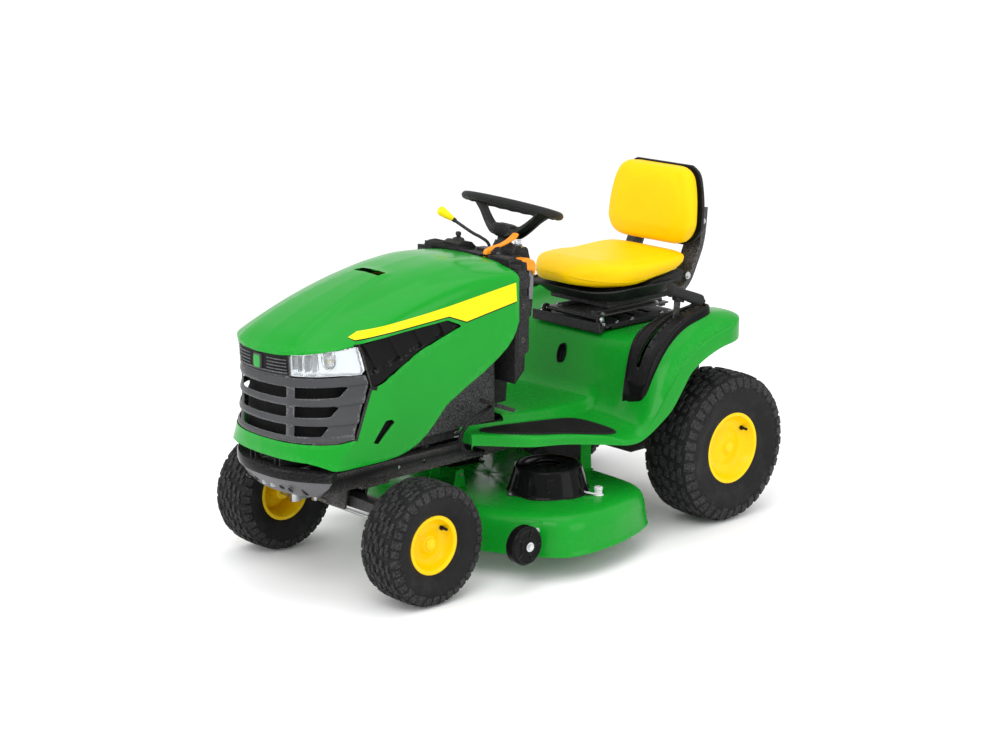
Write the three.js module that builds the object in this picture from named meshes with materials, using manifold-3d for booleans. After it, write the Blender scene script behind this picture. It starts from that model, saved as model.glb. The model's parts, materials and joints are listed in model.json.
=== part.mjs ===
// Riding lawn mower: front-engine lawn tractor with a mid-mounted cutting deck.
// Millimetres, +Z up. The machine faces -Y, the operator's left side is +X.
import * as THREE from 'three';
import { mergeVertices } from 'three/addons/utils/BufferGeometryUtils.js';
import Module from 'manifold-3d';

const wasm = await Module();
wasm.setup();

// ---------------------------------------------------------------- dimensions
const WHEELBASE = 1275;            // rear axle to front axle
const FRONT_TIRE_R = 190.5;        // 15x6-6 tyre
const FRONT_TIRE_HALF_W = 77;
const FRONT_HALF_TRACK = 364;
const REAR_TIRE_R = 254;           // 20x8-8 tyre
const REAR_TIRE_HALF_W = 100;
const REAR_HALF_TRACK = 390;
const KINGPIN_X = 258;
const AXLE_Z = 250;                // beam height at its centre pivot

const HOOD_HALF_W = 250;
const HOOD_FRONT_Y = -1600;
const HOOD_REAR_Y = -770;
const HOOD_WALL = 6;
const HOOD_HINGE = [0, -1577, 449];

const RAIL_X = 150;                // outer face of each frame rail
const RAIL_Z0 = 325;
const RAIL_Z1 = 385;
const RAIL_FRONT_Y = -1490;
const RAIL_REAR_Y = 110;

const STEER_CENTRE = [0, -565, 1080];
const STEER_LEAN = 18 * Math.PI / 180;
const STEER_R = 156;
const STEER_TUBE_R = 13;

const PAN_WALL = 5;
const DECK_Z0 = 80;
const DECK_Z1 = 204;
const DECK_WALL = 5;
const SPINDLE_L = [270, -660];
const SPINDLE_R = [-238, -660];
const BLADE_R = 248;

// The origin sits under the middle of the whole outline, on the ground.
const X_MIN = -640;
const X_MAX = 556;
const Y_MIN = -1603;
const Y_MAX = 254 * 1.0;
const ORIGIN_X = (X_MIN + X_MAX) / 2;
const ORIGIN_Y = (Y_MIN + Y_MAX) / 2;

// ------------------------------------------------------------------- helpers
const toSolid = (geometry) => {
  const g = geometry.clone();
  g.deleteAttribute('normal');
  g.deleteAttribute('uv');
  const m = mergeVertices(g, 1e-4);
  return new wasm.Manifold(new wasm.Mesh({
    numProp: 3,
    vertProperties: new Float32Array(m.attributes.position.array),
    triVerts: new Uint32Array(m.index.array),
  }));
};
const flipped = (geometry) => {
  const g = geometry.clone(), idx = g.index.array;
  for (let i = 0; i < idx.length; i += 3) { const t = idx[i + 1]; idx[i + 1] = idx[i + 2]; idx[i + 2] = t; }
  return g;
};
const toGeometry = (solid) => {
  const m = solid.getMesh();
  const g = new THREE.BufferGeometry();
  g.setAttribute('position', new THREE.BufferAttribute(new Float32Array(m.vertProperties), 3));
  g.setIndex(new THREE.BufferAttribute(new Uint32Array(m.triVerts), 1));
  g.computeVertexNormals();
  return g;
};
const moved = (g, x, y, z) => g.translate(x, y, z);

// Box by its limits.
const box = (x0, x1, y0, y1, z0, z1) => toSolid(
  new THREE.BoxGeometry(x1 - x0, y1 - y0, z1 - z0).translate((x0 + x1) / 2, (y0 + y1) / 2, (z0 + z1) / 2));

// Straight cylinder or cone between two points.
const rod = (a, b, r, seg = 12, r2 = r) => {
  const A = new THREE.Vector3(...a), B = new THREE.Vector3(...b);
  const d = B.clone().sub(A), len = d.length();
  const g = new THREE.CylinderGeometry(r2, r, len, seg);
  g.applyQuaternion(new THREE.Quaternion().setFromUnitVectors(new THREE.Vector3(0, 1, 0), d.normalize()));
  const c = A.add(B).multiplyScalar(0.5);
  return toSolid(g.translate(c.x, c.y, c.z));
};

const shapeOf = (pts) => new THREE.Shape(pts.map(([a, b]) => new THREE.Vector2(a, b)));
// Prism of a (y, z) outline between two x values.
const prismX = (pts, x0, x1) => {
  const g = new THREE.ExtrudeGeometry(shapeOf(pts), { depth: x1 - x0, bevelEnabled: false });
  // local (a, b, c) -> world (c + x0, a, b)
  g.applyMatrix4(new THREE.Matrix4().set(0, 0, 1, x0, 1, 0, 0, 0, 0, 1, 0, 0, 0, 0, 0, 1));
  return toSolid(g);
};
// Prism of an (x, y) outline between two z values.
const prismZ = (pts, z0, z1) => {
  const g = new THREE.ExtrudeGeometry(shapeOf(pts), { depth: z1 - z0, bevelEnabled: false });
  return toSolid(g.translate(0, 0, z0));
};
// Prism of an (x, z) outline between two y values.
const prismY = (pts, y0, y1) => {
  const g = new THREE.ExtrudeGeometry(shapeOf(pts), { depth: y1 - y0, bevelEnabled: false });
  // local (a, b, c) -> world (a, y1 - c, b)
  g.applyMatrix4(new THREE.Matrix4().set(1, 0, 0, 0, 0, 0, -1, y1, 0, 1, 0, 0, 0, 0, 0, 1));
  return toSolid(g);
};
// Body of revolution: profile [radius, along], turned about X, Y or Z through c.
const turned = (profile, axis, c, seg = 24, dir = 1) => {
  const g = new THREE.LatheGeometry(profile.map(([r, a]) => new THREE.Vector2(r, a)), seg, Math.PI / seg);
  if (axis === 'x') g.rotateZ(-Math.PI / 2 * dir);
  if (axis === 'z') g.rotateX(Math.PI / 2 * dir);
  g.translate(...c);
  const s = toSolid(g);
  return s.volume() < 0 ? toSolid(flipped(g)) : s;
};
// Round tube along a list of points.
const tube = (pts, r, steps = 24, seg = 8, tension = 0.35) => {
  const path = new THREE.CatmullRomCurve3(pts.map((p) => new THREE.Vector3(...p)), false, 'catmullrom', tension);
  const sh = new THREE.Shape();
  for (let i = 0; i < seg; i++) {
    const t = (i + 0.5) / seg * 2 * Math.PI;
    if (i) sh.lineTo(r * Math.cos(t), r * Math.sin(t)); else sh.moveTo(r * Math.cos(t), r * Math.sin(t));
  }
  return toSolid(new THREE.ExtrudeGeometry(sh, { steps, bevelEnabled: false, extrudePath: path }));
};
// Closed skin through rings that all have the same number of points.
const loft = (rings) => {
  const n = rings[0].length, pos = [], idx = [];
  for (const ring of rings) for (const p of ring) pos.push(...p);
  for (let k = 0; k + 1 < rings.length; k++) for (let i = 0; i < n; i++) {
    const a = k * n + i, b = k * n + (i + 1) % n, c = a + n, d = b + n;
    idx.push(a, b, d, a, d, c);
  }
  const flat = (ring) => {
    // the two coordinates in which the ring spans the most area
    const spans = [0, 1, 2].map((k) => Math.max(...ring.map((p) => p[k])) - Math.min(...ring.map((p) => p[k])));
    const drop = spans.indexOf(Math.min(...spans));
    const [u, v] = [0, 1, 2].filter((k) => k !== drop);
    return ring.map((p) => new THREE.Vector2(p[u], p[v]));
  };
  // Caps: a fan about the middle where the ring allows it, ears otherwise.
  const cap = (k, flip) => {
    const contour = flat(rings[k]);
    const cx = contour.reduce((t, p) => t + p.x, 0) / n, cy = contour.reduce((t, p) => t + p.y, 0) / n;
    const turn = contour.map((p, i) => {
      const q = contour[(i + 1) % n];
      return (p.x - cx) * (q.y - cy) - (p.y - cy) * (q.x - cx);
    });
    if (turn.every((v) => v > 0) || turn.every((v) => v < 0)) {
      const c = [0, 1, 2].map((j) => rings[k].reduce((t, p) => t + p[j], 0) / n);
      const at = pos.length / 3;
      pos.push(...c);
      for (let i = 0; i < n; i++) {
        const t = [k * n + i, k * n + (i + 1) % n, at];
        idx.push(...(flip ? t : [t[1], t[0], t[2]]));
      }
      return;
    }
    const up = !THREE.ShapeUtils.isClockWise(contour);
    for (const [i, j, m] of THREE.ShapeUtils.triangulateShape(contour, [])) {
      const area = (contour[j].x - contour[i].x) * (contour[m].y - contour[i].y) - (contour[j].y - contour[i].y) * (contour[m].x - contour[i].x);
      const t = (area > 0) === up ? [k * n + i, k * n + j, k * n + m] : [k * n + i, k * n + m, k * n + j];
      idx.push(...(flip ? t : [t[0], t[2], t[1]]));
    }
  };
  cap(0, false);
  cap(rings.length - 1, true);
  const g = new THREE.BufferGeometry();
  g.setAttribute('position', new THREE.Float32BufferAttribute(pos, 3));
  g.setIndex(idx);
  const s = toSolid(g);
  return s.volume() < 0 ? toSolid(flipped(g)) : s;
};
const join = (...list) => list.reduce((a, b) => a.add(b));
const cut = (a, ...list) => list.reduce((s, b) => s.subtract(b), a);
const mirrorX = (solid) => {
  const m = solid.getMesh();
  const v = new Float32Array(m.vertProperties);
  for (let i = 0; i < v.length; i += 3) v[i] = -v[i];
  const t = new Uint32Array(m.triVerts);
  for (let i = 0; i < t.length; i += 3) { const k = t[i + 1]; t[i + 1] = t[i + 2]; t[i + 2] = k; }
  return new wasm.Manifold(new wasm.Mesh({ numProp: 3, vertProperties: v, triVerts: t }));
};
const shift = (solid, x, y, z) => {
  const m = solid.getMesh();
  const v = new Float32Array(m.vertProperties);
  for (let i = 0; i < v.length; i += 3) { v[i] += x; v[i + 1] += y; v[i + 2] += z; }
  return new wasm.Manifold(new wasm.Mesh({ numProp: 3, vertProperties: v, triVerts: new Uint32Array(m.triVerts) }));
};
// Linear look-up in a table of [key, value] rows.
const lerpTable = (table, t) => {
  if (t <= table[0][0]) return table[0][1];
  for (let i = 1; i < table.length; i++) if (t <= table[i][0]) {
    const [a, va] = table[i - 1], [b, vb] = table[i];
    return va + (vb - va) * (t - a) / (b - a);
  }
  return table[table.length - 1][1];
};
const roundedRect = (x0, x1, y0, y1, r, n = 4) => {
  const out = [];
  for (const [cx, cy, a0] of [[x1 - r, y1 - r, 0], [x0 + r, y1 - r, 90], [x0 + r, y0 + r, 180], [x1 - r, y0 + r, 270]])
    for (let i = 0; i <= n; i++) {
      const t = (a0 + 90 * i / n) * Math.PI / 180;
      out.push([cx + r * Math.cos(t), cy + r * Math.sin(t)]);
    }
  return out;
};

const group = new THREE.Group();
const machine = new THREE.Group();
machine.position.set(-ORIGIN_X, -ORIGIN_Y, 0);
group.add(machine);
const GREEN = [0x1c8a34, 0.35, 0.0], YELLOW = [0xf7d008, 0.45, 0.0], BLACK = [0x161616, 0.55, 0.0],
  GREY = [0x3a3c3e, 0.55, 0.1], STEEL = [0x9a9da0, 0.35, 0.9], RUBBER = [0x151515, 0.85, 0.0],
  ORANGE = [0xf08a1c, 0.45, 0.0], CLEAR = [0xdfe4e8, 0.15, 0.1], DARKSTEEL = [0x2a2b2c, 0.5, 0.6];
const add = (name, solid, [color, roughness, metalness]) => {
  const mesh = new THREE.Mesh(toGeometry(solid), new THREE.MeshStandardMaterial({ color, roughness, metalness }));
  mesh.name = name;
  machine.add(mesh);
  return solid;
};

// -------------------------------------------------------------------- wheels
const tire = (R, hw, bead, beadHW, cx, cy, cz) => {
  const k = 1 / Math.cos(Math.PI / 32);
  const p = [[bead, -beadHW], [bead + 10, -beadHW - 2],
    [bead + (R - bead) * 0.5, -hw], [R * 0.94, -hw * 0.92], [R, -hw * 0.66],
    [R, hw * 0.66], [R * 0.94, hw * 0.92], [bead + (R - bead) * 0.5, hw],
    [bead + 10, beadHW + 2], [bead, beadHW]];
  const q = p.map(([r, a]) => [r * (r > bead ? k : 1), a]);
  q.push(q[0]);
  return turned(q, 'x', [cx, cy, cz], 32);
};
// side: +1 has its dish facing +X
const rimSolid = (bead, beadHW, hubIn, bore, cx, cy, cz, side) => {
  const b = bead - 0.6, f = bead + 8;
  const p = [[0, beadHW - 8], [20, beadHW - 8], [24, beadHW - 26], [b * 0.66, beadHW - 34], [b * 0.88, beadHW - 18],
    [b - 4, beadHW + 5], [f, beadHW + 5], [f, beadHW + 2.6], [b, beadHW + 0.5], [b, -beadHW - 0.5],
    [f, -beadHW - 2.6], [f, -beadHW - 5], [b - 7, -beadHW - 5], [b - 11, beadHW - 42], [26, beadHW - 44],
    [26, -hubIn], [bore, -hubIn], [bore, beadHW - 16], [0, beadHW - 16]].map(([r, a]) => [r, a * side]);
  return turned(p, 'x', [cx, cy, cz], 18);
};
const FB = 84, FBH = 50, RB = 113, RBH = 80;   // bead radius and half width, front and rear
for (const [s, name] of [[1, 'left'], [-1, 'right']]) {
  const fx = s * FRONT_HALF_TRACK, rx = s * REAR_HALF_TRACK;
  add(`front_tire_${name}`, tire(FRONT_TIRE_R, FRONT_TIRE_HALF_W, FB, FBH, fx, -WHEELBASE, FRONT_TIRE_R), RUBBER);
  add(`front_rim_${name}`, rimSolid(FB, FBH, 44, 10.4, fx, -WHEELBASE, FRONT_TIRE_R, s), YELLOW);
  add(`rear_tire_${name}`, tire(REAR_TIRE_R, REAR_TIRE_HALF_W, RB, RBH, rx, 0, REAR_TIRE_R), RUBBER);
  add(`rear_rim_${name}`, rimSolid(RB, RBH, 62, 12.9, rx, 0, REAR_TIRE_R, s), YELLOW);
}

// ---------------------------------------------------------------------- hood
// Height of the crown centre line and drop from it to the shoulder, by station.
const CROWN = [[-1660, 733], [-1600, 780], [-1557, 807], [-1490, 838], [-1400, 873], [-1280, 912], [-1150, 944], [-1040, 962], [-950, 968], [-860, 962], [-770, 950], [-700, 938]];
const DROP = [[-1660, 66], [-1420, 62], [-1235, 58], [-1080, 54], [-950, 46], [-770, 27], [-700, 22]];
const hoodRing = (y, t, zBottom) => {
  const zc = lerpTable(CROWN, y) - t, d = lerpTable(DROP, y), w = HOOD_HALF_W - t;
  const half = [[0, 0], [0.34, 0.085], [0.64, 0.37], [0.86, 0.76], [0.96, 1.1], [1, 1.6]];
  const right = half.map(([u, v]) => [u * w, y, zc - v * d]);
  const ring = [[w, y, zBottom], ...right.slice().reverse(), ...right.slice(1).map(([x, , z]) => [-x, y, z]), [-w, y, zBottom]];
  return ring;
};
const hoodTunnel = (t, zBottom, y0, y1) => {
  const ys = CROWN.map(([y]) => y).filter((y) => y > y0 && y < y1);
  return loft([y0, ...ys, y1].map((y) => hoodRing(y, t, zBottom)));
};
// Plan bow of the nose: how far the front face falls back at each x, scaled by height.
const BOW = [[0, 0], [70, 8], [125, 28], [172, 61], [206, 102], [228, 148], [242, 192], [256, 250], [300, 420]];
const BOW_K = [[380, 0.34], [430, 0.40], [517, 0.72], [600, 0.92], [667, 1.0], [800, 0.87], [1000, 0.8]];
const noseRing = (z, t, yRear) => {
  const k = lerpTable(BOW_K, z), front = z < 517 ? HOOD_FRONT_Y + (517 - z) * 0.08 : HOOD_FRONT_Y;
  const xs = BOW.map(([x]) => x);
  const half = xs.map((x) => [x, front + t + k * lerpTable(BOW, x), z]);
  return [[xs[xs.length - 1], yRear, z], ...half.slice().reverse(), ...half.slice(1).map(([x, y]) => [-x, y, z]), [-xs[xs.length - 1], yRear, z]];
};
const nose = (t, z0, z1, yRear) => {
  const zs = BOW_K.map(([z]) => z).filter((z) => z > z0 && z < z1);
  return loft([z0, ...zs, z1].map((z) => noseRing(z, t, yRear)));
};
const hoodSolid = (t, z0 = 400, yRear = HOOD_REAR_Y) =>
  hoodTunnel(t, z0, -1655, yRear).intersect(nose(t, z0 - 5, 1000, yRear + 60));

const hoodBelow = [[-1700, 300], [-1700, 452], [-1562, 452], [-1516, 430], [-1290, 427], [-1230, 440], [-1155, 473], [-1076, 555], [-917, 636], [-819, 694], [-783, 737], [-769, 760], [-700, 770], [-700, 300]];
const frontOpening = [[-1700, 766], [-1601, 768], [-1557, 776], [-1500, 786], [-1411, 798], [-1373, 667], [-1433, 513], [-1480, 506], [-1700, 506]];
const frontFill = [[-1700, 764], [-1601, 766], [-1557, 774], [-1500, 784], [-1413, 795.5], [-1376, 667], [-1436, 514.5], [-1480, 508], [-1700, 508]];
const panelHole = [[-1408, 796], [-1370, 669], [-1352, 661], [-1330, 668], [-1180, 741], [-1000, 792], [-999, 799], [-1200, 801]];
const panelFill = [[-1404, 793.5], [-1368, 672], [-1352, 664], [-1331, 670.5], [-1180, 743.5], [-1006, 793], [-1200, 798.5]];
const slotHole = [[-1364, 489], [-1350, 484], [-1284, 538], [-1291, 548], [-1310, 548]];
let hood = hoodSolid(0);
hood = cut(hood, hoodSolid(HOOD_WALL, 380, HOOD_REAR_Y + 40), prismX(hoodBelow, -300, 300), prismX(frontOpening, -300, 300));
for (const s of [1, -1]) {
  hood = hood.subtract(s > 0 ? prismX(panelHole, 200, 300) : prismX(panelHole, -300, -200));
  hood = hood.subtract(s > 0 ? prismX(slotHole, 200, 300) : prismX(slotHole, -300, -200));
}
// air scoop in the crown, just behind its raised lip
hood = hood.subtract(prismZ([[-62, -1183], [62, -1183], [62, -1140], [-62, -1140]], 900, 1000));
// hinge ears at the lower front edge
for (const x of [-60, 60]) {
  hood = hood.add(prismX([[-1589, 470], [-1589, 448], [-1583, 440], [-1571, 440], [-1566, 446], [-1566, 480], [-1589, 480]], x - 6, x + 6));
  hood = hood.subtract(rod([x - 10, HOOD_HINGE[1], HOOD_HINGE[2]], [x + 10, HOOD_HINGE[1], HOOD_HINGE[2]], 4.8, 8));
}
add('hood_shell', hood, GREEN);

const hoodFill = hoodSolid(0.8);
let grille = hoodFill.intersect(prismX(frontFill, -300, 300));
grille = cut(grille, hoodSolid(30, 380));
grille = cut(grille, box(119, 300, -1700, -1300, 714, 860), box(-300, -119, -1700, -1300, 714, 860));
const slotRows = [[527, 556], [572, 601], [617, 646], [662, 690]];
for (const [z0, z1] of slotRows) {
  grille = cut(grille, box(-108, 108, -1640, -1540, z0, z1));
  for (const s of [1, -1]) {
    const a = prismZ([[s * 128, -1640], [s * 128, -1540], [s * 180, -1510], [s * 232, -1437], [s * 246, -1470], [s * 200, -1640]], z0, z1);
    grille = cut(grille, a);
  }
}
add('grille', grille, GREY);
for (const [s, name] of [[1, 'left'], [-1, 'right']]) {
  let lamp = hoodFill.intersect(prismX(frontFill, s > 0 ? 121 : -300, s > 0 ? 300 : -121));
  lamp = lamp.intersect(prismY(s > 0 ? [[121, 718], [300, 716], [300, 860], [126, 860]] : [[-121, 718], [-126, 860], [-300, 860], [-300, 716]], -1700, -1300));
  lamp = cut(lamp, hoodSolid(34, 380));
  add(`headlight_${name}`, lamp, CLEAR);
  let panel = hoodFill.intersect(prismX(panelFill, s > 0 ? 200 : -300, s > 0 ? 300 : -200));
  panel = cut(panel, hoodSolid(8, 380));
  add(`side_panel_${name}`, panel, BLACK);
}

// --------------------------------------------------------- frame and bumper
for (const [s, name] of [[1, 'left'], [-1, 'right']]) {
  const X = (a, b) => s > 0 ? [a, b] : [-b, -a];
  let rail = box(...X(RAIL_X - 5, RAIL_X), RAIL_FRONT_Y, RAIL_REAR_Y, RAIL_Z0, RAIL_Z1);
  rail = join(rail, box(...X(RAIL_X - 28, RAIL_X - 2), RAIL_FRONT_Y, RAIL_REAR_Y, RAIL_Z1 - 5, RAIL_Z1),
    box(...X(RAIL_X - 28, RAIL_X - 2), RAIL_FRONT_Y, RAIL_REAR_Y, RAIL_Z0, RAIL_Z0 + 5));
  for (const y of [-1450, -1180, -1080, -900, -560, -220]) rail = rail.subtract(rod([s * 130, y, 356], [s * 170, y, 356], 7, 8));
  // the left rail carries the post and cross pin of the lift lever
  if (s > 0) rail = join(rail, box(148, 160, -246, -214, 340, 540), rod([155, -230, 520], [364, -230, 520], 8, 12));
  add(`frame_rail_${name}`, rail, BLACK);
}
// yoke between the rails at the front: cross member, axle hanger plates, pivot pin, hood hinge arms
let yoke = join(
  box(-150, 150, -1330, -1220, 316, 324.5),
  prismY([[-45, 225], [45, 225], [70, 317], [-70, 317]], -1318, -1308),
  prismY([[-45, 225], [45, 225], [70, 317], [-70, 317]], -1242, -1232),
  rod([0, -1312, AXLE_Z], [0, -1238, AXLE_Z], 11, 16));
add('front_yoke', yoke, DARKSTEEL);

// bumper: lip under the nose, slanted face plate below it, hinge pins for the hood
const arc = (yc, k, w) => [-1, -0.8, -0.6, -0.4, -0.2, 0, 0.2, 0.4, 0.6, 0.8, 1].map((u) => [u * w, yc + k * Math.pow(Math.abs(u), 2.4)]);
let bumper = prismZ([...arc(-1603, 92, 232), ...arc(-1571, 92, 216).reverse()], 388, 422);
bumper = join(bumper,
  prismX([[-1602, 389], [-1590, 376], [-1548, 330], [-1500, 330], [-1492, 336], [-1492, 384], [-1560, 396], [-1575, 415], [-1602, 415]], -140, 140),
  prismX([[-1584, 394], [-1556, 394], [-1556, 421], [-1584, 421]], -90, 90));
for (const x of [-72, -48, 48, 72]) {
  bumper = bumper.add(prismX([[-1582, 415], [-1562, 415], [-1570, 453], [-1577, 457], [-1582, 453]], x - 3, x + 3));
}
for (const x of [-60, 60]) bumper = bumper.add(rod([x - 14, HOOD_HINGE[1], HOOD_HINGE[2]], [x + 14, HOOD_HINGE[1], HOOD_HINGE[2]], 4, 8));
for (const x of [-70, 70]) bumper = bumper.subtract(rod([x, -1640, 356], [x, -1440, 356], 8, 8));
add('front_bumper', bumper, BLACK);

// ------------------------------------------------------------- front axle
let beam = prismY([[-240, 262], [-120, 268], [-40, 268], [40, 268], [120, 268], [240, 262], [240, 236], [120, 232], [0, 230], [-120, 232], [-240, 236]], -1300, -1250);
beam = join(beam, rod([KINGPIN_X, -1275, 226], [KINGPIN_X, -1275, 274], 20, 16), rod([-KINGPIN_X, -1275, 226], [-KINGPIN_X, -1275, 274], 20, 16));
beam = cut(beam, rod([0, -1340, AXLE_Z], [0, -1200, AXLE_Z], 11.6, 16),
  rod([KINGPIN_X, -1275, 200], [KINGPIN_X, -1275, 300], 10.6, 16), rod([-KINGPIN_X, -1275, 200], [-KINGPIN_X, -1275, 300], 10.6, 16));
add('axle_beam', beam, DARKSTEEL);
const ARM_END = [KINGPIN_X, -1192];   // straight arms: the tie rod stays parallel to the beam
for (const [s, name] of [[1, 'left'], [-1, 'right']]) {
  let sp = join(
    rod([s * KINGPIN_X, -1275, 205], [s * KINGPIN_X, -1275, 286], 10, 16),
    rod([s * KINGPIN_X, -1275, 274.8], [s * KINGPIN_X, -1275, 284], 17, 12),
    rod([s * KINGPIN_X, -1275, 176], [s * KINGPIN_X, -1275, 225.2], 19, 16),
    rod([s * (KINGPIN_X + 4), -1275, FRONT_TIRE_R], [s * (FRONT_HALF_TRACK + 27), -1275, FRONT_TIRE_R], 10, 16),
    prismZ([[s * (KINGPIN_X - 14), -1275], [s * (KINGPIN_X + 14), -1275], [s * (ARM_END[0] + 11), ARM_END[1] + 8], [s * (ARM_END[0] - 11), ARM_END[1] + 8]].map(([x, y]) => [x, y]), 178, 188),
    rod([s * ARM_END[0], ARM_END[1], 158], [s * ARM_END[0], ARM_END[1], 188], 5, 10));
  if (s > 0) sp = join(sp,
    prismZ([[KINGPIN_X - 16, -1290], [KINGPIN_X + 12, -1262], [190, -1240], [184, -1256]], 190, 199),
    rod([195, -1249, 190], [195, -1249, 216], 5, 10));
  add(`spindle_${name}`, sp, STEEL);
}
// tie rod joins the two steering arms; its right eye keeps clearance on the pin
let tie = join(rod([-(ARM_END[0] - 6), ARM_END[1], 166], [ARM_END[0] - 6, ARM_END[1], 166], 7, 10),
  rod([ARM_END[0], ARM_END[1], 160], [ARM_END[0], ARM_END[1], 172], 13, 12), rod([-ARM_END[0], ARM_END[1], 160], [-ARM_END[0], ARM_END[1], 172], 14, 12));
tie = cut(tie, rod([ARM_END[0], ARM_END[1], 150], [ARM_END[0], ARM_END[1], 190], 5.6, 10), rod([-ARM_END[0], ARM_END[1], 150], [-ARM_END[0], ARM_END[1], 190], 8, 10));
add('tie_rod', tie, STEEL);
// drag link runs back along the frame from the left spindle
let drag = join(rod([195, -1249, 202], [195, -1249, 212], 12, 12), rod([190, -1240, 207], [110, -1010, 262], 6.5, 10), rod([110, -1012, 255], [110, -1012, 269], 12, 12));
drag = cut(drag, rod([195, -1249, 190], [195, -1249, 230], 5.6, 10), rod([110, -1012, 240], [110, -1012, 280], 6, 10));
add('drag_link', drag, STEEL);

// ------------------------------------------------ engine, muffler, drivetrain
let engine = join(box(-120, 120, -1230, -930, 395, 560), box(-168, 168, -1120, -800, 440, 690), rod([0, -1010, 685], [0, -1010, 760], 128, 16),
  rod([0, -1010, 755], [0, -1010, 800], 95, 16), rod([0, -1010, 340], [0, -1010, 400], 40, 16), rod([0, -1010, 316], [0, -1010, 345], 12.5, 12),
  box(-60, 60, -1340, -1225, 480, 600), rod([150, -900, 700], [150, -900, 840], 34, 14), box(110, 160, -930, -860, 660, 712));
for (let i = 0; i < 4; i++) engine = engine.subtract(box(-70, 70, -1345, -1250, 497 + i * 26, 507 + i * 26));
add('engine', engine, DARKSTEEL);
let pulley = turned([[13.2, -16], [62, -16], [62, -11], [50, -5], [50, 5], [62, 11], [62, 16], [13.2, 16], [13.2, -16]], 'z', [0, -1010, 322], 18);
pulley = pulley.add(turned([[0, -24], [24, -24], [24, -12], [0, -12]], 'z', [0, -1010, 322], 12));
add('engine_pulley', pulley, STEEL);
let muffler = join(rod([-95, -1290, 430], [95, -1290, 430], 38, 18), rod([70, -1290, 430], [70, -1392, 412], 14, 10), rod([-40, -1290, 460], [-40, -1290, 476], 12, 10));
add('muffler', muffler, DARKSTEEL);
let trans = join(box(-100, 100, -100, 96, 178, 316), rod([-286, 0, REAR_TIRE_R], [286, 0, REAR_TIRE_R], 30, 16), rod([-(REAR_HALF_TRACK + 55), 0, REAR_TIRE_R], [REAR_HALF_TRACK + 55, 0, REAR_TIRE_R], 12.5, 16),
  rod([0, -60, 310], [0, -60, 344], 14, 12), rod([0, -60, 344], [0, -60, 362], 62, 20), box(-121, 121, -70, 60, 300, 320));
add('transaxle', trans, DARKSTEEL);
let hitch = join(box(-140, 140, 111, 118, 250, 420), box(-60, 60, 112, 168, 262, 270), box(-121, 121, 20, 112, 386, 392));
hitch = cut(hitch, rod([0, 145, 240], [0, 145, 300], 10, 16), rod([-100, 100, 330], [-100, 130, 330], 8, 10), rod([100, 100, 330], [100, 130, 330], 8, 10));
add('hitch_plate', hitch, BLACK);

// ----------------------------------------------------- footrest and fenders
// Surface table: for each x station a run of (y, z) points from the front edge,
// over the footrest, up the front wall, across the seat deck and down the rear.
const PAN_X = [0, 165, 200, 285, 335, 395, 440, 462, 472];
const PAN_ROWS = [
  [[-962, 470], [-850, 462], [-700, 450], [-560, 438], [-455, 432], [-392, 438], [-360, 462], [-347, 510], [-333, 570], [-316, 618], [-284, 643], [-200, 648], [-50, 648], [70, 648], [118, 636], [134, 600]],
  [[-962, 468], [-850, 460], [-700, 448], [-560, 436], [-455, 430], [-392, 436], [-360, 462], [-347, 510], [-333, 570], [-316, 618], [-284, 643], [-200, 648], [-50, 648], [70, 648], [118, 636], [134, 600]],
  [[-962, 440], [-850, 432], [-700, 418], [-560, 405], [-455, 398], [-394, 408], [-362, 446], [-348, 504], [-334, 568], [-316, 617], [-284, 643], [-200, 650], [-50, 652], [70, 650], [118, 636], [134, 598]],
  [[-962, 438], [-850, 430], [-700, 416], [-560, 403], [-455, 395], [-396, 405], [-364, 444], [-349, 502], [-334, 568], [-314, 620], [-278, 650], [-195, 664], [-50, 672], [60, 668], [112, 648], [130, 606]],
  [[-962, 437], [-850, 429], [-700, 414], [-560, 400], [-458, 393], [-404, 403], [-372, 444], [-352, 502], [-330, 566], [-300, 622], [-250, 664], [-175, 696], [-55, 713], [48, 706], [104, 676], [124, 628]],
  [[-962, 436], [-850, 428], [-700, 412], [-560, 398], [-462, 391], [-412, 402], [-380, 440], [-354, 496], [-324, 556], [-282, 612], [-228, 658], [-158, 694], [-52, 714], [46, 706], [100, 678], [120, 640]],
  [[-962, 432], [-850, 424], [-700, 408], [-560, 394], [-466, 387], [-418, 398], [-384, 432], [-352, 482], [-316, 538], [-270, 592], [-214, 638], [-148, 674], [-50, 696], [40, 692], [92, 670], [112, 644]],
  [[-962, 424], [-850, 416], [-700, 398], [-560, 384], [-468, 378], [-420, 388], [-384, 418], [-348, 462], [-308, 514], [-260, 566], [-204, 612], [-140, 646], [-48, 668], [36, 668], [84, 654], [104, 636]],
  [[-962, 410], [-850, 400], [-700, 384], [-560, 372], [-470, 366], [-420, 374], [-382, 400], [-342, 440], [-300, 490], [-250, 540], [-196, 584], [-136, 616], [-46, 640], [34, 644], [80, 638], [100, 630]],
];
const panRow = (k, off) => {
  const p = PAN_ROWS[k];
  return p.map(([y, z], j) => {
    const a = p[Math.max(0, j - 1)], b = p[Math.min(p.length - 1, j + 1)];
    const dy = b[0] - a[0], dz = b[1] - a[1], l = Math.hypot(dy, dz);
    return [y - dz / l * off, z + dy / l * off];
  });
};
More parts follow.
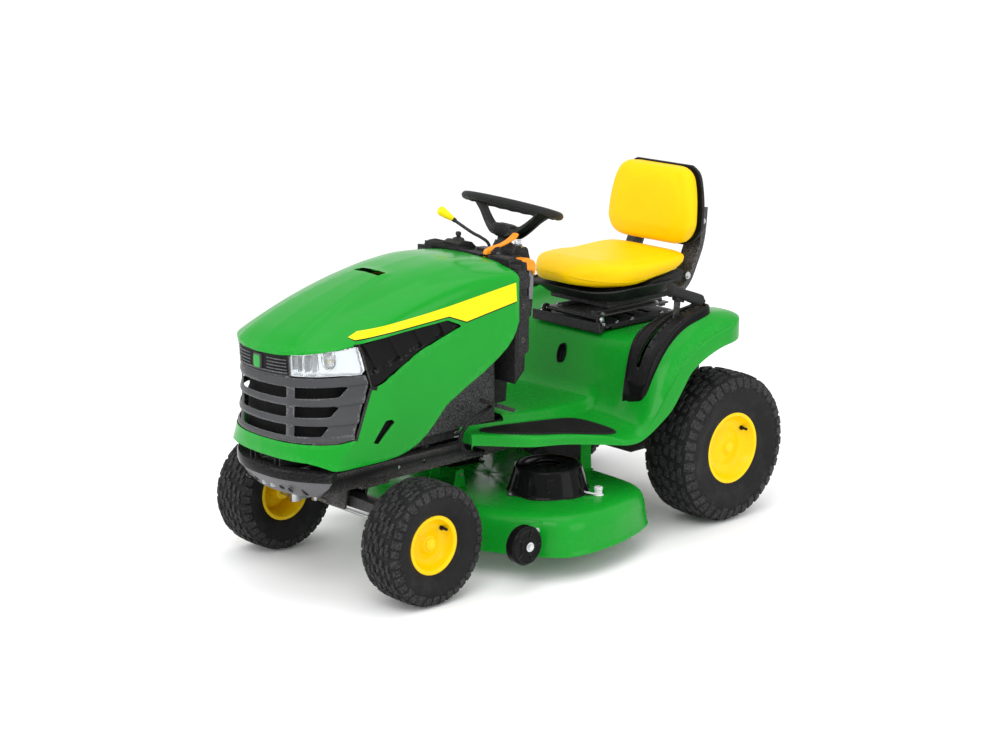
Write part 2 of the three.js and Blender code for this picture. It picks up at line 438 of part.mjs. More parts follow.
// Everything under the surface raised by off, down to a flat floor.
const underPan = (off, floor) => {
  const cols = [...PAN_X.slice(1).map((x, i) => [-x, i + 1]).reverse(), ...PAN_X.map((x, i) => [x, i])];
  const edge = PAN_X.length - 1;
  return loft(cols.map(([x, k]) => {
    const xx = Math.abs(k) === edge ? x + Math.sign(x) * 8 : x;
    const row = panRow(k, off);
    return [[xx, row[0][0], floor], ...row.map(([y, z]) => [xx, y, z]), [xx, row[row.length - 1][0], floor]];
  }));
};
const outlineHalf = [[246, -958], [330, -850], [356, -800], [378, -690], [420, -600], [462, -530], [472, -490], [474, -300], [474, -60], [466, 6], [444, 50], [404, 78], [300, 92]];
const inset = (pts, t) => pts.map(([x, y], i) => {
  const a = pts[Math.max(0, i - 1)], b = pts[Math.min(pts.length - 1, i + 1)];
  const dx = b[0] - a[0], dy = b[1] - a[1], l = Math.hypot(dx, dy);
  return [x - dy / l * t, y + dx / l * t];
});
const panOutline = (t) => {
  const h = inset(outlineHalf, t);
  h[0] = [h[0][0], outlineHalf[0][1] + t];
  h[h.length - 1] = [h[h.length - 1][0], outlineHalf[outlineHalf.length - 1][1] - t];
  return prismZ([...h, ...h.slice().reverse().map(([x, y]) => [-x, y])], 200, 900);
};
const panLower = [[-1000, 100], [-1000, 404], [-958, 402], [-850, 394], [-700, 382], [-560, 368], [-470, 360], [-418, 372], [-360, 402], [-300, 442], [-250, 502], [-208, 552], [-140, 588], [-60, 612], [20, 620], [60, 624], [140, 596], [160, 100]];
let pan = underPan(0, 250).intersect(panOutline(0));
pan = cut(pan, underPan(-PAN_WALL, 200).intersect(panOutline(PAN_WALL)), prismX(panLower, -600, 600));
pan = cut(pan, box(-186, 186, -1000, -772, 200, 700),            // engine bay notch
  prismY([[-14, 520], [-20, 545], [-12, 578], [12, 586], [20, 560], [14, 528]], -400, -280),   // grip slot in the front wall
  box(340, 360, -334, -64, 400, 800),                             // lift lever slot
  rod([-215, 30, 600], [-215, 30, 700], 34, 16));                 // filler neck
add('fender_pan', pan, GREEN);

for (const [s, name] of [[1, 'left'], [-1, 'right']]) {
  const leaf = [[212, -905], [250, -912], [312, -842], [344, -760], [372, -660], [424, -560], [428, -500], [380, -478], [300, -486], [225, -500], [206, -560], [202, -760]];
  let mat = underPan(5, 300).intersect(prismZ(s > 0 ? leaf : leaf.map(([x, y]) => [-x, y]).reverse(), 350, 500));
  mat = cut(mat, underPan(0.7, 200));
  add(`foot_mat_${name}`, mat, BLACK);
}
// lift lever console on the left fender, a raised band with a toothed slot
const consoleOutline = [[300, -352], [330, -366], [392, -366], [412, -350], [408, -220], [414, -80], [402, -50], [376, -36], [332, -36], [306, -50], [302, -200]];
let cons = underPan(26, 300).intersect(prismZ(consoleOutline, 300, 800));
cons = cut(cons, underPan(0.8, 200), box(341, 359, -336, -62, 300, 820));
for (let i = 0; i < 7; i++) cons = cut(cons, box(358, 365, -312 + i * 32, -300 + i * 32, 300, 820));
add('lift_console', cons, BLACK);
let fTray = underPan(12, 300).intersect(prismZ(roundedRect(-440, -330, -170, 60, 28), 300, 800));
fTray = cut(fTray, underPan(0.8, 200), rod([-385, -110, 600], [-385, -110, 800], 40, 20));
add('fender_tray', fTray, BLACK);

// ------------------------------------------------------- tank, seat platform
let tank = join(box(-230, 230, -150, 96, 430, 600), rod([-215, 30, 590], [-215, 30, 668], 26, 12));
add('fuel_tank', tank, BLACK);
let cap = join(rod([-215, 30, 668.4], [-215, 30, 688], 37, 16), box(-246, -184, 27, 33, 686, 695));
add('fuel_cap', cap, BLACK);

let tray = box(-172, 172, -300, 60, 653, 664);
for (let i = 0; i < 4; i++) for (const s of [1, -1]) tray = tray.subtract(box(...(s > 0 ? [34, 118] : [-118, -34]), -262 + i * 74, -226 + i * 74, 640, 680));
tray = join(tray, box(-172, 172, -322, -315, 644, 676), box(-172, 172, -316, -299, 656, 664), box(-172, -164, -300, 60, 660, 672), box(164, 172, -300, 60, 660, 672));
for (const x of [-128, 128]) tray = join(tray, prismX([[-300, 662], [-276, 662], [-276, 684], [-280, 690], [-296, 690], [-300, 684]], x - 5, x + 5));
for (const x of [-128, 128]) tray = tray.subtract(rod([x - 10, -288, 681], [x + 10, -288, 681], 5.8, 10));
add('seat_platform', tray, BLACK);

// seat bracket hinges on the platform's front ears and carries the slide rails
let bracket = join(box(-118, 118, -278, 56, 684, 690), box(-118, 118, -290, -276, 676, 690), rod([-137, -288, 681], [137, -288, 681], 5, 10));
for (const x of [-80, 80]) bracket = join(bracket, box(x - 12, x + 12, -270, 52, 689, 699));
for (const x of [-100, 100]) bracket = join(bracket, box(x - 8, x + 8, 30, 52, 674, 685));
add('seat_bracket', bracket, DARKSTEEL);
let seatPan = box(-140, 140, -262, 40, 715, 738);
for (const x of [-80, 80]) seatPan = join(seatPan, cut(box(x - 20, x + 20, -250, 20, 699.5, 716), box(x - 12.7, x + 12.7, -260, 30, 690, 702)));
seatPan = join(seatPan, loft([[-290, 46, -160, 160], [-356, 62, -194, 194]].map(([y0, y1, x0, x1], i) => roundedRect(x0, x1, y0, y1, i ? 110 : 90, 3).map(([x, y]) => [x, y, i ? 778 : 737]))));
seatPan = join(seatPan, prismX([[-120, 770], [54, 770], [60, 812], [40, 812], [-100, 789]], -182, 182));
// backrest arms: bent straps with a stiffening flange
const strap = [[20, 742], [62, 748], [104, 786], [146, 868], [160, 920], [169, 1010], [176, 1010], [167, 918], [153, 864], [110, 780], [66, 740], [22, 734]];
for (const s of [1, -1]) seatPan = join(seatPan, prismX(strap, s > 0 ? 96 : -168, s > 0 ? 168 : -96),
  prismX([[20, 734], [66, 740], [110, 780], [153, 864], [167, 918], [176, 1006], [192, 1006], [186, 912], [170, 856], [124, 766], [76, 722], [20, 722]], s > 0 ? 161 : -168, s > 0 ? 168 : -161));
add('seat_pan', seatPan, BLACK);

// cushions
const cushionSide = [[-394, 824], [-378, 804], [-290, 787], [-200, 785], [-100, 797], [40, 821], [82, 844], [88, 856], [76, 867], [40, 869], [-40, 865], [-110, 864], [-210, 870], [-290, 873], [-340, 866], [-376, 850], [-394, 836]];
const cushionPlan = [[-50, -396], [50, -396], [88, -376], [130, -338], [170, -292], [194, -244], [206, -190], [206, -60], [200, 20], [184, 66], [150, 90]];
let cushion = prismX(cushionSide, -230, 230).intersect(prismZ([...cushionPlan.slice(1), ...cushionPlan.slice(1).reverse().map(([x, y]) => [-x, y])], 760, 900));
add('seat_cushion', cushion, YELLOW);
const lean = (z) => (z - 880) * 0.10;
const backRing = (z, w, y0, y1, r) => roundedRect(-w, w, y0 + lean(z), y1 + lean(z), r, 3).map(([x, y]) => [x, y, z]);
add('seat_back_cushion', loft([[884, 118, 72, 104], [898, 162, 56, 116], [950, 192, 46, 120], [1010, 190, 46, 120], [1080, 178, 50, 118], [1130, 158, 60, 114], [1150, 126, 76, 106]].map(([z, w, a, b]) => backRing(z, w, a, b, 14))), YELLOW);
let shellB = loft([[878, 120, 121, 134], [896, 166, 121, 142], [950, 198, 121, 147], [1010, 196, 121, 147], [1080, 184, 121, 144], [1134, 164, 121, 140], [1156, 130, 121, 134]].map(([z, w, a, b]) => backRing(z, w, a, b, 5)));
add('seat_back_shell', shellB, BLACK);

// ---------------------------------------------------------------- dash tower
const axisDir = [0, Math.sin(STEER_LEAN), Math.cos(STEER_LEAN)];
const onShaft = (d) => STEER_CENTRE.map((v, i) => v - axisDir[i] * d);
let tower = prismX([[-764, 474], [-702, 474], [-690, 620], [-662, 760], [-612, 868], [-764, 868]], -118, 118);
tower = join(tower, prismX([[-764, 560], [-722, 600], [-712, 868], [-764, 868]], -226, 226));
tower = cut(tower, rod(onShaft(150), onShaft(420), 15, 14));
add('dash_tower', tower, BLACK);
let dash = prismX([[-765, 869], [-606, 869], [-596, 884], [-598, 922], [-640, 944], [-765, 957]], -118, 118);
dash = join(dash, prismX([[-765, 869], [-712, 869], [-704, 905], [-716, 934], [-765, 946]], -200, 200));
dash = join(dash, prismX([[-765, 869], [-716, 869], [-712, 900], [-724, 918], [-765, 930]], -240, 240));
dash = join(dash, prismX([[-712, 905], [-668, 905], [-672, 934], [-712, 944]], -180, 180));
dash = join(dash, prismX([[-765, 930], [-712, 926], [-702, 942], [-716, 958], [-765, 964]], -204, -44));      // raised field left of the column
dash = join(dash, prismX([[-758, 950], [-690, 936], [-684, 956], [-700, 972], [-738, 979], [-758, 972]], -122, -46));
dash = join(dash, prismX([[-765, 922], [-722, 910], [-714, 928], [-730, 942], [-765, 947]], -240, -200));
dash = join(dash, prismX([[-765, 930], [-700, 922], [-694, 936], [-712, 950], [-765, 955]], 98, 196));
dash = join(dash, rod(onShaft(175), onShaft(118), 42, 16, 30));          // column boot under the wheel hub
dash = join(dash, prismX([[-672, 925], [-604, 912], [-596, 925], [-606, 960], [-654, 970]], 66, 116));   // ignition switch housing
dash = cut(dash, rod(onShaft(100), onShaft(260), 13, 14));
dash = cut(dash, rod([92, -627, 940], [92, -627, 990], 5.6, 10));        // key barrel
dash = cut(dash, box(66, 94, -766, -730, 930, 990));                     // throttle slot
dash = cut(dash, box(-62, -42, -650, -580, 905, 990));                   // clutch lever slot
dash = join(dash, box(118.6, 140, -662, -612, 800, 898), box(112, 140, -662, -612, 870, 898));                  // parking brake slide housing
dash = cut(dash, rod([129, -636, 780], [129, -636, 930], 6.6, 8));
add('dash_panel', dash, BLACK);

// steering wheel: rim, three dished spokes, hub, shaft
const wheelQ = new THREE.Quaternion().setFromUnitVectors(new THREE.Vector3(0, 0, 1), new THREE.Vector3(...axisDir));
let rimS = toSolid(new THREE.TorusGeometry(STEER_R, STEER_TUBE_R, 6, 24).applyQuaternion(wheelQ).translate(...STEER_CENTRE));
const wheelPt = (ang, r, d) => {
  const v = new THREE.Vector3(r * Math.cos(ang), r * Math.sin(ang), -d).applyQuaternion(wheelQ);
  return [STEER_CENTRE[0] + v.x, STEER_CENTRE[1] + v.y, STEER_CENTRE[2] + v.z];
};
for (const a of [0, 90, 180]) {
  const t = a * Math.PI / 180;
  const at = (r, s, d) => wheelPt(t + Math.atan2(s, r), Math.hypot(r, s), d);
  rimS = rimS.add(loft([[152, 2, 8, 30], [138, 12, 20, 25], [118, 29, 40, 21], [92, 52, 66, 22], [66, 70, 86, 26], [40, 80, 100, 30], [22, 84, 104, 28]].map(([r, d0, d1, w]) =>
    [at(r, -w, d0), at(r, w, d0), at(r, w, d1), at(r, -w, d1)])));
}
rimS = join(rimS, rod(onShaft(105), onShaft(64), 34, 14, 44), rod(onShaft(106), onShaft(400), 9.5, 10));
rimS = join(rimS, rod(onShaft(117), onShaft(104), 24, 10));
add('steering_wheel', rimS, BLACK);

// hand controls
let key = join(rod([92, -627, 944], [92, -627, 976], 4.6, 10), box(89.5, 94.5, -640, -614, 973, 987));
add('ignition_key', key, STEEL);
let pto = join(tube([[-52, -614, 915], [-58, -616, 952], [-110, -648, 990], [-178, -686, 1038]], 5.5, 8, 6, 0.5),
  rod([-168, -680, 1031], [-206, -702, 1058], 11, 12, 15), rod([-60, -614, 915], [-44, -614, 915], 6, 8));
add('pto_lever', pto, YELLOW);
let throttle = join(prismX([[-756, 956], [-748, 953], [-700, 974], [-640, 990], [-624, 1001], [-632, 1010], [-690, 994], [-740, 974]], 75, 85), prismX([[-712, 975], [-700, 975], [-640, 990], [-624, 1001], [-632, 1010], [-690, 994], [-716, 984]], 69, 91),
  rod([70, -752, 960], [90, -752, 960], 8, 10));
add('throttle_lever', throttle, ORANGE);
let park = join(rod([129, -636, 830], [129, -636, 915], 5.5, 10), prismX([[-664, 909], [-612, 899], [-606, 908], [-612, 926], [-658, 934]], 119, 152));
add('parking_lever', park, ORANGE);

// ------------------------------------------------------------- lift lever
const LIFT_PIVOT = [350, -230, 520];
let lift = join(prismX([[-240, 520], [-220, 520], [-148, 700], [-140, 772], [-162, 780], [-168, 705]], 346, 354), rod([342, -230, 520], [358, -230, 520], 20, 12));
lift = join(lift, rod([352, -186, 802], [386, -78, 756], 15, 10, 17), rod([351, -192, 804], [353, -183, 800], 22, 10), rod([386, -78, 756], [392, -60, 748.5], 8, 8));
lift = cut(lift, rod([330, -230, 520], [370, -230, 520], 8.7, 12));
add('lift_lever', lift, BLACK);

// ---------------------------------------------------------------- pedals
const padBox = (x0, x1, y0, y1, z0, z1) => prismX([[y0, z1], [y1, z0], [y1 + 6, z0 + 10], [y0 + 4, z1 + 12]].reverse(), x0, x1);
// each pedal hangs on a cross shaft under the footrest and bends round its front edge
const PEDAL_SHAFT = [-905, 368];
let brake = join(padBox(238, 322, -930, -858, 506, 536), tube([[232, -905, 368], [232, -968, 374], [234, -1006, 420], [248, -994, 474], [268, -905, 524]], 7, 9, 6, 0.4), rod([152, -905, 368], [244, -905, 368], 8, 10));
add('brake_pedal', brake, BLACK);
let fwd = join(padBox(-270, -206, -930, -866, 506, 534), tube([[-190, -905, 368], [-190, -968, 374], [-194, -1006, 420], [-214, -994, 474], [-236, -905, 522]], 7, 9, 6, 0.4), rod([-201, -905, 368], [-152, -905, 368], 8, 10));
add('forward_pedal', fwd, BLACK);
let rev = join(padBox(-340, -286, -900, -846, 494, 518), tube([[-220, -905, 368], [-222, -968, 374], [-240, -1004, 416], [-284, -976, 470], [-312, -880, 508]], 7, 9, 6, 0.4), rod([-232, -905, 368], [-208, -905, 368], 8, 10));
add('reverse_pedal', rev, BLACK);

// ------------------------------------------------------------ cutting deck
const deckBottom = [[300, -985], [430, -920], [520, -858], [553, -790], [556, -700], [545, -600], [510, -480], [462, -398], [380, -372], [200, -368], [60, -400], [16, -430], [-30, -402], [-180, -368], [-360, -374], [-450, -410], [-500, -480], [-516, -560], [-516, -700], [-500, -776], [-400, -880], [-290, -962], [-180, -985], [16, -992], [200, -990]].reverse();
const deckCx = 18, deckCy = -680;
const deckRing = (k, z, t) => inset([...deckBottom.slice(-1), ...deckBottom, deckBottom[0]], t).slice(1, -1).map(([x, y]) => [deckCx + (x - deckCx) * k, deckCy + (y - deckCy) * k, z]);
const deckSolid = (t, z0, z1) => loft([[1, z0], [0.985, z1 - 60], [0.955, z1 - 24], [0.86, z1]].map(([k, z]) => deckRing(k, z, -t * -1)));
let deck = deckSolid(0, DECK_Z0, DECK_Z1);
const inner = loft([[1, DECK_Z0 - 20], [0.985, DECK_Z1 - 60 - DECK_WALL], [0.955, DECK_Z1 - 24 - DECK_WALL], [0.86, DECK_Z1 - DECK_WALL]].map(([k, z]) => {
  const ring = deckRing(k, z, 0);
  const f = 1 - DECK_WALL / 460;
  return ring.map(([x, y, zz]) => [deckCx + (x - deckCx) * f, deckCy + (y - deckCy) * f, zz]);
}));
deck = cut(deck, inner);
for (const [x, y] of [SPINDLE_L, SPINDLE_R]) {
  deck = deck.add(turned([[14.5, 174], [30, 174], [36, 203], [14.5, 203], [14.5, 174]], 'z', [x, y, 0], 14));
  deck = deck.subtract(rod([x, y, 150], [x, y, 240], 14.5, 14));
}
deck = cut(deck, box(-560, -470, -648, -432, 92, 182));                   // discharge opening in the right wall
for (const s of [1, -1]) {
  const x = s * 205;
  deck = join(deck, cut(prismX([[-452, 198], [-400, 198], [-406, 356], [-416, 372], [-436, 372], [-446, 356]], x - 3, x + 3), rod([x - 9, -426, 350], [x + 9, -426, 350], 8, 8)),
    cut(prismX([[-880, 198], [-830, 198], [-838, 262], [-866, 262]], s * 60 - 3, s * 60 + 3), rod([s * 60 - 9, -852, 246], [s * 60 + 9, -852, 246], 7, 12)));
}
// gauge wheel brackets at both front corners
const gauges = { left: [500, -984, 146], right: [-448, -930, 146] };
deck = join(deck, prismX([[-998, 136], [-998, 156], [-960, 190], [-800, 190], [-800, 150], [-940, 134]], 462, 470),
  rod([466, gauges.left[1], 146], [530, gauges.left[1], 146], 8, 10),
  prismX([[-944, 136], [-944, 156], [-910, 190], [-780, 190], [-780, 150], [-890, 134]], -414, -408),
  rod([-412, gauges.right[1], 146], [-478, gauges.right[1], 146], 8, 10),
  rod([-517, -646, 196], [-517, -434, 196], 4.4, 10), box(-521, -462, -650, -642, 184, 201), box(-521, -452, -438, -430, 184, 201));
add('deck_shell', deck, GREEN);

for (const [[x, y], name] of [[SPINDLE_L, 'left'], [SPINDLE_R, 'right']]) {
  const cover = turned([[134, 204.6], [134, 210], [110, 286], [96, 292], [40, 292], [40, 287], [94, 287], [105, 282], [129, 209], [129, 204.6], [134, 204.6]], 'z', [x, y, 0], 20);
  add(`spindle_cover_${name}`, cut(cover, box(x - 8, x + 8, y - 140, y - 90, 230, 262)), BLACK);
  // blade, shaft and pulley turn together
  let blade = join(prismZ([[x - 30, y - BLADE_R], [x + 22, y - BLADE_R], [x + 30, y - 60], [x + 30, y + BLADE_R], [x - 22, y + BLADE_R], [x - 30, y + 60]], 108, 113),
    rod([x, y, 104], [x, y, 172], 26, 10), rod([x, y, 100], [x, y, 262], 12, 10), rod([x, y, 226], [x, y, 246], 66, 16));
  add(`blade_${name}`, blade, STEEL);
  const [gx, gy, gz] = gauges[name];
  const s = name === 'left' ? 1 : -1;
  const gw = turned([[8.9, -26], [30, -26], [34, -20], [54, -22], [62, -15], [62, 15], [54, 22], [34, 20], [30, 26], [8.9, 26], [8.9, -26]], 'x', [gx, gy, gz], 20);
  add(`gauge_wheel_${name}`, gw, BLACK);
}
// discharge chute hangs on a pin along the right edge of the deck
let chute = prismY([[-512, 203], [-524, 203], [-560, 196], [-610, 160], [-638, 112], [-632, 110], [-606, 154], [-557, 190], [-530, 194.5], [-512, 194.5]].map(([x, z]) => [x, z]), -636, -444);
chute = join(chute, rod([-517, -636, 196], [-517, -444, 196], 9, 14));
for (const y of [-636, -449]) chute = join(chute, prismY([[-530, 196], [-560, 191], [-608, 155], [-634, 111], [-600, 106], [-540, 150], [-528, 180]], y, y + 5));
chute = cut(chute, rod([-517, -700, 196], [-517, -400, 196], 5, 12));
add('discharge_chute', chute, BLACK);

export default group;
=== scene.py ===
import bpy, bmesh, math, random, json
import numpy as np
from mathutils import Vector, Matrix, Quaternion, noise

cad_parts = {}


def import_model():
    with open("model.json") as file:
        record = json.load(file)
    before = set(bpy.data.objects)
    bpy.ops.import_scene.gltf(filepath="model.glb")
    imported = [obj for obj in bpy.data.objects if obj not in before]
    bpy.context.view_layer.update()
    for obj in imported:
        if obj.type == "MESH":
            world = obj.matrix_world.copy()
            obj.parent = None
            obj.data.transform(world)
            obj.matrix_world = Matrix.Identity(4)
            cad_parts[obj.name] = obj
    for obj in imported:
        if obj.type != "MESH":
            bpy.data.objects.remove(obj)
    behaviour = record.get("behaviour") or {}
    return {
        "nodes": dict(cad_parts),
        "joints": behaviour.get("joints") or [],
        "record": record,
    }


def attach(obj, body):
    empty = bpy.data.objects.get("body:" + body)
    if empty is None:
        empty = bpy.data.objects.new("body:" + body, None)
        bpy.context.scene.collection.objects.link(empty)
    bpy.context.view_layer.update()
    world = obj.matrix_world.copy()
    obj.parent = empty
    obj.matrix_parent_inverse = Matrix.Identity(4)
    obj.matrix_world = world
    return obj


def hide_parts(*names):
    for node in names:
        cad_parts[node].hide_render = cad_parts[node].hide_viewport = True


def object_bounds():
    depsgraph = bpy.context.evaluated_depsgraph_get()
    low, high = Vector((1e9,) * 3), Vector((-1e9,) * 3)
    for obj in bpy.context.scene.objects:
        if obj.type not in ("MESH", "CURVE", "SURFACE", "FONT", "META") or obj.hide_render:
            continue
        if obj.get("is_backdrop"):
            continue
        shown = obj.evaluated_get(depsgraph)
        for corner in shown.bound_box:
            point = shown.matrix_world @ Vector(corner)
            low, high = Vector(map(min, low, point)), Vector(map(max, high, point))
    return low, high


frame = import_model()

scene = bpy.context.scene
CAD_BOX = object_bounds()
JOINTS = {j["name"]: j for j in frame["joints"]}
NODES = frame["nodes"]
# Middle of the rear axle on the ground: shapes below are written in millimetres from it.
_h = JOINTS["rear_wheel_left_spin"]["pos_m"]
OX, OY = _h[0] - 0.390, _h[1]
random.seed(7)
rng = np.random.default_rng(7)


def P(x, y, z):
    return (OX + x / 1000.0, OY + y / 1000.0, z / 1000.0)


# ---------------------------------------------------------------- small maths
class Pchip:
    """Smooth shape-keeping curve through rows of (t, value...)."""
    def __init__(s, xs, ys):
        s.x = np.array(xs, float)
        y = np.array(ys, float)
        s.flat = y.ndim == 1
        y = y.reshape(len(xs), -1)
        h = np.diff(s.x)[:, None]
        d = np.diff(y, axis=0) / h
        m = np.zeros_like(y)
        m[0], m[-1] = d[0], d[-1]
        for i in range(1, len(s.x) - 1):
            a, b = d[i - 1], d[i]
            w1, w2 = 2 * h[i] + h[i - 1], h[i] + 2 * h[i - 1]
            ok = a * b > 0
            with np.errstate(divide="ignore", invalid="ignore"):
                v = (w1 + w2) / (w1 / a + w2 / b)
            m[i] = np.where(ok, np.nan_to_num(v), 0)
        s.y, s.m, s.h = y, m, h[:, 0]

    def __call__(s, t):
        t = np.clip(np.asarray(t, float), s.x[0], s.x[-1])
        i = np.clip(np.searchsorted(s.x, t, side="right") - 1, 0, len(s.h) - 1)
        h = s.h[i]
        u = (t - s.x[i]) / h
        u, h = u[..., None], h[..., None]
        y0, y1, m0, m1 = s.y[i], s.y[i + 1], s.m[i], s.m[i + 1]
        r = ((1 + 2 * u) * (1 - u) ** 2 * y0 + u * (1 - u) ** 2 * h * m0
             + u * u * (3 - 2 * u) * y1 + u * u * (u - 1) * h * m1)
        return r[..., 0] if s.flat else r


def smooth(e0, e1, v):
    t = np.clip((np.asarray(v, float) - e0) / (e1 - e0), 0, 1)
    return t * t * (3 - 2 * t)


def catmull(pts, n, closed=False):
    """n points on a smooth curve through pts, evenly spread by length."""
    p = np.array(pts, float)
    if closed:
        q = np.vstack([p[-1], p, p[0], p[1]])
        segs = len(p)
    else:
        q = np.vstack([2 * p[0] - p[1], p, 2 * p[-1] - p[-2]])
        segs = len(p) - 1
    out = []
    for i in range(segs):
        a, b, c, d = q[i], q[i + 1], q[i + 2], q[i + 3]
        for t in np.linspace(0, 1, 24, endpoint=False):
            out.append(0.5 * (2 * b + (c - a) * t + (2 * a - 5 * b + 4 * c - d) * t * t + (3 * b - a - 3 * c + d) * t ** 3))
    if not closed:
        out.append(p[-1])
    out = np.array(out)
    loop = np.vstack([out, out[:1]]) if closed else out
    L = np.concatenate([[0], np.cumsum(np.linalg.norm(np.diff(loop, axis=0), axis=1))])
    t = np.linspace(0, L[-1], n + 1)[:-1] if closed else np.linspace(0, L[-1], n)
    return np.stack([np.interp(t, L, loop[:, k]) for k in range(p.shape[1])], 1)


def resample(pts, n, closed=False):
    p = np.array(pts, float)
    loop = np.vstack([p, p[:1]]) if closed else p
    L = np.concatenate([[0], np.cumsum(np.linalg.norm(np.diff(loop, axis=0), axis=1))])
    t = np.linspace(0, L[-1], n + 1)[:-1] if closed else np.linspace(0, L[-1], n)
    return np.stack([np.interp(t, L, loop[:, k]) for k in range(p.shape[1])], 1)


def rounded(pts, r, n=4):
    """Closed 2-D outline with its corners rounded."""
    out = []
    m = len(pts)
    for i in range(m):
        a, b, c = np.array(pts[i - 1], float), np.array(pts[i], float), np.array(pts[(i + 1) % m], float)
        u, v = a - b, c - b
        lu, lv = np.linalg.norm(u), np.linalg.norm(v)
        d = min(r, lu * 0.45, lv * 0.45)
        p, q = b + u / lu * d, b + v / lv * d
        for k in range(n + 1):
            t = k / n
            out.append(tuple((1 - t) ** 2 * p + 2 * t * (1 - t) * b + t * t * q))
    return out


def inset2(pts, t):
    """Closed outline (counter-clockwise) moved inwards by t."""
    p = np.array(pts, float)
    a, b = np.roll(p, 1, 0), np.roll(p, -1, 0)
    d = b - a
    l = np.linalg.norm(d, axis=1, keepdims=True)
    return p + np.stack([-d[:, 1], d[:, 0]], 1) / np.maximum(l, 1e-9) * t


def area2(p):
    p = np.array(p, float)
    q = np.roll(p, -1, 0)
    return 0.5 * np.sum(p[:, 0] * q[:, 1] - q[:, 0] * p[:, 1])


def ccw(p):
    return list(map(tuple, p)) if area2(p) > 0 else list(map(tuple, p))[::-1]


def in_poly(x, y, poly):
    c = False
    j = len(poly) - 1
    for i in range(len(poly)):
        xi, yi = poly[i]
        xj, yj = poly[j]
        if (yi > y) != (yj > y) and x < (xj - xi) * (y - yi) / (yj - yi) + xi:
            c = not c
        j = i
    return c


# ------------------------------------------------------------------ materials
MATS = {}


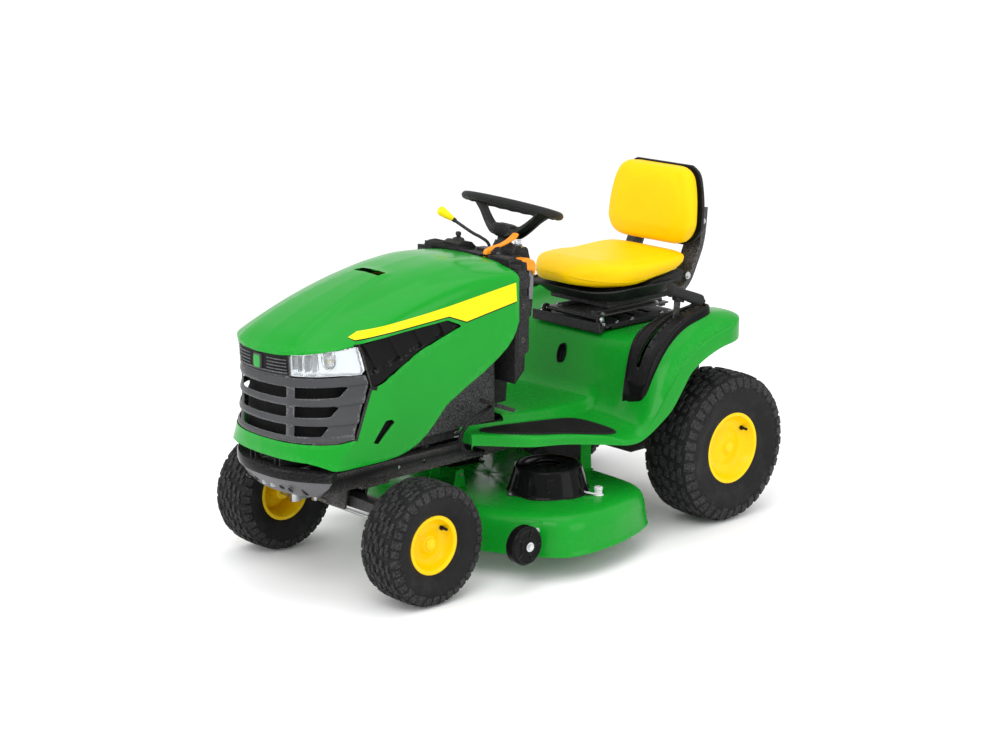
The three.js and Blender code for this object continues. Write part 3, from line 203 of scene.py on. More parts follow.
def material(name, base, rough=0.45, metal=0.0, coat=0.0, coat_rough=0.08, var=0.08, var_scale=5.0, hue=None,
             grain=0.0, grain_scale=300.0, pits=0.0, pits_scale=120.0, waves=None, wear=None, wear_amt=0.5, dust=0.0,
             rough_var=0.08, spec=0.5, sheen=0.0, transmission=0.0, ior=1.45, emit=None, cells=0.0, cells_scale=300.0, stretch=(1, 1, 1)):
    if not (transmission or metal > 0.5):
        spec, coat = spec * 0.26, coat * 0.16
    m = bpy.data.materials.new(name)
    m.use_nodes = True
    nt = m.node_tree
    N, L = nt.nodes, nt.links
    bs = N["Principled BSDF"]
    tc = N.new("ShaderNodeTexCoord")
    mp = N.new("ShaderNodeMapping")
    mp.inputs["Scale"].default_value = stretch
    L.new(tc.outputs["Object"], mp.inputs["Vector"])
    vec = mp.outputs["Vector"]

    def tex_noise(scale, detail=3.0, rough=0.55):
        n = N.new("ShaderNodeTexNoise")
        n.inputs["Scale"].default_value = scale
        n.inputs["Detail"].default_value = detail
        n.inputs["Roughness"].default_value = rough
        L.new(vec, n.inputs["Vector"])
        return n

    def ramp(fac, a, b, ca=(0, 0, 0, 1), cb=(1, 1, 1, 1)):
        r = N.new("ShaderNodeValToRGB")
        r.color_ramp.elements[0].position, r.color_ramp.elements[1].position = a, b
        r.color_ramp.elements[0].color, r.color_ramp.elements[1].color = ca, cb
        L.new(fac, r.inputs["Fac"])
        return r.outputs["Color"]

    def mix(fac, a, b):
        x = N.new("ShaderNodeMix")
        x.data_type = "RGBA"
        for s, v in ((x.inputs[0], fac), (x.inputs[6], a), (x.inputs[7], b)):
            if isinstance(v, (int, float)):
                s.default_value = v
            elif isinstance(v, tuple):
                s.default_value = v
            else:
                L.new(v, s)
        return x.outputs[2]

    def rgba(c, k=1.0):
        return (min(1, c[0] * k), min(1, c[1] * k), min(1, c[2] * k), 1.0)

    big = tex_noise(var_scale, 4.0)
    lo, hi = rgba(base, 1 - var), rgba(hue or base, 1 + var)
    col = ramp(big.outputs["Fac"], 0.32, 0.68, lo, hi)
    fine = tex_noise(var_scale * 14, 2.0)
    col = mix(ramp(fine.outputs["Fac"], 0.35, 0.75, (0, 0, 0, 1), (0.35, 0.35, 0.35, 1)), col, rgba(base, 1 - var * 1.6))
    if wear is not None:
        geo = N.new("ShaderNodeNewGeometry")
        edge = ramp(geo.outputs["Pointiness"], 0.515, 0.56)
        brk = ramp(tex_noise(var_scale * 30, 3.0).outputs["Fac"], 0.42, 0.62)
        mul = N.new("ShaderNodeMath")
        mul.operation = "MULTIPLY"
        L.new(edge, mul.inputs[0])
        L.new(brk, mul.inputs[1])
        mu2 = N.new("ShaderNodeMath")
        mu2.operation = "MULTIPLY"
        L.new(mul.outputs[0], mu2.inputs[0])
        mu2.inputs[1].default_value = wear_amt
        col = mix(mu2.outputs[0], col, rgba(wear))
    if dust > 0:
        d = ramp(tex_noise(var_scale * 2.2, 6.0, 0.7).outputs["Fac"], 0.5, 0.8, (0, 0, 0, 1), (dust, dust, dust, 1))
        col = mix(d, col, (0.30, 0.28, 0.25, 1))
    L.new(col, bs.inputs["Base Color"])
    rr = N.new("ShaderNodeMapRange")
    L.new(tex_noise(var_scale * 5, 4.0).outputs["Fac"], rr.inputs["Value"])
    rr.inputs["To Min"].default_value = max(0.02, rough - rough_var)
    rr.inputs["To Max"].default_value = min(1.0, rough + rough_var)
    L.new(rr.outputs["Result"], bs.inputs["Roughness"])
    bs.inputs["Metallic"].default_value = metal
    bs.inputs["Coat Weight"].default_value = coat
    bs.inputs["Coat Roughness"].default_value = coat_rough
    bs.inputs["IOR"].default_value = ior
    bs.inputs["Specular IOR Level"].default_value = spec
    if sheen:
        bs.inputs["Sheen Weight"].default_value = sheen
    if transmission:
        bs.inputs["Transmission Weight"].default_value = transmission
    if emit:
        bs.inputs["Emission Color"].default_value = (*emit[:3], 1)
        bs.inputs["Emission Strength"].default_value = emit[3]
    normal = None

    def bump(height, dist, strength=1.0):
        nonlocal normal
        b = N.new("ShaderNodeBump")
        b.inputs["Distance"].default_value = dist
        b.inputs["Strength"].default_value = strength
        L.new(height, b.inputs["Height"])
        if normal is not None:
            L.new(normal, b.inputs["Normal"])
        normal = b.outputs["Normal"]
    if grain:
        bump(tex_noise(grain_scale, 3.0).outputs["Fac"], grain / 1000.0)
    if cells:
        v = N.new("ShaderNodeTexVoronoi")
        v.feature = "DISTANCE_TO_EDGE"
        v.inputs["Scale"].default_value = cells_scale
        L.new(vec, v.inputs["Vector"])
        bump(ramp(v.outputs["Distance"], 0.0, 0.12), cells / 1000.0)
    if pits:
        bump(ramp(tex_noise(pits_scale, 2.0).outputs["Fac"], 0.30, 0.42), pits / 1000.0)
    if waves:
        w = N.new("ShaderNodeTexWave")
        w.wave_type = "BANDS"
        w.bands_direction = waves[0]
        w.inputs["Scale"].default_value = waves[1]
        w.inputs["Distortion"].default_value = waves[3] if len(waves) > 3 else 0.0
        L.new(vec, w.inputs["Vector"])
        bump(w.outputs["Fac"], waves[2] / 1000.0)
    if normal is not None:
        L.new(normal, bs.inputs["Normal"])
    MATS[name] = m
    return m


GREEN = (0.005, 0.268, 0.018)
YEL = (0.87, 0.565, 0.0005)
material("green_gloss", GREEN, 0.24, coat=0.7, coat_rough=0.06, var=0.05, var_scale=3, grain=0.018, grain_scale=420, rough_var=0.05, wear=(0.07, 0.40, 0.09), wear_amt=0.14)
material("green_paint", (0.005, 0.262, 0.018), 0.27, coat=0.6, coat_rough=0.08, var=0.06, var_scale=4, grain=0.03, grain_scale=350, rough_var=0.06, wear=(0.07, 0.38, 0.09), wear_amt=0.14, dust=0.01)
material("stripe_yellow", (0.86, 0.70, 0.004), 0.28, coat=0.5, var=0.03, var_scale=8, grain=0.01, grain_scale=500, rough_var=0.04)
material("stripe_border", (0.006, 0.008, 0.006), 0.35, coat=0.3, var=0.1, var_scale=20, grain=0.01, grain_scale=500)
material("yellow_rim", YEL, 0.30, coat=0.5, coat_rough=0.10, var=0.05, var_scale=9, grain=0.03, grain_scale=380, wear=(0.55, 0.38, 0.05), wear_amt=0.5, dust=0.04)
material("yellow_vinyl", (0.87, 0.54, 0.0005), 0.42, coat=0.12, coat_rough=0.25, var=0.035, var_scale=6, cells=0.10, cells_scale=430, grain=0.12, grain_scale=60, rough_var=0.07, spec=0.45)
material("yellow_grip", (0.95, 0.74, 0.01), 0.33, coat=0.3, var=0.04, var_scale=20, grain=0.03, grain_scale=500)
material("piping", (0.72, 0.50, 0.004), 0.5, var=0.06, var_scale=20, grain=0.06, grain_scale=600)
material("slide_grey", (0.19, 0.19, 0.20), 0.45, var=0.06, var_scale=9, grain=0.04, grain_scale=650, rough_var=0.06)
material("black_plastic", (0.009, 0.009, 0.0095), 0.48, var=0.18, var_scale=9, grain=0.07, grain_scale=700, rough_var=0.08, wear=(0.09, 0.09, 0.09), wear_amt=0.5, dust=0.05, spec=0.45)
material("bumper_grey", (0.11, 0.11, 0.116), 0.36, var=0.06, var_scale=6, grain=0.03, grain_scale=600, rough_var=0.05, wear=(0.22, 0.22, 0.23), wear_amt=0.2)
material("black_gloss", (0.006, 0.006, 0.0065), 0.16, spec=0.2, coat=0.3, coat_rough=0.05, var=0.2, var_scale=8, grain=0.02, grain_scale=300, rough_var=0.05, wear=(0.08, 0.08, 0.08), wear_amt=0.4)
material("grey_plastic", (0.070, 0.071, 0.075), 0.42, var=0.10, var_scale=8, grain=0.06, grain_scale=650, rough_var=0.07, wear=(0.20, 0.20, 0.21), wear_amt=0.5, dust=0.04)
material("grille_grey", (0.056, 0.057, 0.060), 0.36, coat=0.15, var=0.08, var_scale=8, grain=0.03, grain_scale=600, rough_var=0.06, wear=(0.22, 0.22, 0.23), wear_amt=0.5)
material("mesh_black", (0.006, 0.006, 0.006), 0.7, var=0.2, var_scale=20, grain=0.2, grain_scale=500, cells=0.8, cells_scale=160)
material("mat_rubber", (0.012, 0.012, 0.012), 0.66, var=0.12, var_scale=12, grain=0.10, grain_scale=380, dust=0.03, rough_var=0.1)
material("tyre_rubber", (0.014, 0.014, 0.015), 0.62, var=0.15, var_scale=7, grain=0.06, grain_scale=420, dust=0.05, rough_var=0.10, wear=(0.07, 0.07, 0.07), wear_amt=0.6, spec=0.4)
material("grip_rubber", (0.022, 0.022, 0.023), 0.55, var=0.12, var_scale=10, cells=0.12, cells_scale=620, rough_var=0.08, dust=0.04)
material("black_steel", (0.018, 0.018, 0.019), 0.38, metal=0.15, coat=0.25, var=0.15, var_scale=9, grain=0.05, grain_scale=420, wear=(0.25, 0.24, 0.23), wear_amt=0.5, dust=0.06)
material("zinc_steel", (0.52, 0.53, 0.54), 0.32, metal=0.95, var=0.12, var_scale=14, grain=0.04, grain_scale=500, rough_var=0.12, dust=0.05, wear=(0.75, 0.75, 0.75), wear_amt=0.5)
material("bright_steel", (0.66, 0.67, 0.69), 0.20, metal=1.0, var=0.08, var_scale=14, grain=0.02, grain_scale=500, rough_var=0.08)
material("cast_dark", (0.016, 0.016, 0.017), 0.55, metal=0.35, var=0.18, var_scale=12, grain=0.30, grain_scale=260, rough_var=0.12, dust=0.02, wear=(0.22, 0.22, 0.22), wear_amt=0.5)
material("rust_steel", (0.11, 0.095, 0.085), 0.55, metal=0.7, var=0.25, var_scale=18, hue=(0.17, 0.13, 0.10), grain=0.25, grain_scale=260, rough_var=0.15, dust=0.10)
material("orange_plastic", (0.90, 0.27, 0.010), 0.30, coat=0.35, var=0.05, var_scale=15, grain=0.02, grain_scale=500, wear=(0.95, 0.42, 0.08), wear_amt=0.4)
material("reflector", (0.80, 0.82, 0.84), 0.12, metal=1.0, var=0.05, var_scale=12, waves=("X", 60, 0.6), grain=0.05, grain_scale=120, rough_var=0.05)
material("lamp_inner", (0.40, 0.42, 0.44), 0.22, metal=0.85, var=0.06, var_scale=12, grain=0.04, grain_scale=200)
material("bulb", (0.95, 0.86, 0.55), 0.15, var=0.04, var_scale=40, coat=0.6)
material("lens", (0.93, 0.95, 0.96), 0.04, transmission=0.92, ior=1.35, var=0.02, var_scale=10, rough_var=0.02, grain=0.02, grain_scale=90)
material("white_plastic", (0.62, 0.63, 0.64), 0.35, var=0.05, var_scale=14, grain=0.03, grain_scale=400, dust=0.04)
material("cable_black", (0.012, 0.012, 0.012), 0.45, var=0.12, var_scale=18, grain=0.05, grain_scale=700)
material("tank_white", (0.40, 0.40, 0.38), 0.5, var=0.08, var_scale=8, grain=0.08, grain_scale=420, dust=0.06)
material("badge_green", (0.03, 0.30, 0.05), 0.25, coat=0.6, var=0.04, var_scale=30, grain=0.01, grain_scale=500)


# -------------------------------------------------------------- mesh building
class G:
    """Vertices and faces in millimetres, with a material index each."""
    def __init__(s):
        s.v, s.f, s.m = [], [], []

    def add(s, vf, m=0):
        v, f = vf
        n = len(s.v)
        s.v += [tuple(map(float, p)) for p in v]
        s.f += [tuple(i + n for i in q) for q in f]
        s.m += [m] * len(f)
        return s


def lathe(profile, axis, c, seg=48, closed=True, start=0.0):
    """Profile rows (radius, along) turned about an axis through c. Closed profiles join their ends."""
    v, f = [], []
    n = len(profile)
    for i in range(seg):
        t = 2 * math.pi * i / seg + start
        cs, sn = math.cos(t), math.sin(t)
        for r, a in profile:
            p = {"x": (a, r * cs, r * sn), "y": (r * sn, a, r * cs), "z": (r * cs, r * sn, a)}[axis]
            v.append((p[0] + c[0], p[1] + c[1], p[2] + c[2]))
    m = n if closed else n - 1
    for i in range(seg):
        for k in range(m):
            a, b = i * n + k, i * n + (k + 1) % n
            d, e = ((i + 1) % seg) * n + k, ((i + 1) % seg) * n + (k + 1) % n
            f.append((a, b, e, d))
    return v, f


def frames(pts):
    p = np.array(pts, float)
    t = np.gradient(p, axis=0)
    t /= np.linalg.norm(t, axis=1, keepdims=True)
    up = np.array([0, 0, 1.0])
    if abs(t[0] @ up) > 0.9:
        up = np.array([1.0, 0, 0])
    n = np.cross(t[0], up)
    n /= np.linalg.norm(n)
    out = []
    for i in range(len(p)):
        n = n - t[i] * (n @ t[i])
        n /= np.linalg.norm(n)
        out.append((p[i], n, np.cross(t[i], n)))
    return out


def tube(pts, r, seg=12, steps=40, section=None, closed=False, raw=False, ends=True):
    """Sweep of a circle (or a section of 2-D points) along a smooth curve, with rounded ends."""
    c = np.array(pts, float) if raw else catmull(pts, steps, closed)
    if closed:
        c2 = np.vstack([c[-1], c, c[0]])
        fr = frames(c2)[1:-1]
    else:
        fr = frames(c)
    v, f = [], []
    n = seg if section is None else len(section)
    rings = []
    for i, (p, a, b) in enumerate(fr):
        rr = r[i] if hasattr(r, "__len__") else r
        if callable(rr):
            rr = rr(i / (len(fr) - 1))
        if section is None:
            ring = [p + rr * (math.cos(2 * math.pi * k / n) * a + math.sin(2 * math.pi * k / n) * b) for k in range(n)]
        else:
            ring = [p + rr * (s[0] * a + s[1] * b) for s in section]
        rings.append(ring)
    if not closed and ends and section is None:
        p0, p1 = np.array(fr[0][0]), np.array(fr[-1][0])
        t0 = fr[1][0] - fr[0][0]
        t1 = fr[-1][0] - fr[-2][0]
        t0, t1 = t0 / np.linalg.norm(t0), t1 / np.linalg.norm(t1)
        r0 = np.linalg.norm(rings[0][0] - p0)
        r1 = np.linalg.norm(rings[-1][0] - p1)
        k = 0.30
        rings = [[p0 + (q - p0) * 0.72 - t0 * 0 for q in rings[0]]] + [[q + t0 * r0 * k for q in rings[0]]] + rings[1:-1] + [[q - t1 * r1 * k for q in rings[-1]]] + [[p1 + (q - p1) * 0.72 for q in rings[-1]]]
    for ring in rings:
        v += [tuple(q) for q in ring]
    R = len(rings)
    for i in range(R if closed else R - 1):
        for k in range(n):
            a, b = i * n + k, i * n + (k + 1) % n
            d, e = ((i + 1) % R) * n + k, ((i + 1) % R) * n + (k + 1) % n
            f.append((a, b, e, d))
    if not closed:
        f.append(tuple(range(n))[::-1])
        f.append(tuple((R - 1) * n + k for k in range(n)))
    return v, f


def rod(a, b, r, seg=24, r2=None, ch=0.8):
    """Round bar between two points with small chamfers at both ends."""
    A, B = np.array(a, float), np.array(b, float)
    d = B - A
    l = np.linalg.norm(d)
    d = d / l
    u = np.cross(d, [0, 0, 1.0]) if abs(d[2]) < 0.9 else np.cross(d, [1.0, 0, 0])
    u /= np.linalg.norm(u)
    w = np.cross(d, u)
    r2 = r if r2 is None else r2
    ch = min(ch, l * 0.3, min(r, r2) * 0.4)
    prof = [(0, r - ch), (ch, r), (l - ch, r2), (l, r2 - ch)]
    v, f = [], []
    for t, rr in prof:
        for k in range(seg):
            q = 2 * math.pi * k / seg
            v.append(tuple(A + d * t + rr * (math.cos(q) * u + math.sin(q) * w)))
    for i in range(3):
        for k in range(seg):
            f.append((i * seg + k, i * seg + (k + 1) % seg, (i + 1) * seg + (k + 1) % seg, (i + 1) * seg + k))
    f.append(tuple(range(seg))[::-1])
    f.append(tuple(3 * seg + k for k in range(seg)))
    return v, f


def ball(c, r, seg=20, rings=12, sx=1, sy=1, sz=1):
    prof = [(max(0.001, r * math.sin(math.pi * i / rings)), -r * math.cos(math.pi * i / rings)) for i in range(rings + 1)]
    v, f = lathe(prof, "z", (0, 0, 0), seg, closed=False)
    return [(c[0] + p[0] * sx, c[1] + p[1] * sy, c[2] + p[2] * sz) for p in v], f


def loft(rings, caps=True, closed=True):
    n = len(rings[0])
    v = [tuple(p) for r in rings for p in r]
    f = []
    for i in range(len(rings) - 1):
        for k in range(n if closed else n - 1):
            f.append((i * n + k, i * n + (k + 1) % n, (i + 1) * n + (k + 1) % n, (i + 1) * n + k))
    if caps and closed:
        f.append(tuple(range(n))[::-1])
        f.append(tuple((len(rings) - 1) * n + k for k in range(n)))
    return v, f


def prism(pts, axis, a0, a1):
    """Outline pulled along an axis: (y, z) along x, (x, z) along y, (x, y) along z."""
    def at(p, a):
        return {"x": (a, p[0], p[1]), "y": (p[0], a, p[1]), "z": (p[0], p[1], a)}[axis]
    return loft([[at(p, a0) for p in pts], [at(p, a1) for p in pts]])


def block(x0, x1, y0, y1, z0, z1):
    return prism([(x0, y0), (x1, y0), (x1, y1), (x0, y1)], "z", z0, z1)


def plate(pts, axis, a0, a1, ch=1.2):
    """A prism with chamfered edges."""
    pts = ccw(pts)

    def at(p, a):
        return {"x": (a, p[0], p[1]), "y": (p[0], a, p[1]), "z": (p[0], p[1], a)}[axis]
    ins = inset2(pts, ch)
    s = 1 if a1 > a0 else -1
    c = min(ch, abs(a1 - a0) * 0.4) * s
    return loft([[at(p, a0) for p in ins], [at(p, a0 + c) for p in pts], [at(p, a1 - c) for p in pts], [at(p, a1) for p in ins]])


def bolt(c, d, r=8, h=5, washer=True):
    """Hexagon head with a washer, on a surface at c, standing along d."""
    d = np.array(d, float)
    d /= np.linalg.norm(d)
    u = np.cross(d, [0, 0, 1.0]) if abs(d[2]) < 0.9 else np.cross(d, [1.0, 0, 0])
    u /= np.linalg.norm(u)
    w = np.cross(d, u)
    c = np.array(c, float)
    g = G()
    t0 = 0.0
    if washer:
        g.add(rod(c - d * 0.5, c + d * 1.4, r * 1.45, 20))
        t0 = 1.4
    rings = []
    for t, k in ((t0, 1.0), (t0 + h * 0.8, 1.0), (t0 + h, 0.86)):
        rings.append([c + d * t + r * k * (math.cos(math.pi / 3 * i) * u + math.sin(math.pi / 3 * i) * w) for i in range(6)])
    g.add(loft(rings))
    g.add(rod(c + d * (t0 + h * 0.9), c + d * (t0 + h + 1.2), r * 0.45, 12))
    return g.v, g.f


def obj(name, g, mats, body, replaces=(), slot=None, bevel=0.0, segs=2, bang=35, sub=0, angle=32, solid=None, doubles=0.02, smooth_all=False):
    """Builds the mesh, bevels it and shades it by angle, and hands it to a body."""
    if isinstance(g, tuple):
        g = G().add(g)
    me = bpy.data.meshes.new(name)
    me.from_pydata([P(*p) for p in g.v], [], g.f)
    for m in ([mats] if isinstance(mats, str) else mats):
        me.materials.append(MATS[m])
    me.polygons.foreach_set("material_index", g.m)
    bm = bmesh.new()
    bm.from_mesh(me)
    if doubles:
        bmesh.ops.remove_doubles(bm, verts=bm.verts, dist=doubles / 1000)
    bmesh.ops.recalc_face_normals(bm, faces=bm.faces)
    bm.to_mesh(me)
    bm.free()
    return finish_mesh(name, me, body, replaces, slot, bevel, segs, bang, sub, angle, solid, smooth_all)


def finish_mesh(name, me, body, replaces=(), slot=None, bevel=0.0, segs=2, bang=35, sub=0, angle=32, solid=None, smooth_all=False):
    ob = bpy.data.objects.new(name, me)
    scene.collection.objects.link(ob)
    if solid:
        s = ob.modifiers.new("s", "SOLIDIFY")
        s.thickness = solid[0] / 1000
        s.offset = solid[1]
        s.use_even_offset = False
        s.use_quality_normals = True
        s.thickness_clamp = 1.0
    if bevel:
        b = ob.modifiers.new("b", "BEVEL")
        b.width = bevel / 1000
        b.segments = segs
        b.limit_method = "ANGLE"
        b.angle_limit = math.radians(bang)
        b.use_clamp_overlap = True
    if sub:
        s = ob.modifiers.new("u", "SUBSURF")
        s.levels = s.render_levels = sub
    if ob.modifiers:
        dg = bpy.context.evaluated_depsgraph_get()
        new = bpy.data.meshes.new_from_object(ob.evaluated_get(dg))
        ob.modifiers.clear()
        ob.data = new
        new.name = name
    me = ob.data
    me.polygons.foreach_set("use_smooth", [True] * len(me.polygons))
    if not smooth_all:
        me.set_sharp_from_angle(angle=math.radians(angle))
    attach(ob, body)
    if replaces:
        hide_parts(*([replaces] if isinstance(replaces, str) else replaces))
    return ob


BODY_OF = {n: b for b, ns in frame["record"]["behaviour"]["bodies"].items() for n in ns}
SLOT_OF = {s["node"]: s.get("material_slot") for s in frame["record"].get("subparts", [])}


def refine(node, mat, bevel=1.0, angle=30, bang=28, segs=2, extra=None, extra_mats=()):
    """A finished copy of a CAD node: the same shape with eased edges and smooth shading, standing for the node."""
    me = NODES[node].data.copy()
    me.name = node + "_finish"
    me.materials.clear()
    me.materials.append(MATS[mat])
    bm = bmesh.new()
    bm.from_mesh(me)
    bmesh.ops.remove_doubles(bm, verts=bm.verts, dist=2e-5)
    bmesh.ops.dissolve_limit(bm, angle_limit=math.radians(1.5), verts=bm.verts, edges=bm.edges)
    for f in bm.faces:
        f.material_index = 0
    bm.to_mesh(me)
    bm.free()
    if me.has_custom_normals:
        try:
            me.free_normals_split()
        except Exception:
            pass
    ob = finish_mesh(node + "_finish", me, BODY_OF[node], node, SLOT_OF.get(node), bevel, segs, bang, 0, angle)
    return ob


def bm_of(v, f, mats=("green_gloss",)):
    bm = bmesh.new()
    vs = [bm.verts.new(P(*p)) for p in v]
    for q in f:
        try:
            bm.faces.new([vs[i] for i in q])
        except ValueError:
            pass
    bmesh.ops.remove_doubles(bm, verts=bm.verts, dist=2e-5)
    return bm


AX = {"x": (1, 2), "y": (0, 2), "z": (0, 1)}


def to_mm(co):
    return ((co[0] - OX) * 1000, (co[1] - OY) * 1000, co[2] * 1000)


def imprint(bm, poly, axis, keep, action):
    """Cuts the edges of a 2-D outline into the faces that keep() picks, then action(face) is called for the faces inside it."""
    a, b = AX[axis]
    off = (OX, OY, 0.0)
    n = len(poly)
    for i in range(n):
        p, q = poly[i], poly[(i + 1) % n]
        d = Vector((q[0] - p[0], q[1] - p[1]))
        if d.length < 1e-6:
            continue
        co = [0.0, 0.0, 0.0]
        co[a], co[b] = p[0] / 1000 + off[a], p[1] / 1000 + off[b]
        no = [0.0, 0.0, 0.0]
        no[a], no[b] = -d[1], d[0]
        lo0, hi0 = min(p[0], q[0]) - 0.01, max(p[0], q[0]) + 0.01
        lo1, hi1 = min(p[1], q[1]) - 0.01, max(p[1], q[1]) + 0.01
        faces = []
        for f in bm.faces:
            cs = [to_mm(v.co) for v in f.verts]
            u0, u1 = min(c[a] for c in cs), max(c[a] for c in cs)
            w0, w1 = min(c[b] for c in cs), max(c[b] for c in cs)
            if u1 < lo0 or u0 > hi0 or w1 < lo1 or w0 > hi1:
                continue
            if keep is not None and not keep(to_mm(f.calc_center_median())):
                continue
            faces.append(f)
        if not faces:
            continue
        geom = list({*faces, *[e for f in faces for e in f.edges], *[v for f in faces for v in f.verts]})
        bmesh.ops.bisect_plane(bm, geom=geom, dist=1e-6, plane_co=co, plane_no=no)
    hit = []
    for f in bm.faces:
        c = to_mm(f.calc_center_median())
        if keep is not None and not keep(c):
            continue
        if in_poly(c[a], c[b], poly):
            hit.append(f)
    action(hit)
    return bm


def delete_faces(bm):
    return lambda fs: bmesh.ops.delete(bm, geom=fs, context="FACES")


def keep_only(bm):
    def go(fs):
        s = set(fs)
        bmesh.ops.delete(bm, geom=[f for f in bm.faces if f not in s], context="FACES")
    return go


def paint(index):
    def go(fs):
        for f in fs:
            f.material_index = index
    return go


def from_bm(name, bm, mats, body, **kw):
    bmesh.ops.remove_doubles(bm, verts=bm.verts, dist=4e-5)
    bmesh.ops.recalc_face_normals(bm, faces=bm.faces)
    me = bpy.data.meshes.new(name)
    bm.to_mesh(me)
    bm.free()
    for m in ([mats] if isinstance(mats, str) else mats):
        me.materials.append(MATS[m])
    return finish_mesh(name, me, body, **kw)


def orient(bm, want):
    """Turns all normals so that the face that matches best points along want."""
    bmesh.ops.recalc_face_normals(bm, faces=bm.faces)
    w = Vector(want).normalized()
    best = max(bm.faces, key=lambda f: f.calc_center_median().dot(w))
    if best.normal.dot(w) < 0:
        bmesh.ops.reverse_faces(bm, faces=bm.faces)


# --------------------------------------------------------------------- wheels
def tyre(name, R, hw, bead, bhw, c, side, body, pitches):
    """Turf tyre: a smooth carcass with its side wall ribs, and a tread of separate moulded blocks."""
    depth = 7.0 if R > 220 else 6.0
    Rc = R - depth
    h = R - bead
    ctrl = [(bead + 0.6, bhw - 3), (bead + 0.6, bhw + 0.2), (bead + 5.5, bhw + 3.2), (bead + 11, bhw + 4.5), (bead + h * 0.26, hw * 0.885),
            (bead + h * 0.46, hw * 0.965), (bead + h * 0.62, hw * 0.975), (R * 0.905, hw * 0.925), (R * 0.945, hw * 0.83), (Rc * 0.992, hw * 0.66), (Rc, hw * 0.4), (Rc + 0.6, 0)]
    half = catmull(ctrl, 64)
    # raised bands on the side wall
    prof = []
    for r, a in half:
        k = (r - bead) / h
        e = 0.0
        for c0, w0, h0 in ((0.15, 0.016, 1.3), (0.24, 0.010, 0.8), (0.56, 0.012, 1.0), (0.60, 0.008, 0.7)):
            e += h0 * math.exp(-((k - c0) / w0) ** 2)
        prof.append((r, a + e))
    outer = prof + [(r, -a) for r, a in reversed(prof[:-1])]
    inner = [(bead + 0.6 + 6, -(bhw - 10)), (R * 0.86, -(hw * 0.8)), (R * 0.9, 0), (R * 0.86, hw * 0.8), (bead + 6.6, bhw - 10)]
    g = G()
    g.add(lathe(outer + inner, "x", c, 120), 0)
    # arc length map over the crown
    arc = np.array([(r, a) for r, a in catmull(ctrl, 200)])[::-1]
    L = np.concatenate([[0], np.cumsum(np.linalg.norm(np.diff(arc, axis=0), axis=1))])

    def at(s, up):
        q = abs(s)
        r, a = np.interp(q, L, arc[:, 0]), np.interp(q, L, arc[:, 1])
        r2, a2 = np.interp(q + 1.5, L, arc[:, 0]), np.interp(q + 1.5, L, arc[:, 1])
        d = np.array([r2 - r, a2 - a])
        d /= np.linalg.norm(d)
        n = np.array([d[1], -d[0]])
        if q < 1:
            n = np.array([1.0, 0.0])
        r, a = r + n[0] * up, a + n[1] * up
        return r, a * (1 if s >= 0 else -1)

    def put(theta, s, up):
        r, a = at(s, up)
        return (c[0] + a, c[1] + r * math.cos(theta), c[2] + r * math.sin(theta))
    W = hw
    pat = [
        ([(0.02, -0.02), (0.40, -0.10), (0.47, 0.06), (0.86, 0.03), (0.90, 0.17), (0.46, 0.24), (0.36, 0.12), (0.04, 0.14)], 0.0),
        ([(0.52, -0.26), (0.90, -0.33), (0.97, -0.18), (1.30, -0.14), (1.34, -0.04), (0.96, -0.02), (0.88, -0.12), (0.54, -0.11)], 0.0),
        ([(0.10, 0.31), (0.50, 0.25), (0.58, 0.36), (0.93, 0.33), (0.96, 0.46), (0.56, 0.53), (0.48, 0.42), (0.12, 0.45)], 0.0),
        ([(0.60, -0.53), (1.02, -0.57), (1.08, -0.46), (1.40, -0.42), (1.44, -0.30), (1.06, -0.27), (0.98, -0.38), (0.62, -0.38)], 0.0),
        ([(0.30, 0.62), (0.70, 0.56), (0.78, 0.62), (1.06, 0.60), (1.08, 0.72), (0.74, 0.78), (0.66, 0.72), (0.32, 0.75)], 0.0),
        ([(0.28, -0.76), (0.66, -0.80), (0.74, -0.74), (1.02, -0.72), (1.04, -0.60), (0.72, -0.56), (0.64, -0.62), (0.30, -0.64)], 0.0),
        ([(0.06, 0.83), (0.48, 0.81), (0.54, 1.12), (0.50, 1.26), (0.10, 1.24), (0.05, 1.10)], 0.35),
        ([(0.56, 0.86), (0.94, 0.85), (0.99, 1.10), (0.95, 1.19), (0.60, 1.18), (0.58, 1.08)], 0.35),
        ([(0.06, -1.24), (0.48, -1.26), (0.52, -1.12), (0.46, -0.84), (0.04, -0.86), (0.02, -1.10)], 0.35),
        ([(0.56, -1.19), (0.94, -1.20), (0.98, -1.10), (0.92, -0.87), (0.54, -0.89), (0.53, -1.08)], 0.35),
    ]
    step = 2 * math.pi / pitches
    for i in range(pitches):
        for poly, drop in pat:
            cx = sum(p[0] for p in poly) / len(poly)
            cy = sum(p[1] for p in poly) / len(poly)

            def ring(k, up):
                return [put((i + cx + (u - cx) * k) * step, (cy + (s - cy) * k) * W, up) for u, s in poly]
            top = depth - 0.7 - drop * 4.5
            v, f = loft([ring(1.02, -1.5), ring(0.92, top - 1.2), ring(0.86, top)])
            g.add((v, f), 0)
    # thin moulding ribs across the shoulder of the side wall
    for i in range(pitches * 2):
        t0 = (i + 0.3) * step / 2
        for s in (1, -1):
            a = [put(t0 - 0.006, s * 1.27 * W, 0.9), put(t0 + 0.006, s * 1.27 * W, 0.9), put(t0 + 0.006, s * 1.40 * W, 0.3), put(t0 - 0.006, s * 1.40 * W, 0.3)]
            b = [put(t0 - 0.010, s * 1.27 * W, -1.2), put(t0 + 0.010, s * 1.27 * W, -1.2), put(t0 + 0.010, s * 1.41 * W, -1.2), put(t0 - 0.010, s * 1.41 * W, -1.2)]
            g.add(loft([b, a]), 0)
    return obj(name + "_tread", g, "tyre_rubber", body, name, "tyre_rubber", angle=38, doubles=0)


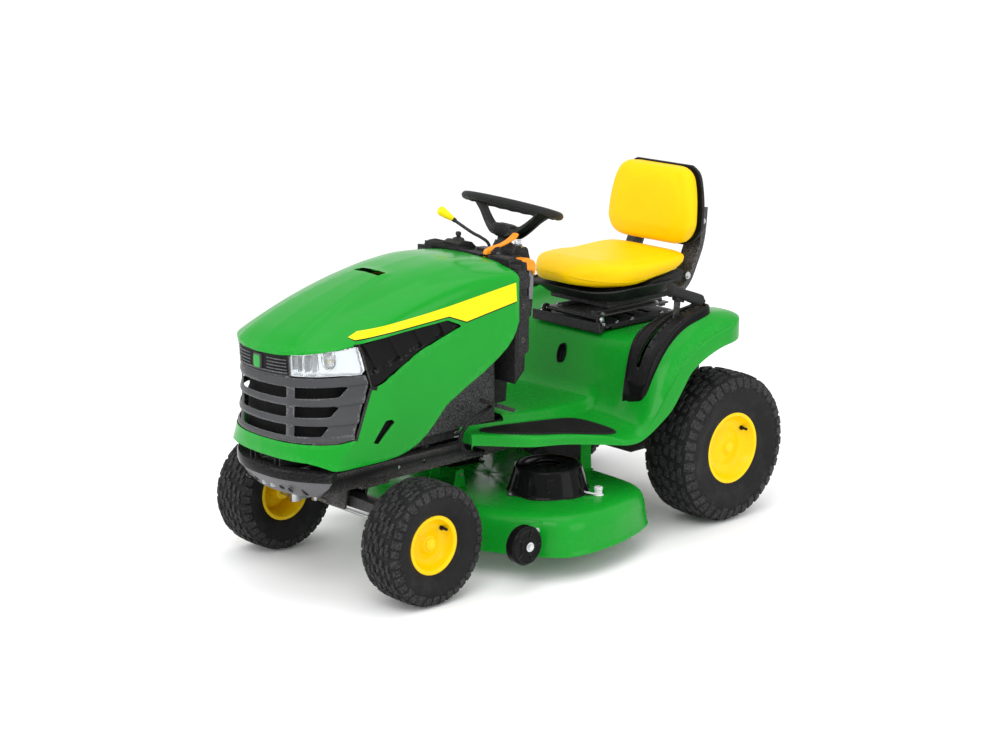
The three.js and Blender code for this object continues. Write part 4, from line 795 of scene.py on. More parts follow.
def rim(name, bead, bhw, hub_in, bore, c, s, body, bolts=False):
    b = bead - 0.6
    prof = [(0.01, bhw - 11), (bore - 2, bhw - 11), (bore + 1, bhw - 13), (24, bhw - 14), (29, bhw - 20), (b * 0.44, bhw - 28), (b * 0.60, bhw - 33), (b * 0.72, bhw - 31), (b * 0.82, bhw - 23), (b * 0.88, bhw - 14), (b - 6, bhw - 2), (b - 3.5, bhw + 3.0), (b + 2, bhw + 4.6), (b + 6, bhw + 4.6), (b + 8.6, bhw + 3.4), (b + 8.6, bhw + 2.4)]
    fine = catmull(prof, 90)
    back = [(b + 4, bhw + 1.6), (b, bhw - 1), (b - 3, bhw - 12), (b - 9, bhw - 22), (b - 9, -bhw + 22), (b - 3, -bhw + 12), (b, -bhw + 1), (b + 6, -bhw - 1.8), (b + 8.6, -bhw - 2.4), (b + 8.6, -bhw - 3.6), (b + 4, -bhw - 4.6), (b - 2, -bhw - 3.6), (b - 6, -bhw + 4), (b - 12, -bhw + 22), (b - 13, bhw - 30), (b * 0.74, bhw - 36), (b * 0.6, bhw - 38), (30, bhw - 33), (26, bhw - 40), (26, -hub_in + 2), (24, -hub_in), (bore + 1, -hub_in), (bore, -hub_in + 1), (bore, bhw - 18), (0.01, bhw - 18)]
    prof = [(r, a * s) for r, a in list(map(tuple, fine)) + back]
    g = G()
    g.add(lathe(prof, "x", c, 96), 0)
    # valve stem in its hole
    ang = math.radians(35)
    rv = b * 0.80
    vy, vz = rv * math.cos(ang), rv * math.sin(ang)
    x0 = c[0] + s * (bhw - 26)
    g.add(rod((x0, c[1] + vy, c[2] + vz), (x0 + s * 6, c[1] + vy, c[2] + vz), 8.5, 20), 1)
    g.add(rod((x0, c[1] + vy, c[2] + vz), (x0 + s * 20, c[1] + vy * 0.985, c[2] + vz * 0.985), 5.4, 16, r2=4.2), 1)
    g.add(rod((x0 + s * 19, c[1] + vy * 0.985, c[2] + vz * 0.985), (x0 + s * 28, c[1] + vy * 0.975, c[2] + vz * 0.975), 4.6, 12), 1)
    # hub cap: a domed cap with a rolled edge
    xh = c[0] + s * (bhw - 13)
    cap = [(0.01, 10.5), (6, 10.2), (12, 9.0), (17, 6.4), (20, 3.2), (21.5, 1.0), (21.5, -2), (0.01, -2)]
    g.add(lathe([(r, a * s) for r, a in cap], "x", (xh, c[1], c[2]), 40), 0)
    # weld flats on the dish
    for k in range(4):
        t = math.radians(45 + 90 * k)
        y, z = c[1] + b * 0.52 * math.cos(t), c[2] + b * 0.52 * math.sin(t)
        g.add(ball((c[0] + s * (bhw - 31.5), y, z), 4.2, 14, 8, sx=0.45), 0)
    return obj(name + "_wheel", g, ["yellow_rim", "cable_black"], body, name, "yellow_paint", angle=40, doubles=0)


for s, n in ((1, "left"), (-1, "right")):
    fc, rc = (s * 364, -1275, 190.5), (s * 390, 0, 254)
    tyre(f"front_tire_{n}", 190.5, 77, 84, 50, fc, s, f"front_wheel_{n}", 18)
    tyre(f"rear_tire_{n}", 254, 100, 113, 80, rc, s, f"rear_wheel_{n}", 20)
    rim(f"front_rim_{n}", 84, 50, 44, 10.4, fc, s, f"front_wheel_{n}")
    rim(f"rear_rim_{n}", 113, 80, 62, 12.9, rc, s, f"rear_wheel_{n}")

# ----------------------------------------------------------------------- hood
CROWN = Pchip(*zip(*[(-1660, 733), (-1600, 780), (-1557, 807), (-1490, 838), (-1400, 873), (-1280, 912), (-1150, 944), (-1040, 962), (-950, 968), (-860, 962), (-770, 950), (-700, 938)]))
DROP = Pchip(*zip(*[(-1660, 66), (-1420, 62), (-1235, 58), (-1080, 54), (-950, 46), (-770, 27), (-700, 22)]))
BOW = Pchip(*zip(*[(0, 0), (70, 8), (125, 28), (172, 61), (206, 102), (228, 148), (242, 192), (256, 250), (300, 420)]))
BOW_K = Pchip(*zip(*[(380, 0.34), (430, 0.40), (517, 0.72), (600, 0.92), (667, 1.0), (800, 0.87), (1000, 0.8)]))
HW = 250.0
_sec = [(0, 0), (0.34, 0.085), (0.64, 0.37), (0.86, 0.76), (0.96, 1.1), (1, 1.6)]
_sl = np.concatenate([[0], np.cumsum([math.hypot((b[0] - a[0]) * 1.0, (b[1] - a[1]) * 0.24) for a, b in zip(_sec, _sec[1:])])])
SEC = Pchip(_sl / _sl[-1], _sec)


def nose_y(x, z):
    front = -1600 + (max(0.0, 517 - z)) * 0.08
    return front + float(BOW_K(z)) * float(BOW(abs(x)))


def bulge(x, y):
    """Raised panel in the middle of the hood, narrowing towards the vent."""
    ax = abs(x)
    wb = np.interp(y, [-1600, -1500, -1330, -1183], [132, 122, 92, 66])
    hgt = 9.0 * float(smooth(-1604, -1520, y)) * (1 - float(smooth(-1183.2, -1120, y)))
    ridge = 1 - float(smooth(wb - 4, wb + 13, ax))
    # broad soft shoulders further out, running back to the cowl
    w2 = np.interp(y, [-1560, -1300, -1000, -770], [190, 165, 150, 150])
    h2 = 3.0 * float(smooth(-1560, -1380, y))
    return hgt * ridge + h2 * (1 - float(smooth(w2 - 3, w2 + 26, ax)))


def crown_pt(u, v, y, off=0.0):
    x = u * HW
    z = float(CROWN(y)) - v * float(DROP(y)) - off + bulge(x, y) * (1.0 if v < 1.2 else 0)
    return x, z


def side_low(y):
    return 420.0


NT, NS, NY = 34, 26, 64
cols = []
for c in range(-NT, NT + 1):
    u, v = SEC(abs(c) / NT)
    cols.append((math.copysign(float(u), c) if c else 0.0, float(v)))
verts, faces = [], []
ts = np.concatenate([np.linspace(0, 0.06, 6), np.linspace(0.06, 1, NY - 5)[1:]])
grid = {}


def vid(key, p):
    if key not in grid:
        grid[key] = len(verts)
        verts.append(p)
    return grid[key]


col_edge = []
for ci, (u, v) in enumerate(cols):
    y = -1600.0
    for _ in range(30):
        x, z = crown_pt(u, v, y)
        y = nose_y(x, z)
    col_edge.append((x, y, z))
    for ti, t in enumerate(ts):
        yy = y + (-770 - y) * t
        x, z = crown_pt(u, v, yy)
        vid(("t", ci, ti), (x, yy, z))
for ci in range(len(cols) - 1):
    for ti in range(len(ts) - 1):
        faces.append((grid[("t", ci, ti)], grid[("t", ci + 1, ti)], grid[("t", ci + 1, ti + 1)], grid[("t", ci, ti + 1)]))
# sides
rows = [i / NS for i in range(NS + 1)]
for s, ci in ((-1, 0), (1, len(cols) - 1)):
    for ri, r in enumerate(rows):
        for ti, t in enumerate(ts):
            ztop_front = col_edge[ci][2]
            zf = side_low(0) + (ztop_front - side_low(0)) * r
            yf = nose_y(250, zf)
            yy = yf + (-770 - yf) * t
            ytop = col_edge[ci][1] + (-770 - col_edge[ci][1]) * t
            ztop = crown_pt(cols[ci][0], cols[ci][1], ytop)[1]
            z = side_low(0) + (ztop - side_low(0)) * r
            # shallow hollow across the flank, as moulded
            x = s * (HW + 2.2 * math.sin(math.pi * min(1, max(0, (z - 470) / 330))) * float(smooth(-1420, -1250, yy)))
            if r == 1.0:
                grid[("s", s, ri, ti)] = grid[("t", ci, ti)]
            else:
                vid(("s", s, ri, ti), (x, yy, z))
    for ri in range(NS):
        for ti in range(len(ts) - 1):
            q = (grid[("s", s, ri, ti)], grid[("s", s, ri + 1, ti)], grid[("s", s, ri + 1, ti + 1)], grid[("s", s, ri, ti + 1)])
            faces.append(q if s < 0 else q[::-1])
# nose face
for ci in range(len(cols)):
    for ri, r in enumerate(rows):
        x, y, z1 = col_edge[ci]
        z = side_low(0) + (z1 - side_low(0)) * r
        if r == 1.0:
            grid[("n", ci, ri)] = grid[("t", ci, 0)]
        elif ci == 0:
            grid[("n", ci, ri)] = grid[("s", -1, ri, 0)]
        elif ci == len(cols) - 1:
            grid[("n", ci, ri)] = grid[("s", 1, ri, 0)]
        else:
            vid(("n", ci, ri), (x, nose_y(x, z), z))
for ci in range(len(cols) - 1):
    for ri in range(NS):
        faces.append((grid[("n", ci, ri)], grid[("n", ci + 1, ri)], grid[("n", ci + 1, ri + 1)], grid[("n", ci, ri + 1)]))

HOOD_BELOW = [(-1700, 300), (-1700, 452), (-1562, 452), (-1540, 444), (-1516, 432), (-1480, 428), (-1400, 427), (-1320, 427), (-1270, 431), (-1230, 440), (-1190, 455), (-1155, 478), (-1120, 510), (-1076, 555), (-1000, 596), (-917, 636), (-860, 668), (-819, 697), (-797, 720), (-783, 742), (-769, 775), (-700, 780), (-700, 300)]
FRONT_OPEN = [(-1700, 766), (-1601, 768), (-1557, 776), (-1500, 786), (-1411, 798), (-1373, 667), (-1433, 513), (-1480, 506), (-1700, 506)]
PANEL_HOLE = rounded([(-1408, 799), (-1368, 669), (-1352, 661), (-1325, 668), (-1180, 742), (-1012, 792), (-1020, 800), (-1068, 820), (-1240, 811)], 5, 3)
SLOT_HOLE = rounded([(-1366, 490), (-1346, 484), (-1282, 540), (-1293, 551), (-1316, 551)], 5, 3)
STRIPE = [(-1438, 827), (-1240, 845), (-1055, 863), (-783, 896), (-780, 836), (-990, 804), (-1061, 831), (-1414, 811)]
STRIPE_EDGE = [(-1438, 827), (-1414, 811), (-1061, 831), (-990, 804), (-780, 836), (-780, 832.5), (-990, 800.0), (-1062, 827.5), (-1416, 807.5)]

bm = bm_of(verts, faces)
imprint(bm, HOOD_BELOW, "x", None, delete_faces(bm))
imprint(bm, FRONT_OPEN, "x", lambda c: c[1] < -1360, delete_faces(bm))
side = lambda c: abs(c[0]) > 215 and c[1] > -1450
imprint(bm, PANEL_HOLE, "x", lambda c: abs(c[0]) > 235, delete_faces(bm))
imprint(bm, SLOT_HOLE, "x", lambda c: abs(c[0]) > 235, delete_faces(bm))
imprint(bm, STRIPE, "x", side, paint(1))
imprint(bm, STRIPE_EDGE, "x", side, paint(2))
imprint(bm, [(-1425, 800), (-1402, 800), (-1362, 669), (-1346, 660), (-1350, 650), (-1368, 655), (-1426, 508), (-1440, 512)], "x", lambda c: abs(c[0]) > 200 and c[2] < 806, paint(3))
imprint(bm, rounded([(-62, -1183), (62, -1183), (58, -1146), (-58, -1146)], 7, 3), "z", lambda c: c[2] > 880, delete_faces(bm))
orient(bm, (0, 0, 1))
hood = from_bm("hood_skin", bm, ["green_gloss", "stripe_yellow", "stripe_border", "black_plastic"], "hood", replaces="hood_shell", slot="green_plastic", solid=(4.5, -1), bevel=1.3, segs=2, bang=38, angle=34)

# inner tray under the vent, return flange at the rear edge, slot pockets
g = G()
g.add(block(-74, 74, -1210, -1132, 892, 897))
g.add(block(-74, 74, -1213, -1209, 892, 930))
for i in range(5):
    g.add(block(-60 + i * 28, -57 + i * 28, -1208, -1136, 897, 906))
for s in (1, -1):
    # pocket behind the lower side slot
    pk = [(-1372, 484), (-1344, 476), (-1274, 540), (-1288, 558), (-1322, 558)]
    g.add(prism(pk, "x", s * 232, s * 237))
    # inner frame behind the faceted panel
    g.add(prism([(-1406, 806), (-1362, 662), (-1320, 660), (-1000, 786), (-1000, 800), (-1066, 826), (-1240, 816)], "x", s * 233, s * 236))
obj("hood_vent_tray", g, "mesh_black", "hood", bevel=0.8)

# bonnet trim along the rear edge: a thin rubber seal
seal = []
for c in range(-20, 21):
    u, v = SEC(abs(c) / 20)
    x, z = crown_pt(math.copysign(float(u), c) if c else 0.0, float(v), -772)
    seal.append((x * 0.975, -771, z - 7))
obj("hood_seal", tube(seal, 3.0, 8, 90), "mat_rubber", "hood")

# ---------------------------------------------------------------- nose pieces
def nose_patch(x0, x1, z0, z1, nx, nz, off=0.0, fn=None):
    """A grid on the nose surface, moved in along its normal by off, with fn(x, z) adding depth."""
    v, f = [], []
    for i in range(nx + 1):
        for j in range(nz + 1):
            x = x0 + (x1 - x0) * i / nx
            z = z0 + (z1 - z0) * j / nz
            y = nose_y(x, z)
            e = 0.8
            dy = (nose_y(x + e, z) - nose_y(x - e, z)) / (2 * e)
            nrm = np.array([-dy, 1.0]) / math.hypot(dy, 1)
            o = off + (fn(x, z) if fn else 0.0)
            v.append((x + nrm[0] * o, y + nrm[1] * o, z))
    for i in range(nx):
        for j in range(nz):
            a = i * (nz + 1) + j
            f.append((a, a + nz + 1, a + nz + 2, a + 1))
    return v, f


# side skin as a grid too, so that lamps and panels can wrap on to the flank
def wrap_patch(s0, s1, z0, z1, ns, nz, off=0.0, fn=None):
    """Grid round the nose and on to both flanks; s runs along the plan outline from the middle."""
    path = [(x, 0.0) for x in np.linspace(0, 249.9, 90)]
    v, f = [], []
    zs = np.linspace(z0, z1, nz + 1)
    ss = np.linspace(s0, s1, ns + 1)
    for s in ss:
        for z in zs:
            sg = 1 if s >= 0 else -1
            q = abs(s)
            pl = PLAN[min(len(PLAN) - 1, max(0, int(round((z - 420) / 5))))]
            x = np.interp(q, pl[:, 2], pl[:, 0])
            y = np.interp(q, pl[:, 2], pl[:, 1])
            q2 = q + 2
            dx, dy = np.interp(q2, pl[:, 2], pl[:, 0]) - x, np.interp(q2, pl[:, 2], pl[:, 1]) - y
            l = math.hypot(dx, dy) or 1
            n = (-dy / l, dx / l)     # inwards
            o = off + (fn(sg * x, y, z) if fn else 0.0)
            v.append((sg * (x + n[0] * o), y + n[1] * o, z))
    for i in range(ns):
        for j in range(nz):
            a = i * (nz + 1) + j
            f.append((a, a + nz + 1, a + nz + 2, a + 1))
    return v, f


PLAN = []
for z in range(420, 905, 5):
    pts = [(x, nose_y(x, z)) for x in np.linspace(0, 250, 110)]
    yl = pts[-1][1]
    pts += [(250, yl + d) for d in range(8, 420, 8)]
    pts = np.array(pts)
    L = np.concatenate([[0], np.cumsum(np.hypot(*np.diff(pts, axis=0).T))])
    PLAN.append(np.column_stack([pts, L]))

FRONT_FILL = [(-1700, 764), (-1601, 765.5), (-1557, 773.5), (-1500, 783.5), (-1413, 795), (-1376.5, 667), (-1436, 515), (-1480, 508.5), (-1700, 508.5)]
SLOT_ROWS = [(527, 560), (584, 617), (641, 675)]


def slat(x, y, z):
    """Each slat stands proud along its lower edge and falls back to its top."""
    ax = abs(x)
    if z > 708 or z < 512:
        return 2.0
    centres = [(512, 527), (560, 584), (617, 641), (675, 702)]
    d = 6.0
    for a, b in centres:
        if a <= z <= b:
            t = (z - a) / (b - a)
            d = 0.5 + 3.2 * abs(t - 0.35) / 0.65
    if 108 < ax < 128:
        d = min(d, 1.0 + 0.25 * abs(ax - 118))
    return d


bm = bm_of(*wrap_patch(-470, 470, 500, 800, 150, 118, 1.0, slat))
imprint(bm, FRONT_FILL, "x", None, keep_only(bm))
lampbox = [(119, 704), (119, 760), (127, 900), (320, 900), (320, 703)]
for s in (1, -1):
    imprint(bm, [(s * x, z) for x, z in lampbox], "y", lambda c: c[1] < -1300, delete_faces(bm))
for (z0, z1) in SLOT_ROWS:
    w = 106 if z0 > 600 else 104
    imprint(bm, rounded([(-w, z0), (w, z0), (w, z1), (-w, z1)], 6, 3), "y", lambda c: c[1] < -1500, delete_faces(bm))
    for s in (1, -1):
        lim = {527: 208, 584: 218, 641: 226}[z0]
        q = rounded([(s * 129, z0), (s * (lim - 10), z0 + 2), (s * lim, z1 - 4), (s * (lim - 6), z1), (s * 129, z1)], 4, 3)
        imprint(bm, q, "y", lambda c: c[1] < -1395, delete_faces(bm))
imprint(bm, [(-117, 708), (117, 708), (117, 780), (-117, 780)], "y", lambda c: c[1] < -1500, paint(1))
orient(bm, (0, -1, 0))
from_bm("grille_face", bm, ["grille_grey", "black_plastic"], "hood", replaces="grille", slot="grey_plastic", solid=(24, -1), bevel=1.6, segs=2, bang=42, angle=36)

# screen behind the grille
g = G()
g.add(wrap_patch(-468, 468, 506, 714, 80, 20, 30))
scr = obj("grille_screen", g, "mesh_black", "hood", solid=(2, -1))
# ribs of the upper band, and a plain badge in the middle
g = G()
for z in (726, 736, 746, 756):
    for sg in (1, -1):
        pl = [(sg * x, nose_y(x, z) + 1.2, z) for x in np.linspace(40, 112, 9)]
        g.add(tube(pl, 1.9, 8, 18), 0)
# raised edge of the upper band
for z in (717,):
    pl = [(x, nose_y(x, z) + 0.8, z) for x in np.linspace(-114, 114, 19)]
    g.add(tube(pl, 2.4, 8, 50), 0)
obj("grille_ribs", g, "grille_grey", "hood")
bo = rounded([(-15, 716), (15, 716), (18, 724), (18, 754), (14, 762), (-14, 762), (-18, 754), (-18, 724)], 8, 4)


def on_nose(pts, o):
    return [(x, nose_y(x, z) - o, z) for x, z in pts]


def shrink(pts, k, cx=0, cz=739):
    return [(cx + (x - cx) * k, cz + (z - cz) * k) for x, z in pts]


g = G()
g.add(loft([on_nose(bo, -3), on_nose(bo, 3.0), on_nose(shrink(bo, 0.95), 4.2)]), 0)
g.add(loft([on_nose(shrink(bo, 0.84), 3.5), on_nose(shrink(bo, 0.80), 5.0)]), 1)
obj("badge_blank", g, ["grille_grey", "badge_green"], "hood", bevel=0.5)

# head lamps: clear outer lens, bright bowl, reflector dish and bulb, dark surround
for s, n in ((1, "left"), (-1, "right")):
    LAMP = [(122.5, 710), (122.5, 758), (128, 900), (320, 900), (320, 706.5), (233, 707), (222, 710)]

    def lamp_patch(off, fn=None):
        b = bm_of(*wrap_patch(s * 110, s * 420, 700, 800, 60, 26, off, fn))
        imprint(b, [(-1700, 763), (-1601, 764.5), (-1557, 772.5), (-1500, 782), (-1420, 791), (-1398, 716), (-1406, 690), (-1700, 690)], "x", None, keep_only(b))
        imprint(b, [(s * x, z) for x, z in LAMP], "y", None, keep_only(b))
        return b
    b = lamp_patch(1.2)
    orient(b, (0, -1, 0))
    from_bm(f"headlight_lens_{n}", b, "lens", "hood", replaces=f"headlight_{n}", slot="lens", solid=(2.6, -1), bevel=0.8, segs=2, bang=40)
    # bowl behind the lens: its walls and floor
    b = lamp_patch(6.0)
    orient(b, (0, -1, 0))
    top = list(b.faces)
    ex = bmesh.ops.extrude_face_region(b, geom=top)
    vs = [e for e in ex["geom"] if isinstance(e, bmesh.types.BMVert)]
    for vv in vs:
        c = to_mm(vv.co)
        ax = abs(c[0])
        depth = 26 - 9 * float(smooth(205, 240, ax))
        sc = 0.94
        vv.co.y += depth / 1000
        vv.co.x = OX + s * (180 + (ax - 180) * sc) / 1000
        vv.co.z = (752 + (c[2] - 752) * sc) / 1000
    bmesh.ops.delete(b, geom=[f for f in b.faces if f in set(top)], context="FACES_ONLY")
    from_bm(f"headlight_bowl_{n}", b, "reflector", "hood", solid=(1.5, 1), angle=30)
    g = G()
    # stepped ribs across the bowl
    for k in range(3):
        x = 140 + 18 * k
        yb = nose_y(x, 750) + 22
        g.add(block(s * x - 1.2, s * x + 1.2, yb - 12, yb + 4, 722, 768 + k * 4), 0)
    zc, xc = 755, 206
    yc = nose_y(xc, zc) + 24
    dirv = np.array([s * 0.35, -0.93, 0.05])
    dirv /= np.linalg.norm(dirv)
    ctr = np.array([s * xc, yc, zc])
    for r0, r1, t0, t1, m in ((15, 24, 0, 15, 1), (24, 25.5, 13, 16, 0), (19, 20, 9, 12, 0)):
        u = np.cross(dirv, [0, 0, 1.0])
        u /= np.linalg.norm(u)
        w = np.cross(u, dirv)
        ring = lambda r, t: [ctr + dirv * t + r * (math.cos(2 * math.pi * q / 28) * u + math.sin(2 * math.pi * q / 28) * w) for q in range(28)]
        g.add(loft([ring(r0, t0), ring(r1, t1), ring(r1 - 1.0, t1), ring(r0 - 1.0, t0 + 1)], caps=False), m)
    g.add(rod(ctr, ctr + dirv * 1.5, 15, 24), 1)
    g.add(rod(ctr, ctr + dirv * 13, 5.5, 16, r2=4.5), 2)
    # small side marker insert
    x = 150
    yb = nose_y(x, 748) + 17
    g.add(plate([(s * (x - 22), 727), (s * (x + 22), 727), (s * (x + 26), 766), (s * (x - 20), 760)], "y", yb + 8, yb + 12, 1.0), 0)
    obj(f"headlight_reflector_{n}", g, ["lamp_inner", "reflector", "bulb"], "hood", angle=30)
    # faceted dark panel behind the lamp
    PF = [(-1404, 795), (-1365, 672), (-1352, 664.5), (-1328, 671), (-1180, 745), (-1018, 793.5), (-1068, 816.5), (-1240, 807.5)]
    b = bmesh.new()
    ny, nz = 110, 44
    gr = {}
    for i in range(ny + 1):
        for j in range(nz + 1):
            y = -1412 + 402 * i / ny
            z = 660 + 162 * j / nz
            # louvre facets: planes that fall inwards towards the rear, parted by slanting folds
            q = (y + 1412) * 0.86 + (z - 660) * 0.52
            lane = z < 700 + (y + 1380) * 0.26
            if lane:
                d = 2.0 + 3.0 * ((q % 160) / 160)
            else:
                ph = (q % 88) / 88
                d = 2.0 + 11.0 * ph if ph < 0.93 else 2.0 + 11.0 * (1 - ph) / 0.07
            edge = min(1.0, max(0.0, 1.0))
            x = (HW + 2.2 * math.sin(math.pi * min(1, max(0, (z - 470) / 330))) * float(smooth(-1420, -1250, y))) - 0.8 - d * edge
            front = nose_y(x, z) + 1.0
            gr[i, j] = b.verts.new(P(s * x, y, z))
    for i in range(ny):
        for j in range(nz):
            b.faces.new((gr[i, j], gr[i + 1, j], gr[i + 1, j + 1], gr[i, j + 1]))
    imprint(b, PF, "x", None, keep_only(b))
    orient(b, (s, 0, 0))
    from_bm(f"side_panel_face_{n}", b, "black_gloss", "hood", replaces=f"side_panel_{n}", slot="gloss_black", solid=(5, -1), bevel=0.7, segs=2, bang=30, angle=22)


# --------------------------------------------------------- footrest and fenders
PAN_X = [0, 165, 200, 285, 335, 395, 440, 462, 472]
PAN_ROWS = [
    [(-962, 470), (-850, 462), (-700, 450), (-560, 438), (-455, 432), (-392, 438), (-360, 462), (-347, 510), (-333, 570), (-316, 618), (-284, 643), (-200, 648), (-50, 648), (70, 648), (118, 636), (134, 600)],
    [(-962, 468), (-850, 460), (-700, 448), (-560, 436), (-455, 430), (-392, 436), (-360, 462), (-347, 510), (-333, 570), (-316, 618), (-284, 643), (-200, 648), (-50, 648), (70, 648), (118, 636), (134, 600)],
    [(-962, 440), (-850, 432), (-700, 418), (-560, 405), (-455, 398), (-394, 408), (-362, 446), (-348, 504), (-334, 568), (-316, 617), (-284, 643), (-200, 650), (-50, 652), (70, 650), (118, 636), (134, 598)],
    [(-962, 438), (-850, 430), (-700, 416), (-560, 403), (-455, 395), (-396, 405), (-364, 444), (-349, 502), (-334, 568), (-314, 620), (-278, 650), (-195, 664), (-50, 672), (60, 668), (112, 648), (130, 606)],
    [(-962, 437), (-850, 429), (-700, 414), (-560, 400), (-458, 393), (-404, 403), (-372, 444), (-352, 502), (-330, 566), (-300, 622), (-250, 664), (-175, 696), (-55, 713), (48, 706), (104, 676), (124, 628)],
    [(-962, 436), (-850, 428), (-700, 412), (-560, 398), (-462, 391), (-412, 402), (-380, 440), (-354, 496), (-324, 556), (-282, 612), (-228, 658), (-158, 694), (-52, 714), (46, 706), (100, 678), (120, 640)],
    [(-962, 432), (-850, 424), (-700, 408), (-560, 394), (-466, 387), (-418, 398), (-384, 432), (-352, 482), (-316, 538), (-270, 592), (-214, 638), (-148, 674), (-50, 696), (40, 692), (92, 670), (112, 644)],
    [(-962, 424), (-850, 416), (-700, 398), (-560, 384), (-468, 378), (-420, 388), (-384, 418), (-348, 462), (-308, 514), (-260, 566), (-204, 612), (-140, 646), (-48, 668), (36, 668), (84, 654), (104, 636)],
    [(-962, 410), (-850, 400), (-700, 384), (-560, 372), (-470, 366), (-420, 374), (-382, 400), (-342, 440), (-300, 490), (-250, 540), (-196, 584), (-136, 616), (-46, 640), (34, 644), (80, 638), (100, 630)],
]
_dense = np.array([catmull(r, 220) for r in PAN_ROWS])          # stations x run x (y, z)
_sheet = Pchip(PAN_X, _dense.reshape(len(PAN_X), -1))
_yy = np.arange(-962, 136, 3.0)
_xx = np.arange(0, 473, 4.0)
_Z = np.zeros((len(_xx), len(_yy)))
for i, x in enumerate(_xx):
    r = _sheet(x).reshape(-1, 2)
    _Z[i] = np.interp(_yy, r[:, 0], r[:, 1])


def pan_z(x, y):
    x = min(abs(x), 471.9)
    i = min(int(x / 4.0), len(_xx) - 2)
    t = x / 4.0 - i
    a = np.interp(y, _yy, _Z[i])
    b = np.interp(y, _yy, _Z[i + 1])
    return a * (1 - t) + b * t


def pan_n(x, y):
    dx = (pan_z(x + 4, y) - pan_z(x - 4, y)) / 8
    dy = (pan_z(x, y + 4) - pan_z(x, y - 4)) / 8
    n = np.array([-dx, -dy, 1.0])
    return n / np.linalg.norm(n)


OUT = catmull([(246, -958), (290, -900), (330, -850), (357, -798), (378, -690), (420, -600), (460, -532), (472, -490), (474, -300), (474, -60), (468, 0), (446, 48), (404, 78), (300, 92)], 160)
PAN_LOW = [(-1000, 404), (-958, 402), (-850, 394), (-700, 382), (-560, 368), (-470, 360), (-418, 372), (-360, 402), (-300, 442), (-250, 502), (-208, 552), (-140, 588), (-60, 612), (20, 620), (60, 624), (140, 596)]
_pl = np.array(catmull(PAN_LOW, 120))


def low_z(y):
    return float(np.interp(y, _pl[:, 0], _pl[:, 1]))


def out_x(y):
    # plan half width at y
    i = np.argsort(OUT[:, 1])
    return float(np.interp(y, OUT[i, 1], OUT[i, 0]))


run = np.concatenate([np.arange(0, 82, 2.0), np.arange(82, 150, 1.2), np.arange(150, 219.1, 1.6)])
rows_y = []
yy_list = np.concatenate([np.linspace(-957.9, -470, 48), np.linspace(-462, -270, 60), np.linspace(-262, 30, 44), np.linspace(34, 91.8, 22)])
RND = 11.0
NXC = 46
v, f = [], []
ring_n = None
for y in yy_list:
    X = out_x(y)
    ring = []
    for k in range(NXC + 1):
        fr = k / NXC
        x = (X - RND) * fr
        ring.append((x, y, pan_z(x, y)))
    ze = pan_z(X - RND, y)
    slope = (pan_z(X - RND, y) - pan_z(X - RND - 6, y)) / 6
    a0 = math.atan(-slope)
    for k in range(1, 6):
        t = a0 + (math.pi / 2 - a0) * k / 5
        ring.append((X - RND + RND * (math.sin(t) - math.sin(a0)) / (1 - math.sin(a0) + 1e-6), y, ze - RND * (math.cos(a0) - math.cos(t))))
    zt = ring[-1][2]
    zl = min(low_z(y), zt - 6)
    for k in range(1, 6):
        ring.append((X, y, zt + (zl - zt) * k / 5))
    full = [(-x, yv, z) for x, yv, z in ring[:0:-1]] + ring
    ring_n = len(full)
    v += full
for i in range(len(yy_list) - 1):
    for k in range(ring_n - 1):
        a = i * ring_n + k
        f.append((a, a + 1, a + ring_n + 1, a + ring_n))
# front lip and rear roll
def lip(base_i, dy):
    n0 = len(v)
    base = v[base_i:base_i + ring_n]
    prev = list(range(base_i, base_i + ring_n))
    for t in (0.25, 0.5, 0.75, 1.0):
        q = math.pi / 2 * t
        cur = []
        for x, y, z in base:
            cur.append(len(v))
            v.append((x, y + dy * 8 * math.sin(q), z - 8 * (1 - math.cos(q))))
        for k in range(ring_n - 1):
            f.append((prev[k], prev[k + 1], cur[k + 1], cur[k]))
        prev = cur
    cur = []
    for k in range(ring_n):
        x, y, z = v[prev[k]]
        cur.append(len(v))
        v.append((x, y, max(min(z - 24, low_z(y) + 4), min(z - 3, low_z(y)))))
    for k in range(ring_n - 1):
        f.append((prev[k], prev[k + 1], cur[k + 1], cur[k]))


lip(0, -1)
lip((len(yy_list) - 1) * ring_n, 1)
bm = bm_of(v, f)
# engine bay, grip slot, lever slot, filler neck
imprint(bm, rounded([(-186, -1100), (186, -1100), (186, -772), (-186, -772)], 10, 4), "z", None, delete_faces(bm))
grip = rounded([(-13, 522), (-19, 545), (-13, 577), (11, 585), (19, 561), (14, 528)], 13, 5)
imprint(bm, grip, "y", lambda c: -400 < c[1] < -300, delete_faces(bm))
imprint(bm, [(-215 + 35 * math.cos(t), 30 + 35 * math.sin(t)) for t in np.linspace(0, 2 * math.pi, 33)[:-1]], "z", lambda c: c[2] > 600, delete_faces(bm))
imprint(bm, rounded([(339, -334), (361, -334), (361, -64), (339, -64)], 6, 3), "z", lambda c: c[2] > 440, delete_faces(bm))
orient(bm, (0, 0, 1))
from_bm("fender_skin", bm, "green_paint", "chassis", replaces="fender_pan", slot="green_paint", solid=(4, -1), bevel=1.0, segs=2, bang=45, angle=38)

# black liner of the grip slot
g = G()
go = [(x * 1.0, z) for x, z in grip]


def wall_y(x, z):
    """Front wall of the seat deck at height z."""
    ys = np.linspace(-400, -300, 60)
    zs = [pan_z(x, y) for y in ys]
    return float(np.interp(z, zs, ys))


def liner(k, dy):
    cx, cz = 0, 553
    return [(cx + (x - cx) * k, wall_y(0, z) + dy, cz + (z - cz) * k) for x, z in go]


